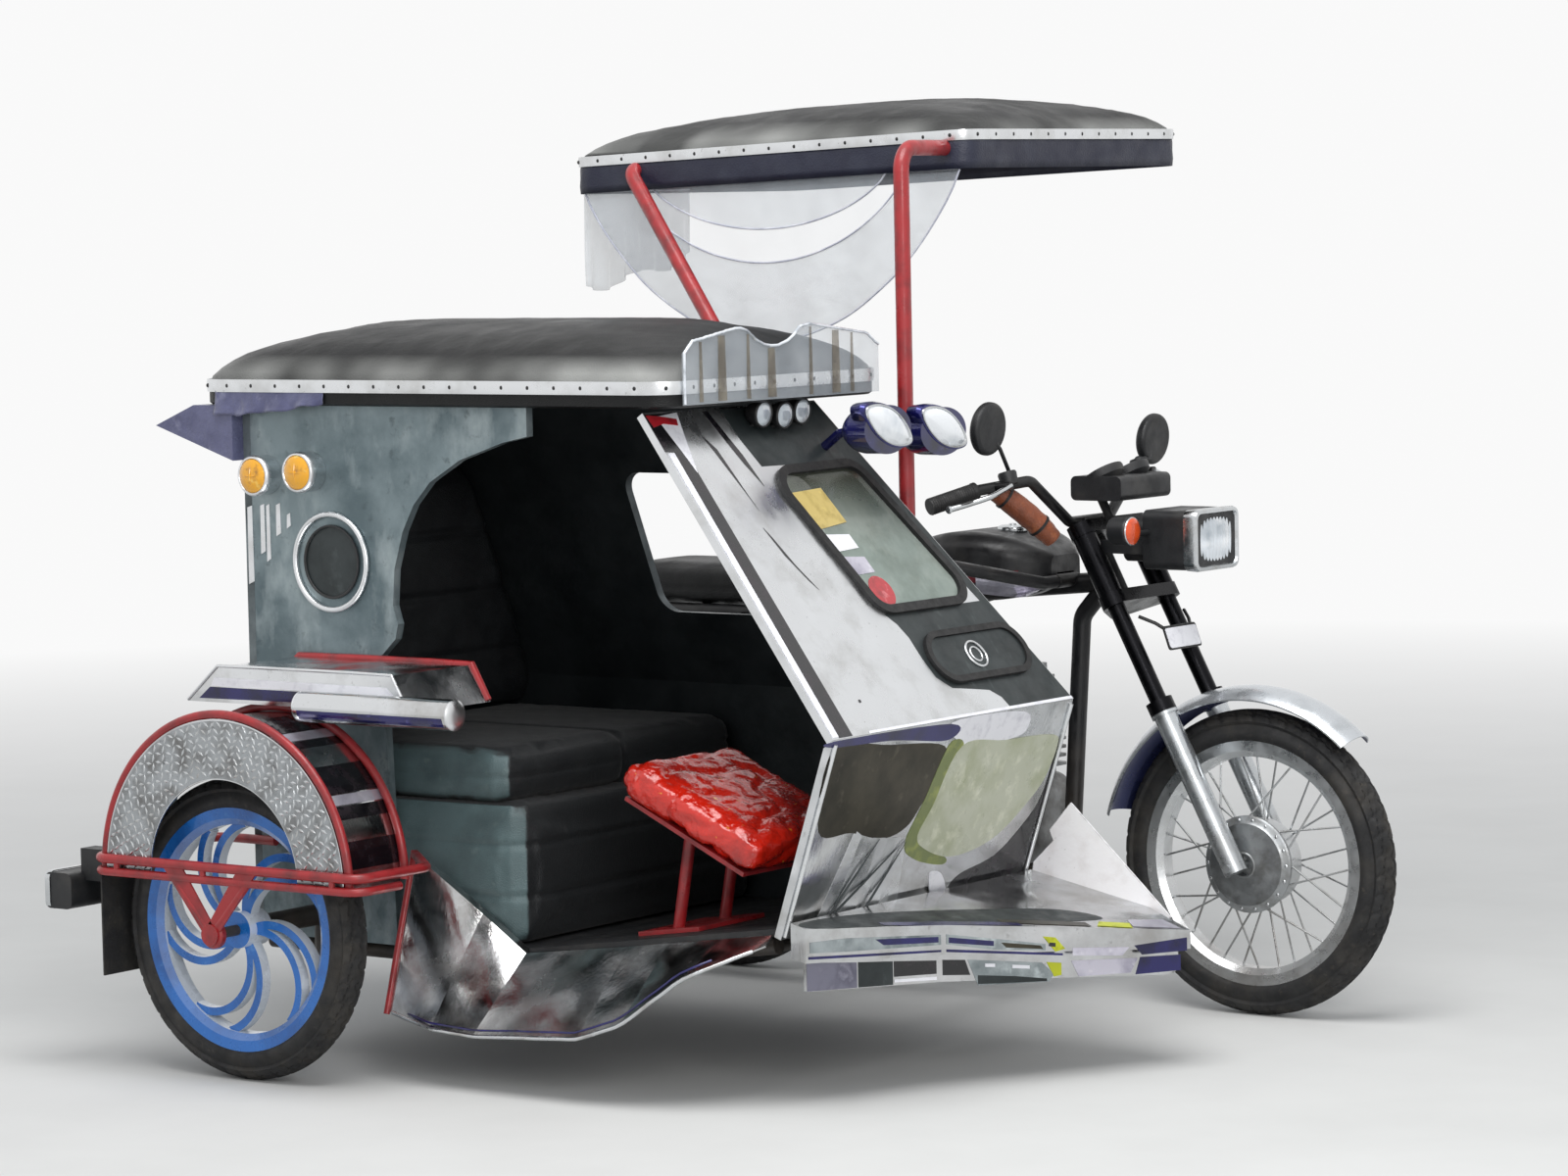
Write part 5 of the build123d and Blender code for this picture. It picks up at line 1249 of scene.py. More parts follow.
# %% Rain curtain
CURTAIN_X, CURTAIN_LONG, CURTAIN_Y = -1310, 915, -407.7
CURTAIN_MIDDLE = CURTAIN_X + CURTAIN_LONG / 2
gap_film = finish("thin_curtain_film", "d6dce2", 0.1, 0.0, Alpha=0.1)
mottle(gap_film, "aab3bb", 16.0, 0.5, 0.72, 0.6)
seam_white = finish("welded_seam", "b3b6c4", 0.25, 0.0, Coat_Weight=0.4)
mottle(seam_white, "e4e6ee", 22.0, 0.44, 0.66, 0.8)
mottle(seam_white, "7d8092", 34.0, 0.6, 0.78, 0.7)


def roof_edge(x):
    """Height of the roof's lower edge, which tips up towards the front."""
    return 1632 + 20 * (x - CURTAIN_X) / CURTAIN_LONG


def arc_low(x):
    """Height of the swag's lower edge at a place along the roof."""
    t = (x - CURTAIN_X) / CURTAIN_LONG
    return roof_edge(x) - (319 * (1 - (2 * t - 1) ** 2) ** 0.82 if 0 < t < 1 else 0)


def inner_arc(x, depth, half):
    """Height of an inner arc of the swag, which leaves the roof's edge at half its width."""
    t = (x - CURTAIN_MIDDLE) / half
    return roof_edge(x) - 3 - depth * (max(1 - t * t, 0.0)) ** 0.75


def curtain_place(x, z):
    """A point of the curtain, whose folds grow downwards."""
    fall = (roof_edge(x) - z) / 320
    ripple = 0.4 + 0.6 * abs(noise.noise(Vector((x * 0.008, z * 0.004, 0))))
    return at(x, CURTAIN_Y - 1.5 + 4.05 * fall * math.sin(x * 0.045) * ripple, z)


# Each part of a column has a number of steps and a finish: 0 milky sheet, 1 clear gap.
PARTS = ((8, 0), (6, 1), (14, 0))
columns = []
for i in range(111):
    x = CURTAIN_X + CURTAIN_LONG * i / 110
    low = arc_low(x)
    levels = (roof_edge(x), max(inner_arc(x, 96, 285), low), max(inner_arc(x, 158, 330) - 4, low), low)
    column = [curtain_place(x, levels[0])]
    for (count, _), top, bottom in zip(PARTS, levels, levels[1:]):
        column += [curtain_place(x, top + (bottom - top) * (k + 1) / count) for k in range(count)]
    columns.append(column)
maker = loft(columns[::-1], caps=False, closed=False)
kinds = [kind for count, kind in PARTS for _ in range(count)]
maker.faces.ensure_lookup_table()
for k, face in enumerate(maker.faces):
    face.material_index = kinds[k % len(kinds)]
bmesh.ops.remove_doubles(maker, verts=maker.verts, dist=2e-5)
curtain = stand("clear_rain_curtain", maker, [clear_sheet, gap_film])
curtain.modifiers.new("sheet", "SOLIDIFY").thickness = 0.0012
for name, depth, half in (("curtain_seam_high", 96, 284), ("curtain_seam_low", 162, 328),
                          ("curtain_hem", None, 457)):
    path = []
    for k in range(61):
        x = CURTAIN_MIDDLE - half + 2 * half * k / 60
        z = arc_low(x) if depth is None else max(inner_arc(x, depth, half), arc_low(x))
        path.append(curtain_place(x, z) - Vector((0, 0.0012, 0)))
    rod(name, path, 2.0, 8, seam_white, slot="clear_sheet")
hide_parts("rain_curtain")

# %% [markdown]
# A second, smaller clear sheet hangs from the roof's rear edge behind the rider. It hangs in upright
# folds, which are deeper at its free lower edge.

# %% Rear clear sheet
BACK_X, BACK_Y, BACK_WIDE = ROOF_X[0] + 13, -400, 350
columns = []
for i in range(61):
    y = BACK_Y + BACK_WIDE * i / 60
    drop = 190 + 12 * math.sin(i * 0.16) - 60 * (i / 60) ** 2
    column = []
    for fall in (j / 16 for j in range(17)):
        fold = 9 * fall * math.sin(i * 0.72 + 0.5 * math.sin(i * 0.23))
        fold += 5 * fall * noise.noise(Vector((i * 0.15, fall, 2.0)))
        column.append(tipped(BACK_X + fold * 0.6, y + 0.3 * fold, ROOF_EDGE - 52 - drop * fall))
    columns.append(column)
back_curtain = stand("rear_clear_sheet", loft(columns[::-1], caps=False, closed=False), clear_sheet)
back_curtain.modifiers.new("sheet", "SOLIDIFY").thickness = 0.001
hem_line = [tipped(BACK_X, BACK_Y + BACK_WIDE * i / 30, ROOF_EDGE - 51) for i in range(31)]
back_hem = rod("rear_sheet_hem", hem_line, 1.8, 8, seam_white, slot="clear_sheet")

# %% [markdown]
# ## The sloping front
# The sheet over the nose carries bands of black and white tape along its outer edge, and a dark
# skin round the window. Tape is a thin plate cut to an outline. The outline is drawn on the sheet
# itself: u runs inboard from the doorway edge, w runs up the slope from the nose, in millimetres.

# %% Places on the nose's two faces
UP_SLOPE, OFF_SLOPE = Vector((-370.0, 0.0, 518.0)).normalized(), Vector((518.0, 0.0, 370.0)).normalized()
UP_FRONT, OFF_FRONT = Vector((121.8, 0.0, 360.0)).normalized(), Vector((360.0, 0.0, -121.8)).normalized()


def on_slope(u, w, out=0.0):
    return at(*(Vector((-100.0, u - 1270.0, 660.0)) + UP_SLOPE * w + OFF_SLOPE * out))


def on_front(y, z, out=0.0):
    return at(*(Vector((-100.0, y, 660.0)) + UP_FRONT * ((z - 660.0) / UP_FRONT.z) + OFF_FRONT * out))


def on_side(x, z, out=0.0):
    return at(x, -1270.0 - out, z)


def mark(name, outline, lift, material, thickness=0.5, gap=0.2, slot="polished_steel", soft=False,
         body="vehicle_body"):
    """A thin plate cut to an outline and laid on a face."""
    points = [(p[0], p[1]) for p in outline]
    if soft:
        points = [(p.x, p.y) for p in smooth_path([(u, v, 0) for u, v in points], 6, closed=True)]
    maker = plate(points, lambda u, v, out: lift(u, v, out + gap), thickness)
    return stand(name, maker, material, body, smooth=False, slot=slot)


def circle(u, v, r, count=32, squeeze=1.0):
    return [(u + r * math.cos(a), v + r * squeeze * math.sin(a)) for a in angles(count)]


print("faces of the nose ready")

# %% Tapes, skins and painted reflections
# Besides tape, the black and white finishes make dark painted reflections and painted highlights on the
# polished sheet.
black_tape = coated("black_tape", "0f0e12", 0.22, 0.0, (("2a1f27", 30.0, 0.5, 0.7, 0.7),
                    ("6a6670", 90.0, 0.68, 0.8, 0.5)), (30.0, 0.12, 0.35), Coat_Weight=0.4)
white_tape = coated("white_tape", "e9e9ee", 0.25, 0.0, (("b9b8c2", 40.0, 0.5, 0.74, 0.6),
                    ("5c5860", 120.0, 0.68, 0.8, 0.6)), Coat_Weight=0.3)
# Navy is a painted reflection wherever it is used.
navy_tape = coated("navy_tape", "1d1a5e", 0.2, 0.2, (("0c0a2c", 14.0, 0.42, 0.66, 0.9),
                   ("5a58a0", 60.0, 0.64, 0.78, 0.6)), Coat_Weight=0.4)
pale_plate = coated("pale_plate_paint", "bcbfab", 0.35, 0.0, (("a3a888", 12.0, 0.42, 0.64, 0.8),
                    ("e6e6d2", 26.0, 0.55, 0.74, 0.7), ("6f7048", 80.0, 0.68, 0.8, 0.6)), (20.0, 0.25, 0.5))
green_edge = coated("green_plate_edge", "737d4c", 0.4, 0.0, (("a4ab58", 30.0, 0.5, 0.72, 0.7),
                    ("3c4420", 70.0, 0.62, 0.78, 0.7)))
ochre_plate = coated("ochre_plate_paint", "c2ad6c", 0.4, 0.0, (("8f7a3c", 26.0, 0.5, 0.72, 0.8),
                     ("d9c477", 60.0, 0.6, 0.76, 0.6)))
# Olive is a painted reflection on the polished sheet.
olive_steel = coated("olive_steel", "4a463b", 0.3, 0.75, (("2b2922", 8.0, 0.42, 0.66, 0.9),
                     ("7b7566", 30.0, 0.6, 0.78, 0.5)))
stripe_film = coated("smoky_stripe_film", "6d6353", 0.2, 0.0, (("a89f8c", 22.0, 0.46, 0.68, 0.7),),
                     Alpha=0.45)
lime_tape = coated("lime_tape", "b9bf1c", 0.35, 0.0, (("7c8014", 40.0, 0.5, 0.7, 0.8),
                   ("e4e89a", 70.0, 0.64, 0.78, 0.7)))
# Pale lilac also makes painted reflections on the bumper.
lilac_steel_and_reflection = coated("pale_lilac_steel", "cdcad6", 0.25, 0.6, (("8f8c9e", 16.0, 0.45, 0.68, 0.8),
                     ("f1f0f4", 40.0, 0.58, 0.76, 0.7)))
red_gloss = coated("red_sticker_film", "b01e28", 0.25, 0.0, (("e88a8e", 45.0, 0.56, 0.72, 0.7),
                   ("6d1017", 30.0, 0.5, 0.72, 0.7)), Coat_Weight=0.5)
print("tapes ready")

# %% Bands and skin of the sloping sheet
mark("screen_white_strip", [(2, 4), (19, 4), (23, 606), (7, 606)], on_slope, white_tape, 1.2)
mark("screen_black_band", [(21, 2), (60, 2), (58, 560), (84, 690), (1, 690), (1, 610), (25, 608)], on_slope,
     black_tape)
mark("screen_top_shine", [(30, 684), (46, 612), (56, 560), (80, 640), (96, 690)], on_slope, white_tape, 1.0)
mark("screen_top_red", [(4, 688), (8, 662), (40, 668), (78, 662), (84, 676), (40, 684)], on_slope, red_gloss,
     1.6)
mark("screen_dark_skin", [(562, 7), (766, 7), (521, 690), (225, 690), (234, 620), (250, 562), (528, 558),
                          (662, 230), (352, 230), (372, 206), (384, 176), (386, 130), (394, 88), (424, 62),
                          (480, 54), (530, 46), (554, 28)], on_slope, dark_skin_and_shade, 0.3, 0.1)
mark("screen_nose_line", [(112, 0.5), (769, 0.5), (767, 6.5), (112, 5.5)], on_slope, white_tape, 1.0)
mark("screen_scratch_low", [(150, 436), (160, 414), (180, 352), (206, 296), (192, 318), (166, 374)], on_slope,
     black_tape, 0.4)
mark("screen_scratch_high", [(128, 640), (150, 606), (163, 500), (168, 470), (158, 520), (140, 600)],
     on_slope, black_tape, 0.4)
mark("screen_scratch_top", [(170, 688), (186, 688), (214, 590), (224, 520), (204, 570)], on_slope, black_tape,
     0.4)
mark("screen_speck", circle(136, 66, 3.4, 12), on_slope, black_tape, 0.6)
mark("window_blank_plate", [(276, 500), (384, 505), (401, 428), (292, 417)], on_slope, ochre_plate, 0.8)
mark("window_pale_strip", [(300, 408), (387, 402), (392, 372), (312, 368)], on_slope, white_tape, 0.6)
mark("window_pale_strip_low", [(316, 358), (393, 352), (398, 318), (334, 316)], on_slope, lilac_steel_and_reflection, 0.6)
mark("window_red_disc", circle(385, 277, 33, 36), on_slope, red_gloss, 0.8, slot="clear_sheet")
ring_path = [on_slope(u, v, 6.6) for u, v in circle(545, 120, 27, 40)]
stand("cover_plain_ring", tube(ring_path, 2.3, 8, closed=True), bright_steel)
inner_path = [on_slope(u, v, 6.0) for u, v in circle(545, 120, 15, 32)]
stand("cover_plain_boss", tube(inner_path, 1.8, 8, closed=True), bright_steel)
print("sloping sheet dressed")

# %% [markdown]
# The clear deflector over the nose has a scalloped top edge, and a near-white tube along it is a
# painted highlight. The edge is found by asking how high the sheet still reaches at each place across it.

# %% Painted highlight along the deflector's edge
SHEET = surface_of("roof_deflector")
sheet_low, sheet_high = drawn_corners_of(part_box("roof_deflector"))


def sheet_top(y):
    """The highest place of the deflector that a level line along the vehicle still meets."""
    z = sheet_high.z - 0.5
    while z > sheet_low.z and not meet(SHEET, at(0, y, z), (-1, 0, 0)):
        z -= 1.5
    return z


edge = [at(sheet_high.x + 1, sheet_low.y + 0.8, sheet_low.z + 2 + 8 * k) for k in range(10)]
edge += [at(sheet_high.x + 1, y, sheet_top(y)) for y in
         (sheet_low.y + 1.2 + (sheet_high.y - sheet_low.y - 2.4) * k / 100 for k in range(101))]
edge = [p for k, p in enumerate(edge) if k == 0 or (p - edge[k - 1]).length > 0.0015]
# Painted highlight: a near-white tube along the sheet's top edge.
bright_edge = finish("bright_sheet_edge", "dfe4ea", 0.12, 0.2, Coat_Weight=0.8)
mottle(bright_edge, "8c939c", 26.0, 0.46, 0.66, 0.9)
mottle(bright_edge, "5b4a3c", 40.0, 0.62, 0.78, 0.7)
stand("deflector_bright_edge", tube(edge, 2.6, 8), bright_edge, slot="polished_steel")
for k, y in enumerate((-1206, -1150, -1064, -1000, -872, -800, -742)):
    top = min(sheet_top(y) - 4, sheet_top(y + 8) - 4)
    mark(f"deflector_stripe_{k}", [(y, sheet_low.z + 4), (y + (26 if k % 2 else 12), sheet_low.z + 4),
                                   (y + (22 if k % 2 else 9), top), (y + 2, top)],
         lambda u, v, out: at(sheet_high.x + out, u, v), stripe_film, 0.4, slot="clear_sheet")
print("deflector edge:", len(edge), "points")

# %% [markdown]
# The panel under the nose leans back to the road. It is polished too, and it mirrors the street in
# bent shapes, so a few shapes of dark and pale sheet follow those. A large blank plate in pale paint
# covers its middle.

# %% Panel under the nose
FRONT_SHAPES = (
    ("front_olive_reflection", [(-1262, 640), (-1080, 632), (-904, 612), (-902, 558), (-930, 506),
                                (-961, 468), (-1030, 455), (-1134, 478), (-1240, 492)], olive_steel, 0.3),
    ("front_navy_line", [(-1262, 657), (-900, 652), (-900, 622), (-1080, 640), (-1262, 646)], navy_tape, 0.6),
    ("front_sky_reflection", [(-898, 654), (-664, 652), (-640, 612), (-720, 600), (-822, 598)], white_tape,
     0.5),
    ("front_dark_reflection", [(-506, 640), (-506, 306), (-716, 306), (-764, 322), (-735, 352), (-630, 375),
                               (-560, 424), (-520, 476), (-512, 560)], black_tape, 0.4),
    ("front_plate_edge", [(-890, 612), (-840, 604), (-884, 510), (-912, 446), (-886, 424), (-800, 392),
                          (-810, 380), (-900, 400), (-950, 434), (-926, 506)], green_edge, 0.9),
    ("front_blank_plate", [(-846, 606), (-700, 602), (-540, 596), (-514, 570), (-530, 508), (-580, 458),
                           (-643, 416), (-718, 396), (-799, 394), (-880, 418), (-916, 446), (-892, 500)],
     pale_plate, 1.6),
    ("front_glint", [(-840, 366), (-800, 362), (-766, 318), (-806, 312)], white_tape, 0.8),
)
for name, outline, material, thickness in FRONT_SHAPES:
    mark(name, outline, on_front, material, thickness, soft=True)
print("shapes on the front panel:", len(FRONT_SHAPES))

# %% [markdown]
# The outboard lower corner of the panel is dented into a fan of creases. Each crease is a low ridge
# with a sharp crest, so one side mirrors the sky and the other the road.

# %% Creased corner
# Each crease has its place (y, z) on the panel's face at its upper end, then at its lower end.
CREASES = (((-1124, 482), (-1182, 300)), ((-1100, 470), (-1150, 288)), ((-1070, 462), (-1108, 288)),
           ((-1040, 458), (-1070, 286)), ((-1010, 455), (-1032, 287)), ((-985, 452), (-994, 284)),
           ((-965, 450), (-956, 283)), ((-950, 446), (-918, 290)))
columns = []
for k, ((y0, z0), (y1, z1)) in enumerate(CREASES):
    height = 1.0 if k % 2 else 0.12
    column = []
    for t in (j / 9 for j in range(10)):
        lift = 0.3 if k in (0, len(CREASES) - 1) else (1.2 + 5.2 * t * (1 - 0.3 * t)) * height
        column.append(on_front(y0 + (y1 - y0) * t, max(z0 + (z1 - z0) * t, 305), lift))
    columns.append(column)
creases = stand("front_creased_corner", loft(columns[::-1], caps=False, closed=False), bright_steel,
                smooth=False)
creases.modifiers.new("sheet", "SOLIDIFY").thickness = 0.0006
SHADOWS = (((-954, 446), (-1182, 302)), ((-1040, 456), (-1163, 316)), ((-950, 440), (-1060, 300)))
SHADOW_RADII = [0.4, 1.2, 1.8, 2.2, 2.4, 2.2, 1.0]
for k, (a, b) in enumerate(SHADOWS):
    path = [on_front(a[0] + (b[0] - a[0]) * t / 6, a[1] + (b[1] - a[1]) * t / 6, 2.0 + t) for t in range(7)]
    stand(f"front_crease_shadow_{k}", tube(path, SHADOW_RADII, 6), dark_skin_and_shade, slot="dark_plastic")
for name, y in (("front_outer_bead", -1263.0), ("front_inner_bead", -507.0)):
    path = smooth_path([on_front(y, z, 3.0) for z in (306, 420, 540, 652)], 3)
    stand(name, tube(path, 4.2, 10), bright_steel)
print("front panel dressed")

# %% [markdown]
# ### Nose bumper
# The bumper is a folded box of thin bright sheet with a step along its face. Painted reflections,
# painted glints and small lime patches near its inboard end lie on it. Each face of the folded box is a
# plane through two corners of its plan, so a place on it is a share t along that edge and a height z.

# %% Faces of the bumper
BUMPER_PLAN = [Vector(p) for p in ((-165.0, -1275.0), (-60.0, -1000.0), (60.0, -780.0), (185.0, -560.0),
                                   (60.0, -500.0))]


def on_face(index, inset=0.0):
    """A lift for one face of the bumper, inset behind the upper face by some millimetres."""
    a, b = BUMPER_PLAN[index], BUMPER_PLAN[index + 1]
    along = (b - a).normalized()
    outward = Vector((-along.y, along.x))
    if outward.x < 0:
        outward = -outward

    def lift(t, z, out):
        p = a + (b - a) * t + outward * (out - inset)
        return at(p.x, p.y, z)
    return lift


def on_top(x, y, out):
    return at(x, y, 335.0 - 0.2049 * (x + 215.0) + out)


# Pale teal and smoky lilac are painted reflections on the bumper.
teal_painted_reflection = finish("pale_teal_steel", "a9b1b3", 0.2, 0.8)
mottle(teal_painted_reflection, "666f72", 10.0, 0.44, 0.66, 0.9)
mottle(teal_painted_reflection, "dfe8ea", 18.0, 0.56, 0.74, 0.8)
grey_painted_reflection = finish("smoky_lilac_steel", "7c7b8a", 0.24, 0.7)
mottle(grey_painted_reflection, "51505f", 12.0, 0.45, 0.68, 0.9)
mottle(grey_painted_reflection, "b5b3c2", 24.0, 0.58, 0.76, 0.7)
# Apart from the lime patches and the black eye in one, these are painted reflections, and the glints and the
# white line are painted highlights.
BUMPER_MARKS = (
    ("upper_sky", [(0.03, 300), (0.3, 300), (0.98, 286), (0.98, 268), (0.3, 276), (0.03, 281)], 0, 0,
     teal_painted_reflection, 0.4),
    ("upper_sky_two", [(0.02, 286), (0.5, 266), (0.82, 252), (0.82, 240), (0.4, 250), (0.02, 268)], 1, 0,
     teal_painted_reflection, 0.4),
    ("upper_line", [(0.02, 275), (0.98, 259), (0.98, 255), (0.02, 270)], 0, 0, navy_tape, 0.6),
    ("upper_navy", [(0.5, 292), (0.96, 283), (0.96, 273), (0.56, 280)], 0, 0, navy_tape, 0.7),
    ("upper_navy_two", [(0.04, 280), (0.4, 266), (0.4, 257), (0.04, 270)], 1, 0, navy_tape, 0.7),
    ("upper_olive", [(0.46, 262), (0.78, 250), (0.8, 243), (0.5, 252)], 1, 0, olive_steel, 0.7),
    ("upper_line_two", [(0.02, 259), (0.96, 232), (0.96, 228), (0.02, 254)], 1, 0, navy_tape, 0.6),
    ("upper_lime", [(0.8, 266), (0.9, 262), (0.98, 240), (0.9, 236)], 1, 0, lime_tape, 0.9),
    ("upper_lime_eye", [(0.85, 254), (0.9, 252), (0.9, 245), (0.85, 247)], 1, 0, black_tape, 1.3),
    ("upper_end_lilac", [(0.04, 240), (0.5, 232), (0.44, 218), (0.04, 226)], 2, 0, lilac_steel_and_reflection, 0.4),
    ("upper_end_navy", [(0.54, 234), (0.97, 240), (0.97, 216), (0.6, 216)], 2, 0, navy_tape, 0.5),
    ("lower_grey", [(0.04, 262), (0.4, 252), (0.4, 207), (0.04, 211)], 0, 16, grey_painted_reflection, 0.6),
    ("lower_olive", [(0.41, 252), (0.66, 246), (0.66, 204), (0.41, 207)], 0, 16, dark_skin_and_shade, 0.6),
    ("lower_black", [(0.67, 246), (0.98, 238), (0.98, 214), (0.67, 218)], 0, 16, black_tape, 0.6),
    ("lower_line", [(0.67, 213), (0.98, 209), (0.98, 203), (0.67, 208)], 0, 16, white_tape, 0.9),
    ("lower_black_two", [(0.02, 238), (0.2, 234), (0.24, 206), (0.02, 210)], 1, 16, black_tape, 0.6),
    ("lower_facet", [(0.22, 234), (0.82, 216), (0.92, 194), (0.88, 180), (0.3, 186)], 1, 16, teal_painted_reflection, 0.6),
    ("lower_facet_dark", [(0.3, 204), (0.6, 196), (0.86, 186), (0.86, 181), (0.3, 188)], 1, 16, dark_skin_and_shade,
     0.9),
    ("lower_glint", [(0.36, 224), (0.44, 222), (0.44, 216), (0.36, 218)], 1, 16, white_tape, 1.2),
    ("lower_glint_two", [(0.58, 217), (0.72, 213), (0.72, 207), (0.58, 211)], 1, 16, white_tape, 1.2),
    ("lower_lime", [(0.86, 216), (0.98, 212), (0.98, 190), (0.92, 188)], 1, 16, lime_tape, 0.9),
    ("lower_end_lilac", [(0.06, 214), (0.6, 208), (0.54, 182), (0.12, 184)], 2, 16, lilac_steel_and_reflection, 0.6),
    ("lower_end_navy", [(0.62, 209), (0.95, 207), (0.95, 178), (0.58, 178)], 2, 16, navy_tape, 0.6),
)
for name, outline, face, inset, material, thickness in BUMPER_MARKS:
    mark("bumper_" + name, outline, on_face(face, inset), material, thickness)
# On the top face the dark shape is a painted shadow, and the navy, olive and lilac shapes are painted
# reflections.
mark("bumper_top_shadow", [(-190, -1256), (-150, -1240), (-96, -1080), (-40, -930), (30, -770), (60, -660),
                           (-20, -700), (-110, -900), (-176, -1100)], on_top, dark_skin_and_shade, 0.25, soft=True)
mark("bumper_top_navy", [(-110, -1112), (-84, -1060), (-34, -950), (14, -856), (-4, -852), (-70, -980),
                         (-126, -1110)],
     on_top, navy_tape, 0.4, 0.6)
mark("bumper_top_olive", [(-16, -880), (36, -800), (80, -730), (60, -720), (10, -800), (-32, -872)], on_top,
     olive_steel, 0.4, 0.6)
mark("bumper_top_lime", [(84, -716), (124, -660), (104, -640), (70, -690)], on_top, lime_tape, 0.6, 0.6)
mark("bumper_top_lilac", [(120, -652), (170, -570), (120, -552), (90, -626)], on_top, lilac_steel_and_reflection, 0.4, 0.6)
# The count covers the painted reflections, highlights and lime patches above.
print("pieces of film on the bumper:", len(BUMPER_MARKS) + 5)

# %% [markdown]
# The sill's lower edge was rolled into a bright lip. The edge is not straight, so it is found on the
# part itself: at each place along the vehicle, the lowest level line that still meets the sheet.

# %% Lip of the sill
SILL = surface_of("sill_skirt")
sill_low, sill_high = drawn_corners_of(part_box("sill_skirt"))
lip = []
x = sill_low.x + 6
while x < sill_high.x - 6:
    z, hit = sill_low.z + 1.0, None
    while z < sill_high.z and not hit:
        hit = meet(SILL, at(x, -1700, z), (0, 1, 0))
        z += 2.0
    if hit:
        lip.append(hit[0] + Vector((0, -0.001, 0.001)))
    x += 14
lip = [p for k, p in enumerate(lip)
       if k in (0, len(lip) - 1) or (p.z < lip[k - 1].z + 0.03 and (p - lip[k - 1]).length < 0.06)]
smooth_lip = [(lip[max(k - 1, 0)] + lip[k] * 2 + lip[min(k + 1, len(lip) - 1)]) / 4 for k in range(len(lip))]
stand("sill_bright_lip", tube(smooth_lip, 4.0, 10), rim_steel)
# The navy line above the bright lip is a painted reflection.
navy_reflection_line = [p + Vector((0, -0.003, 0.012)) for p in smooth_lip[4:-4]]
stand("sill_navy_line", tube(navy_reflection_line, 2.0, 8), navy_tape, slot="blue_paint")
print("sill lip:", len(smooth_lip), "points")

# %% [markdown]
# ### Rear side panel
# The short panel behind the doorway is painted a mottled grey. It carries a plain chrome ring and
# a few upright chrome strips. Two amber lamps sit above them. Their lenses are domed, with a rim
# and moulded ribs.

# %% Ring, strips and amber lamps
ring_path = [on_side(x, z, 5.0) for x, z in circle(-1246, 940, 88, 56, 1.02)]
stand("side_plain_ring", tube(ring_path, 5.5, 10, closed=True), bright_steel)
ring_path = [on_side(x, z, 3.0) for x, z in circle(-1246, 940, 66, 48, 1.02)]
stand("side_plain_ring_inner", tube(ring_path, 2.6, 8, closed=True), dark_plastic)
mark("side_ring_dish", circle(-1246, 940, 64, 48, 1.02), on_side, dark_skin_and_shade, 0.8, slot="grey_panel")
for k, (x, z0, z1, wide) in enumerate(((-1450, 892, 1042, 7), (-1418, 950, 1046, 6), (-1404, 936, 1046, 5),
                                       (-1378, 985, 1048, 6), (-1352, 1000, 1030, 5))):
    mark(f"side_strip_{k}", [(x - wide, z0), (x + wide, z0 + 6), (x + wide - 1, z1), (x - wide + 1, z1 - 4)],
         on_side, bright_steel, 1.6)
for k, (x, z) in enumerate(((-1405.0, 1101.0), (-1293.0, 1109.0))):
    centre = at(x, -1308.3, z)
    rim = turned(centre, (0, -1, 0), ((-6.0, 39.0), (0.4, 38.6), (3.6, 36.0), (4.0, 33.0), (1.0, 30.5),
                                      (0.0, 0.01)), 40)
    stand(f"amber_rim_{k}", rim, bright_steel)
    lens = turned(centre, (0, -1, 0), ((0.3, 32.0), (3.6, 31.0), (7.5, 25.0), (9.6, 15.0), (10.4, 0.01)), 40)
    stand(f"amber_dome_{k}", lens, amber_lens)
    for name, turn_by in (("rib", 90), ("bar", 0)):
        c, s = math.cos(math.radians(turn_by)), math.sin(math.radians(turn_by))
        path = [centre + Vector((c * r * MM, -(10.6 - 0.0098 * r * r) * MM, s * r * MM)) for r in range(-27,
                                                                                                        28,
                                                                                                        6)]
        stand(f"amber_{name}_{k}", tube(path, 1.6, 6), amber_lens)
print("side panel dressed")

# %% [markdown]
# ## Lamps
# The rectangular headlamp is a bright bezel round a fluted glass. The bezel is a loft of rounded
# outlines that steps forward and back again. The glass is a shallow dome whose height also carries
# upright flutes, as a real lens has to spread its beam.

# %% Headlamp
def face_outline(y, z, half_y, half_z, r, x):
    """A rounded outline that faces forward, at a distance x along the vehicle."""
    box = rounded_box_outline((y - half_y, y + half_y), (z - half_z, z + half_z), r, 10)
    return [at(x, p[0], p[1]) for p in box]


LAMP_Z = 925.3
loops = [face_outline(0, LAMP_Z, hy, hz, r, x) for x, hy, hz, r in
         ((-112, 81, 59, 17), (-90, 82.5, 60.5, 18), (-84, 80, 58, 16), (-83, 74, 52, 13), (-89, 71, 49, 11))]
stand("headlamp_bezel", loft(loops, caps=False), rim_steel, "steering_body")
lamp_glass = finish("fluted_lamp_glass", "e6ecf2", 0.08, 0.3, Coat_Weight=0.6)
glass_reflection_rise = vector_math(lamp_glass, "DOT_PRODUCT", spot_of(lamp_glass, at(0, 0, LAMP_Z)), (0.0, 0.0, 1.0))
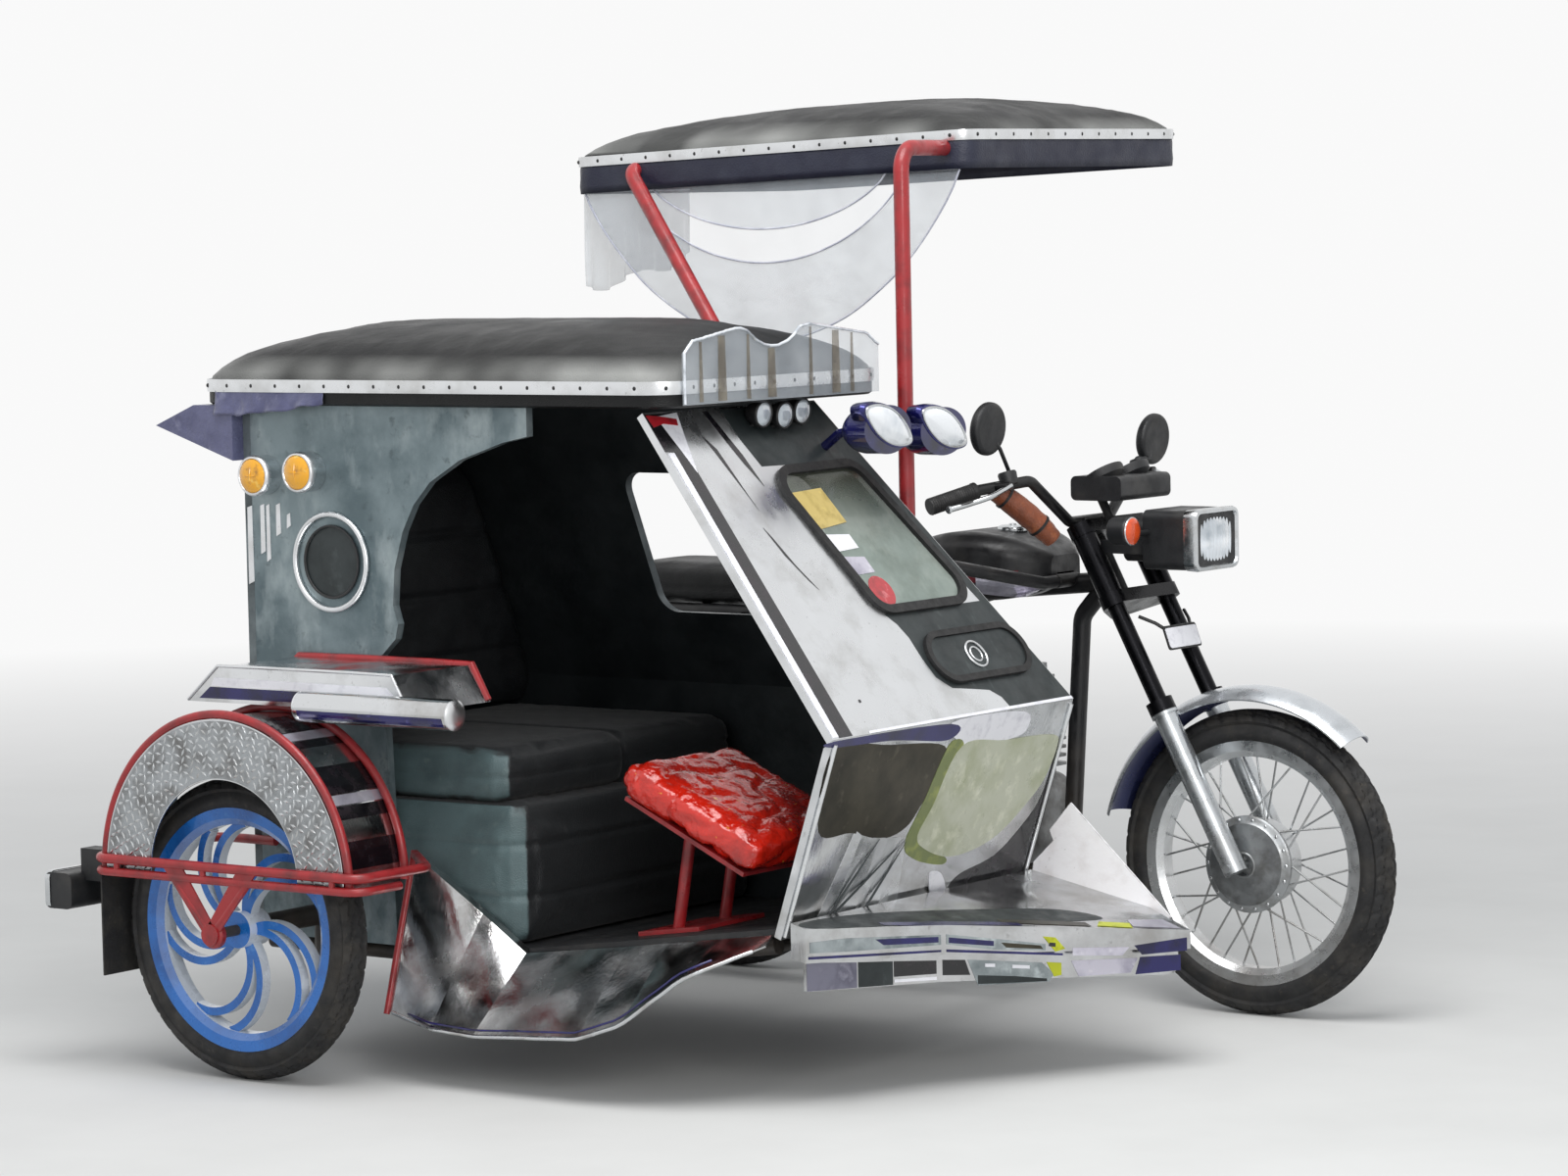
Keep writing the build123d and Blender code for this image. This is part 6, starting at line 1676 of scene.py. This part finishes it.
# Painted reflection: the glass turns grey-blue towards its top and in patches, and its white patches are
# painted highlights.
mix_in(lamp_glass, between(lamp_glass, glass_reflection_rise, -0.004, 0.012, 0.0, 0.5), "8f99a1")
mottle(lamp_glass, "8f9aa2", 22.0, 0.5, 0.7, 0.6)
mottle(lamp_glass, "ffffff", 14.0, 0.56, 0.72, 0.8)
rows = []
for z in (-50 + 100 * j / 24 for j in range(25)):
    row = []
    for y in range(-72, 73, 2):
        edge = 1 - (z / 51) ** 2
        dome = 7 * (1 - (y / 73) ** 2) * edge
        flute = 1.3 * abs(math.sin(math.pi * y / 12.0)) * min(1, 6 * edge)
        row.append(at(-91 + dome + flute, y, LAMP_Z + z))
    rows.append(row)
stand("headlamp_glass", loft(rows, caps=False, closed=False), lamp_glass, "steering_body", slot="white_lens")
for side, word in SIDES:
    centre = at(-180, side * 158, 948)
    lens = turned(centre, (1, 0, 0), ((-2.0, 26.5), (2.5, 25.6), (6.0, 21.0), (8.0, 12.0), (8.6, 0.01)), 32)
    stand(f"front_signal_lens_{word}", lens, signal_lens, "steering_body")
    ring_path = hoop(centre, 26, (0, 1, 0), (0, 0, 1), 32)
    stand(f"front_signal_rim_{word}", tube(ring_path, 1.8, 8, closed=True), rim_steel, "steering_body")
print("headlamp and signals ready")

# %% Oval lamps and the small lamps over the screen
oval_face = finish("oval_lamp_face", "eef1f4", 0.06, 0.25, Coat_Weight=0.8)
mottle(oval_face, "b9c2cc", 18.0, 0.5, 0.72, 0.6)
# Painted shade: the navy shell under each bright oval face.
oval_painted_shade = finish("oval_lamp_under", "23246e", 0.12, 0.6, Coat_Weight=0.6)
mottle(oval_painted_shade, "0b0c22", 20.0, 0.45, 0.68, 0.9)
DROOP = math.radians(-24)
OVAL_LAMPS = surface_of("oval_lamps")
# Each layer: its name, its rings as (share of the face, how far out), closed ends, finish and slot.
OVAL_LAYERS = (
    ("shell", ((1.1, -30.0), (1.16, -6.0), (1.1, 1.0), (1.02, 2.4)), True, oval_painted_shade, "blue_paint"),
    ("rim", ((1.04, 1.6), (1.03, 4.2), (0.97, 4.6), (0.94, 2.6)), False, rim_steel, "polished_steel"),
    ("glass", ((0.95, 2.4), (0.84, 6.0), (0.62, 9.0), (0.36, 10.6), (0.1, 11.2)), True, oval_face,
     "white_lens"),
)


def leaf(front, y, z, share):
    """A leaf-shaped outline that droops inboard, on a lamp's face."""
    points = []
    for a in angles(56):
        p, q = 76 * share * math.cos(a), 31 * share * math.sin(a) * (1 - 0.25 * math.cos(a) ** 2)
        points.append(at(front, y + p * math.cos(DROOP) - q * math.sin(DROOP),
                         z + 8 + p * math.sin(DROOP) + q * math.cos(DROOP)))
    return points


for k, (y, z) in enumerate(((-800.0, 1175.0), (-620.0, 1163.0))):
    hit = meet(OVAL_LAMPS, at(0, y, z), (-1, 0, 0))
    front = drawing(hit[0]).x if hit else -300.0
    for name, rings, ends, material, slot in OVAL_LAYERS:
        loops = [leaf(front + push, y, z, share) for share, push in rings]
        stand(f"oval_{name}_{k}", loft(loops, caps=ends), material, slot=slot)
for k, (u, w) in enumerate(((292, 652), (352, 646), (412, 652))):
    centre = on_slope(u, w, 34)
    shell = turned(centre, (1, 0, -0.1), ((-34.0, 8.0), (-30.0, 16.0), (-12.0, 24.0), (0.0, 26.0),
                                          (3.0, 24.0), (1.0, 21.0)), 28)
    stand(f"small_lamp_shell_{k}", shell, rubber)
    eye = turned(centre, (1, 0, -0.1), ((1.0, 22.0), (4.0, 18.0), (6.0, 9.0), (6.6, 0.01)), 28)
    stand(f"small_lamp_glass_{k}", eye, lamp_glass, slot="white_lens")
    stalk = tube([on_slope(u, w, 0.4), on_slope(u, w, 14), centre - Vector((0.026, 0, 0.004))], 5.0, 10)
    stand(f"small_lamp_stalk_{k}", stalk, black_paint)
print("oval and small lamps ready")

# %% Tail lamps
def rear_lens(name, x, y, z, half_y, half_z):
    """A pillow of red plastic on a lamp's rear face."""
    loops = []
    for inset, lift in ((0.0, -1.0), (0.0, 2.0), (3.0, 4.5), (7.0, 5.4)):
        outline = rounded_box_outline((y - half_y + inset, y + half_y - inset),
                                      (z - half_z + inset, z + half_z - inset), 9.9 - inset * 0.8, 6)
        loops.append([at(x - lift, a, b) for a, b in outline])
    return stand(name, loft(loops), tail_red, slot="dark_plastic")


rear_lens("sidecar_tail_lens", -1689.6, -1553, 334, 44, 24)
loops = [[at(x, a, b) for a, b in rounded_box_outline((-1606.8 - g, -1499.2 + g), (299.2 - g, 368.8 + g), 14,
                                                      6)]
         for x, g in ((-1676, 0.0), (-1676, 1.6), (-1688, 1.6), (-1688, 0.0))]
stand("sidecar_tail_rim", loft(loops, caps=False), rim_steel)
rear_lens("motorcycle_tail_lens", -1555.6, 0, 716, 46, 20)
for side, word in SIDES:
    lens = turned(at(-1550, side * 118, 716), (-1, 0, 0), ((-1.0, 22.5), (2.0, 21.5), (5.0, 17.0),
                                                           (6.4, 0.01)), 28)
    stand(f"rear_signal_lens_{word}", lens, signal_lens)
print("tail lamps ready")

# %% [markdown]
# ## Handlebar fittings
# Grips are ribbed rubber sleeves, so their radius simply alternates along the path. The levers are
# polished over the painted bar. Each mirror has a flat glass behind its dark shell, and the two
# dials have a rim, a pale face, ticks and a needle.

# %% Grips, levers, mirrors and dials
for side, word in SIDES:
    inner, outer = Vector((-446, side * 292, 1030)), Vector((-492, side * 391.6, 1003))
    count = 44
    path = [at(*inner.lerp(outer, 0.05 + 0.95 * k / count)) for k in range(count + 1)]
    radii = [18.2 if k < 3 else (17.2 if k % 2 else 16.3) for k in range(count + 1)]
    stand(f"ribbed_grip_{word}", tube(path, radii, 20), rubber, "steering_body")
    lever = smooth_path([at(-389.8, side * 261.4, 1038.2), at(-391, side * 290, 1030),
                         at(-396, side * 322, 1020.5), at(-424, side * 358, 1008), at(-446, side * 389, 999)],
                        6)
    radii = [6.0 - 0.5 * math.sin(math.pi * k / (len(lever) - 1)) for k in range(len(lever))]
    stand(f"polished_lever_{word}", tube(lever, radii, 12), rim_steel, "steering_body")
    ball = turned(at(-447, side * 391, 998.6), (0, side, 0), ((-6, 0.01), (-4.5, 5.5), (0, 8.0), (4.5, 5.5),
                                                             (6, 0.01)), 16)
    stand(f"lever_ball_{word}", ball, rim_steel, "steering_body")
    pod = turned(at(-410, side * 240, 1052), (-0.3, 0, 1), ((-14, 0.01), (-14, 17), (8, 19), (12, 17),
                                                            (13, 0.01)), 24)
    stand(f"control_pod_{word}", pod, dark_plastic, "steering_body")
    z = 1150.3 if side < 0 else 1100.3
    glass = turned(at(-415, side * 300, z), (-0.97, 0, 0.1), ((10.4, 47.0), (11.6, 46.0), (11.8, 0.01)), 48)
    stand(f"mirror_glass_{word}", glass, rim_steel, "steering_body")
dial_face = finish("dial_face", "d9d7cf", 0.4)
mottle(dial_face, "a5a296", 40.0, 0.5, 0.7, 0.6)
DIAL_UP = Vector((-0.5, 0, 0.866))
for side, word in SIDES:
    centre = at(-312, side * 47, 1046)
    pod = turned(centre, DIAL_UP, ((-16, 30), (-6, 41), (6, 43), (10, 42), (10, 37), (7, 36)), 40)
    stand(f"dial_pod_{word}", pod, dark_plastic, "steering_body")
    plate_of = turned(centre, DIAL_UP, ((6.6, 36.4), (7.6, 36.2), (7.6, 0.01)), 40)
    stand(f"dial_plate_{word}", plate_of, dial_face, "steering_body", slot="dark_plastic")
    cross = Vector((0, 1, 0))
    along = DIAL_UP.cross(cross)
    maker = bmesh.new()
    for k in range(11):
        a = math.radians(-130 + 26 * k)
        ray = cross * math.sin(a) + along * math.cos(a)
        tube([centre + DIAL_UP * 0.008 + ray * r * MM for r in (26, 33)], 0.7, 5, maker=maker)
    a = math.radians(-70 * side)
    ray = cross * math.sin(a) + along * math.cos(a)
    tube([centre + DIAL_UP * 0.0086 + ray * r * MM for r in (-6, 24)], 0.9, 5, maker=maker)
    stand(f"dial_ticks_{word}", maker, rubber, "steering_body")
print("handlebar fittings ready")

# %% [markdown]
# The orange-brown sleeve is a rolled tool pouch that hangs from the bar beside the headstock. It is
# vinyl over soft tools, so its tube is uneven, with a strap round each end.

# %% Tool roll and the blank fork plate
pouch_vinyl = finish("orange_brown_vinyl", "8a4726", 0.42, 0.0, Sheen_Weight=0.2)
mottle(pouch_vinyl, "5c2c18", 12.0, 0.42, 0.66, 0.9)
mottle(pouch_vinyl, "c0764a", 30.0, 0.58, 0.76, 0.7)
grain(pouch_vinyl, 300.0, 0.0006, cells=True)
grain(pouch_vinyl, 26.0, 0.004, stretch=(1, 1, 0.4))
line = smooth_path([at(-366, -148, 926), at(-382, -172, 954), at(-402, -200, 984), at(-424, -228, 1012),
                    at(-440, -250, 1032)], 8)
radii = [24 * (0.55 + 0.45 * max(math.sin(math.pi * k / (len(line) - 1)), 0.0) ** 0.35)
         + 1.6 * noise.noise(Vector((k * 0.4, 0, 0))) for k in range(len(line))]
roll = stand("rolled_tool_pouch", tube(line, radii, 28), pouch_vinyl, "steering_body", slot="red_vinyl")
for k in (8, 24):
    strap = [line[k], line[k + 1]]
    stand(f"pouch_strap_{k}", tube(strap, radii[k] + 1.6, 28), rubber, "steering_body")
for name, x, outline, material, thickness, slot in (
        ("fork_blank_plate", -146, rounded_box_outline((-56, 56), (0, 38), 5), white_tape, 1.6,
         "silver_paint"),
        ("fork_plate_back", -149, rounded_box_outline((-60, 60), (-4, 42), 6), rubber, 2.6, "dark_plastic")):
    mark(name, outline, lambda y, z, out: at(x - 0.35 * z + out, y - 22, 716 + z), material, thickness,
         body="steering_body", slot=slot)
for side in (-1, 1):
    arm = [at(-160, side * 34 - 10, 740), at(-190, side * 62, 762), at(-214, side * 84, 776)]
    stand(f"fork_plate_arm_{side + 1}", tube(arm, 3.6, 8), black_paint, "steering_body")
print("tool roll and plate ready")

# %% [markdown]
# ## Springs, screws and rubbers
# A spring is a helix round the shock absorber. Its wire follows a simple rule, so the path is
# worked out point by point. The screws of the engine's covers come from the fastener tree.

# %% Springs and engine fittings
for side, word in SIDES:
    low, high = Vector((-1260.0, side * 126.0, 324.3)), Vector((-1172.0, side * 126.0, 734.7))
    a, b = low.lerp(high, 0.24), low.lerp(high, 0.86)
    along = (b - a).normalized()
    across = Vector((0, 1, 0))
    cross = along.cross(across)
    turns, per = 11, 18
    path = []
    for k in range(turns * per + 1):
        angle = 2 * math.pi * k / per
        middle = a.lerp(b, k / (turns * per))
        path.append(at(*(middle + (across * math.cos(angle) + cross * math.sin(angle)) * 28)))
    stand(f"shock_spring_{word}", tube(path, 3.6, 8), rim_steel, slot="wire_steel")
    for share in (0.2, 0.88):
        seat = turned(at(*low.lerp(high, share)), along, ((-4, 12), (-4, 30), (4, 30), (6, 24), (6, 12)), 28)
        stand(f"spring_seat_{word}_{int(share * 100)}", seat, black_paint)
for name, x, y, z, r, side in (("clutch_cover_screws", -640, -128.4, 354, 73, -1),
                               ("dynamo_cover_screws", -590, 120.4, 352, 63, 1)):
    ring_path = hoop(at(x, y, z), r, (1, 0, 0), (0, 0, 1))
    on_path(name, ring_path, (0, side, 0), SCREW, 2 * math.pi * r / 9.01, rim_steel, closed=True)
disc = turned(at(-590, 120, 352), (0, 1, 0), ((-0.5, 46), (3.0, 44), (5.0, 30), (3.2, 26), (4.0, 8),
                                              (5.5, 0.01)), 40)
stand("dynamo_cover_boss", disc, hub_alloy)
disc = turned(at(-640, -128, 354), (0, -1, 0), ((-0.5, 52), (3.4, 50), (4.0, 22), (6.0, 20), (6.4, 0.01)), 40)
stand("clutch_cover_boss", disc, hub_alloy)
plug = turned(at(-560, -44, 640), (0, -0.8, 0.6), ((-4, 6), (8, 6), (8, 10), (22, 11), (24, 7), (46, 7),
                                                   (48, 0.01)), 20)
stand("spark_plug_cap", plug, rubber)
for side, word in SIDES:
    path = [at(-690, side * (120 + 92 * k / 30), 234) for k in range(31)]
    radii = [15.5 if k % 3 else 12.6 for k in range(31)]
    stand(f"peg_rubber_{word}", tube(path, radii, 16), rubber)
path = [at(-724, -158 - 44 * k / 14, 466 + 4 * k / 14) for k in range(15)]
radii = [13.0 if k % 3 else 10.8 for k in range(15)]
stand("kick_rubber", tube(path, radii, 16), rubber)
low, high = drawn_corners_of(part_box("front_wheel"))
drum_at = at((low.x + high.x) / 2, 0, (low.z + high.z) / 2)
drum = turned(drum_at, (0, -1, 0), ((30, 21), (30, 92), (36, 95), (42, 95), (45, 91), (47, 84), (51, 80),
                                    (53, 62), (58, 34), (59, 26), (62, 24), (62, 21), (30, 21)), 56,
              caps=False)
bmesh.ops.remove_doubles(drum, verts=drum.verts, dist=0.01 * MM)
stand("front_brake_drum", drum, hub_alloy, "front_wheel_body")
bolt_path = hoop(drum_at + Vector((0, -46.4, 0)) * MM, 87, (1, 0, 0), (0, 0, 1), 48)
on_path("front_drum_screws", bolt_path, (0, -1, 0), RIVET, 2 * math.pi * 87 / 18.01, rim_steel,
        "front_wheel_body", closed=True)
print("springs and engine fittings ready")

# %% Tank marks and cap
maroon_paint = finish("maroon_stripe_paint", "5e1420", 0.3, 0.0, Coat_Weight=0.5)
mottle(maroon_paint, "8a2b34", 20.0, 0.5, 0.72, 0.6)
TANK = surface_of("fuel_tank")


def on_tank(side):
    def lift(x, z, out):
        hit = meet(TANK, at(x, side * 220, z), (0, -side, 0))
        point, normal = hit if hit else (at(x, side * 120, z), Vector((0, side, 0)))
        return point + normal * out * MM
    return lift


def tank_patch(name, side, columns, material, thickness):
    """A skin over the tank between two heights that change along it."""
    lift = on_tank(side)
    loops = []
    for x, low, high in columns:
        outer = [lift(x, low + (high - low) * k / 6, thickness) for k in range(7)]
        inner = [lift(x, high - (high - low) * k / 6, 0.1) for k in range(7)]
        loops.append(outer + inner)
    maker = loft(loops)
    return stand(name, maker, material, smooth=False, slot="red_paint")


for side, word in SIDES:
    stripe = [(x, 832 + 0.05 * (x + 640), 852 + 0.05 * (x + 640)) for x in range(-740, -479, 20)]
    tank_patch(f"tank_stripe_{word}", side, stripe, maroon_paint, 0.6)
    patch = [(x, 806 + 0.12 * abs(x + 490), 846 - 0.1 * (x + 490)) for x in range(-560, -443, 9)]
    tank_patch(f"tank_light_mark_{word}", side, patch, lilac_steel_and_reflection, 0.7)
hit = meet(TANK, at(-560, 0, 1050), (0, 0, -1))
cap_at = hit[0] if hit else at(-560, 0, 930)
cap = turned(cap_at, (0, 0, 1), ((-2, 30), (3, 31), (8, 29), (10, 24), (10, 8), (13, 7), (14, 0.01)), 36)
stand("tank_cap", cap, rim_steel)
print("tank dressed")

# %% [markdown]
# ## Wheel guard
# The guard's face is tread plate: bright sheet with rows of small raised lozenges, slanted in turn
# to either side. The crown is a mirror with black tape across it.

# %% Embossed face, crown bands and chrome box
embossed = finish("tread_plate", "a9adb0", 0.28, 1.0)
mottle(embossed, "6c6a68", 26.0, 0.42, 0.68, 0.8)
mottle(embossed, "35322f", 60.0, 0.6, 0.76, 0.7)
uneven(embossed, 40.0, 0.2, 0.45)
GUARD = Vector((-1235.0, 0.0, 385.0))
GUARD_OUTER, GUARD_INNER, GUARD_FACE = 289, 183, -1606.0
half_turn = [math.pi * k / 60 for k in range(61)]
half_ring = [(GUARD.x + r * math.cos(a), GUARD.z + r * math.sin(a))
             for r, way in ((GUARD_OUTER, half_turn), (GUARD_INNER, half_turn[::-1])) for a in way]
mark("guard_embossed_face", half_ring, lambda x, z, out: at(x, GUARD_FACE - out, z), embossed, 0.5)


def lozenge(maker, x, z, turn_by, length=8.5, width=3.0, high=1.5):
    """One raised bar of the tread plate: a small boat with a ridge, lying on the guard's face."""
    c, s = math.cos(turn_by), math.sin(turn_by)

    def spot(u, v, out):
        return maker.verts.new(at(x + u * c - v * s, GUARD_FACE - 0.6 - out, z + u * s + v * c))
    ends = (spot(-length, 0, 0), spot(length, 0, 0))
    sides = (spot(0, -width, 0), spot(0, width, 0))
    ridge = (spot(-length * 0.45, 0, high), spot(length * 0.45, 0, high))
    for group in ((ends[0], sides[0], ridge[0]), (sides[0], ridge[1], ridge[0]),
                  (sides[0], ends[1], ridge[1]), (ends[1], sides[1], ridge[1]),
                  (sides[1], ridge[0], ridge[1]), (sides[1], ends[0], ridge[0]),
                  (ends[0], sides[1], ends[1], sides[0])):
        maker.faces.new(group)


maker, count = bmesh.new(), 0
for ring in range(8):
    r = 192 + 12.6 * ring
    around = int(math.pi * r / 15.5)
    for k in range(around):
        a = math.pi * (k + 0.5 + 0.5 * (ring % 2)) / around
        if a < math.pi - 0.02:
            lozenge(maker, GUARD.x + r * math.cos(a), GUARD.z + 2 + r * math.sin(a),
                    a + (0.8 if k % 2 else 2.3))
            count += 1
stand("guard_lozenges", maker, rim_steel, smooth=False)
print("lozenges on the guard:", count)


CROWN_R, CROWN_Y = 292.3, (-1602.0, -1444.0)


def crown_band(name, start, end, material):
    """A strip across the guard's crown, from one angle to another."""
    (y0, y1), r = CROWN_Y, CROWN_R
    loops = []
    steps = max(3, int((end - start) / 3))
    for k in range(steps + 1):
        a = math.radians(start + (end - start) * k / steps)
        c, s = math.cos(a), math.sin(a)
        loops.append([at(GUARD.x + rr * c, y, GUARD.z + rr * s) for rr, y in
                      ((r - 0.2, y0), (r + 0.5, y0), (r + 0.5, y1), (r - 0.2, y1))])
    return stand(name, loft(loops), material, smooth=False, slot="black_paint")


DARK_BANDS = ((6, 16), (24, 29), (34, 46), (56, 60), (66, 80), (98, 108), (124, 130), (146, 160))
for k, (start, end) in enumerate(DARK_BANDS):
    crown_band(f"crown_band_{k}", start, end, black_tape)
for k, (start, end) in enumerate(((29.5, 33.5), (60.5, 65.5), (110, 114))):
    crown_band(f"crown_pale_{k}", start, end, lilac_steel_and_reflection)
BOX_TOP, BOX_LOW, BOX_FACE = 760.0, 693.6, -1500
TUBE_Y, TUBE_Z = -1534, 700
for name, y, paint, r in (("box_bright_edge", -1500.6, bright_steel, 3.2),
                          ("box_red_edge", -1274.4, red_paint, 6.5)):
    path = [at(x, y, z) for x, z in ((-1408, BOX_LOW + 3), (-1332, BOX_TOP + 1.5), (-1200, BOX_TOP + 2),
                                     (-1000, BOX_TOP + 2), (-908, BOX_TOP + 1), (-872, BOX_LOW + 3))]
    stand(name, tube(path, r, 10), paint)
# On the chrome box, the navy shape is a painted reflection and the bright line a painted highlight.
for name, outline, tape in (
        ("box_navy_reflection", [(-1380, 700), (-1352, 722), (-905, 722), (-884, 704)], navy_tape),
        ("box_bright_line", [(-1350, 724), (-1340, 740), (-920, 738), (-906, 724)], white_tape)):
    mark(name, outline, lambda x, z, out: at(x, BOX_FACE - out, z), tape, 0.4)
for name, x, side in (("chrome_tube_nose", -735, 1), ("chrome_tube_tail", -1095, -1)):
    end = turned(at(x, TUBE_Y, TUBE_Z), (side, 0, 0), ((-0.5, 28.2), (2, 28.0), (6, 23.0), (8.5, 12.0),
                                                       (9.2, 0.01)), 32)
    stand(name, end, bright_steel)
# A navy painted reflection runs along the lower outer side of the chrome tube.
loops = []
for x in (-1085, -980, -880, -780, -742):
    loops.append([at(x, TUBE_Y + r * math.cos(math.radians(a)), TUBE_Z + r * math.sin(math.radians(a)))
                  for r, a in ((28.1, 188), (28.6, 200), (28.6, 212), (28.1, 226))])
stand("chrome_tube_navy_line", loft(loops), navy_tape, smooth=False, slot="blue_paint")
BRACE_FACE = -1617.0
wheel_low, wheel_high = drawn_corners_of(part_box("sidecar_tyre"))
hub_x, hub_z = (wheel_low.x + wheel_high.x) / 2, (wheel_low.z + wheel_high.z) / 2
for side, word in ((-1, "rear"), (1, "front")):
    foot = [(hub_x + side * (92 + w), 402) for w in (-24, 24)]
    tip = [(hub_x + side * w, hub_z + 4) for w in (20, -16)]
    mark(f"hub_brace_plate_{word}", foot + tip, lambda x, z, out: at(x, BRACE_FACE - out, z), red_paint, 3.5,
         slot="red_paint")
cap = turned(at(hub_x, -1606, hub_z), (0, -1, 0), ((0, 26), (10, 26), (14, 22), (15, 9), (18, 8), (18, 0.01)),
             28)
stand("hub_brace_cap", cap, red_paint)
print("guard dressed")

# %% [markdown]
# ## Studio
# A pale floor that fades to white in the distance, a soft overhead light and a weaker one from the
# camera's side. The world is white to the camera and to mirrors, and gives a plain level of light.

# %% Floor, lights and world
floor_maker = bmesh.new()
bmesh.ops.create_grid(floor_maker, x_segments=1, y_segments=1, size=60.0)
floor_mesh = bpy.data.meshes.new("floor")
floor_maker.to_mesh(floor_mesh)
floor_maker.free()
floor = bpy.data.objects.new("floor", floor_mesh)
bpy.context.scene.collection.objects.link(floor)
floor_finish = finish("studio_floor", "d4d4d2", 0.9)
mottle(floor_finish, "cacac8", 2.0, 0.4, 0.7, 0.5)
glow = part_of(floor_finish, "ShaderNodeEmission", Color=(1, 1, 1, 1), Strength=0.95)
blend = part_of(floor_finish, "ShaderNodeMixShader")
away = vector_math(floor_finish, "LENGTH", object_place(floor_finish))
wire(floor_finish, between(floor_finish, away, 2.2, 9.0), blend.inputs[0])
wire(floor_finish, shader_of(floor_finish).outputs[0], blend.inputs[1])
wire(floor_finish, glow.outputs[0], blend.inputs[2])
wire(floor_finish, blend.outputs[0], floor_finish.node_tree.nodes["Material Output"].inputs["Surface"])
floor.data.materials.append(floor_finish)

world = bpy.data.worlds.new("studio")
bpy.context.scene.world = world
world.use_nodes = True
back = world.node_tree.nodes["Background"]
back.inputs["Color"].default_value = (0.93, 0.96, 1.0, 1)
back.inputs["Strength"].default_value = 0.55
bright = part_of(world, "ShaderNodeBackground", Color=(0.95, 0.95, 0.95, 1))
rays = part_of(world, "ShaderNodeLightPath")
seen = rays.outputs["Is Camera Ray"]
for kind in ("Is Glossy Ray", "Is Transmission Ray"):
    total = part_of(world, "ShaderNodeMath")
    total.operation = "ADD"
    total.use_clamp = True
    wire(world, seen, total.inputs[0])
    wire(world, rays.outputs[kind], total.inputs[1])
    seen = total.outputs[0]
mix = part_of(world, "ShaderNodeMixShader")
for source, socket in zip((seen, back.outputs[0], bright.outputs[0]), mix.inputs):
    wire(world, source, socket)
wire(world, mix.outputs[0], world.node_tree.nodes["World Output"].inputs["Surface"])


def soft_light(name, place, aim, size, power):
    lamp = bpy.data.lights.new(name, "AREA")
    lamp.shape = "DISK"
    lamp.size = size
    lamp.energy = power
    light = bpy.data.objects.new(name, lamp)
    light.location = place
    light.rotation_euler = (Vector(aim) - Vector(place)).to_track_quat("-Z", "Y").to_euler()
    bpy.context.scene.collection.objects.link(light)


soft_light("overhead", (1.0, -1.5, 5.0), (0, 0, 0.6), 3.5, 190)
soft_light("camera_side", (4.5, -4.0, 2.6), (0, 0, 0.7), 2.5, 90)
print("studio ready")
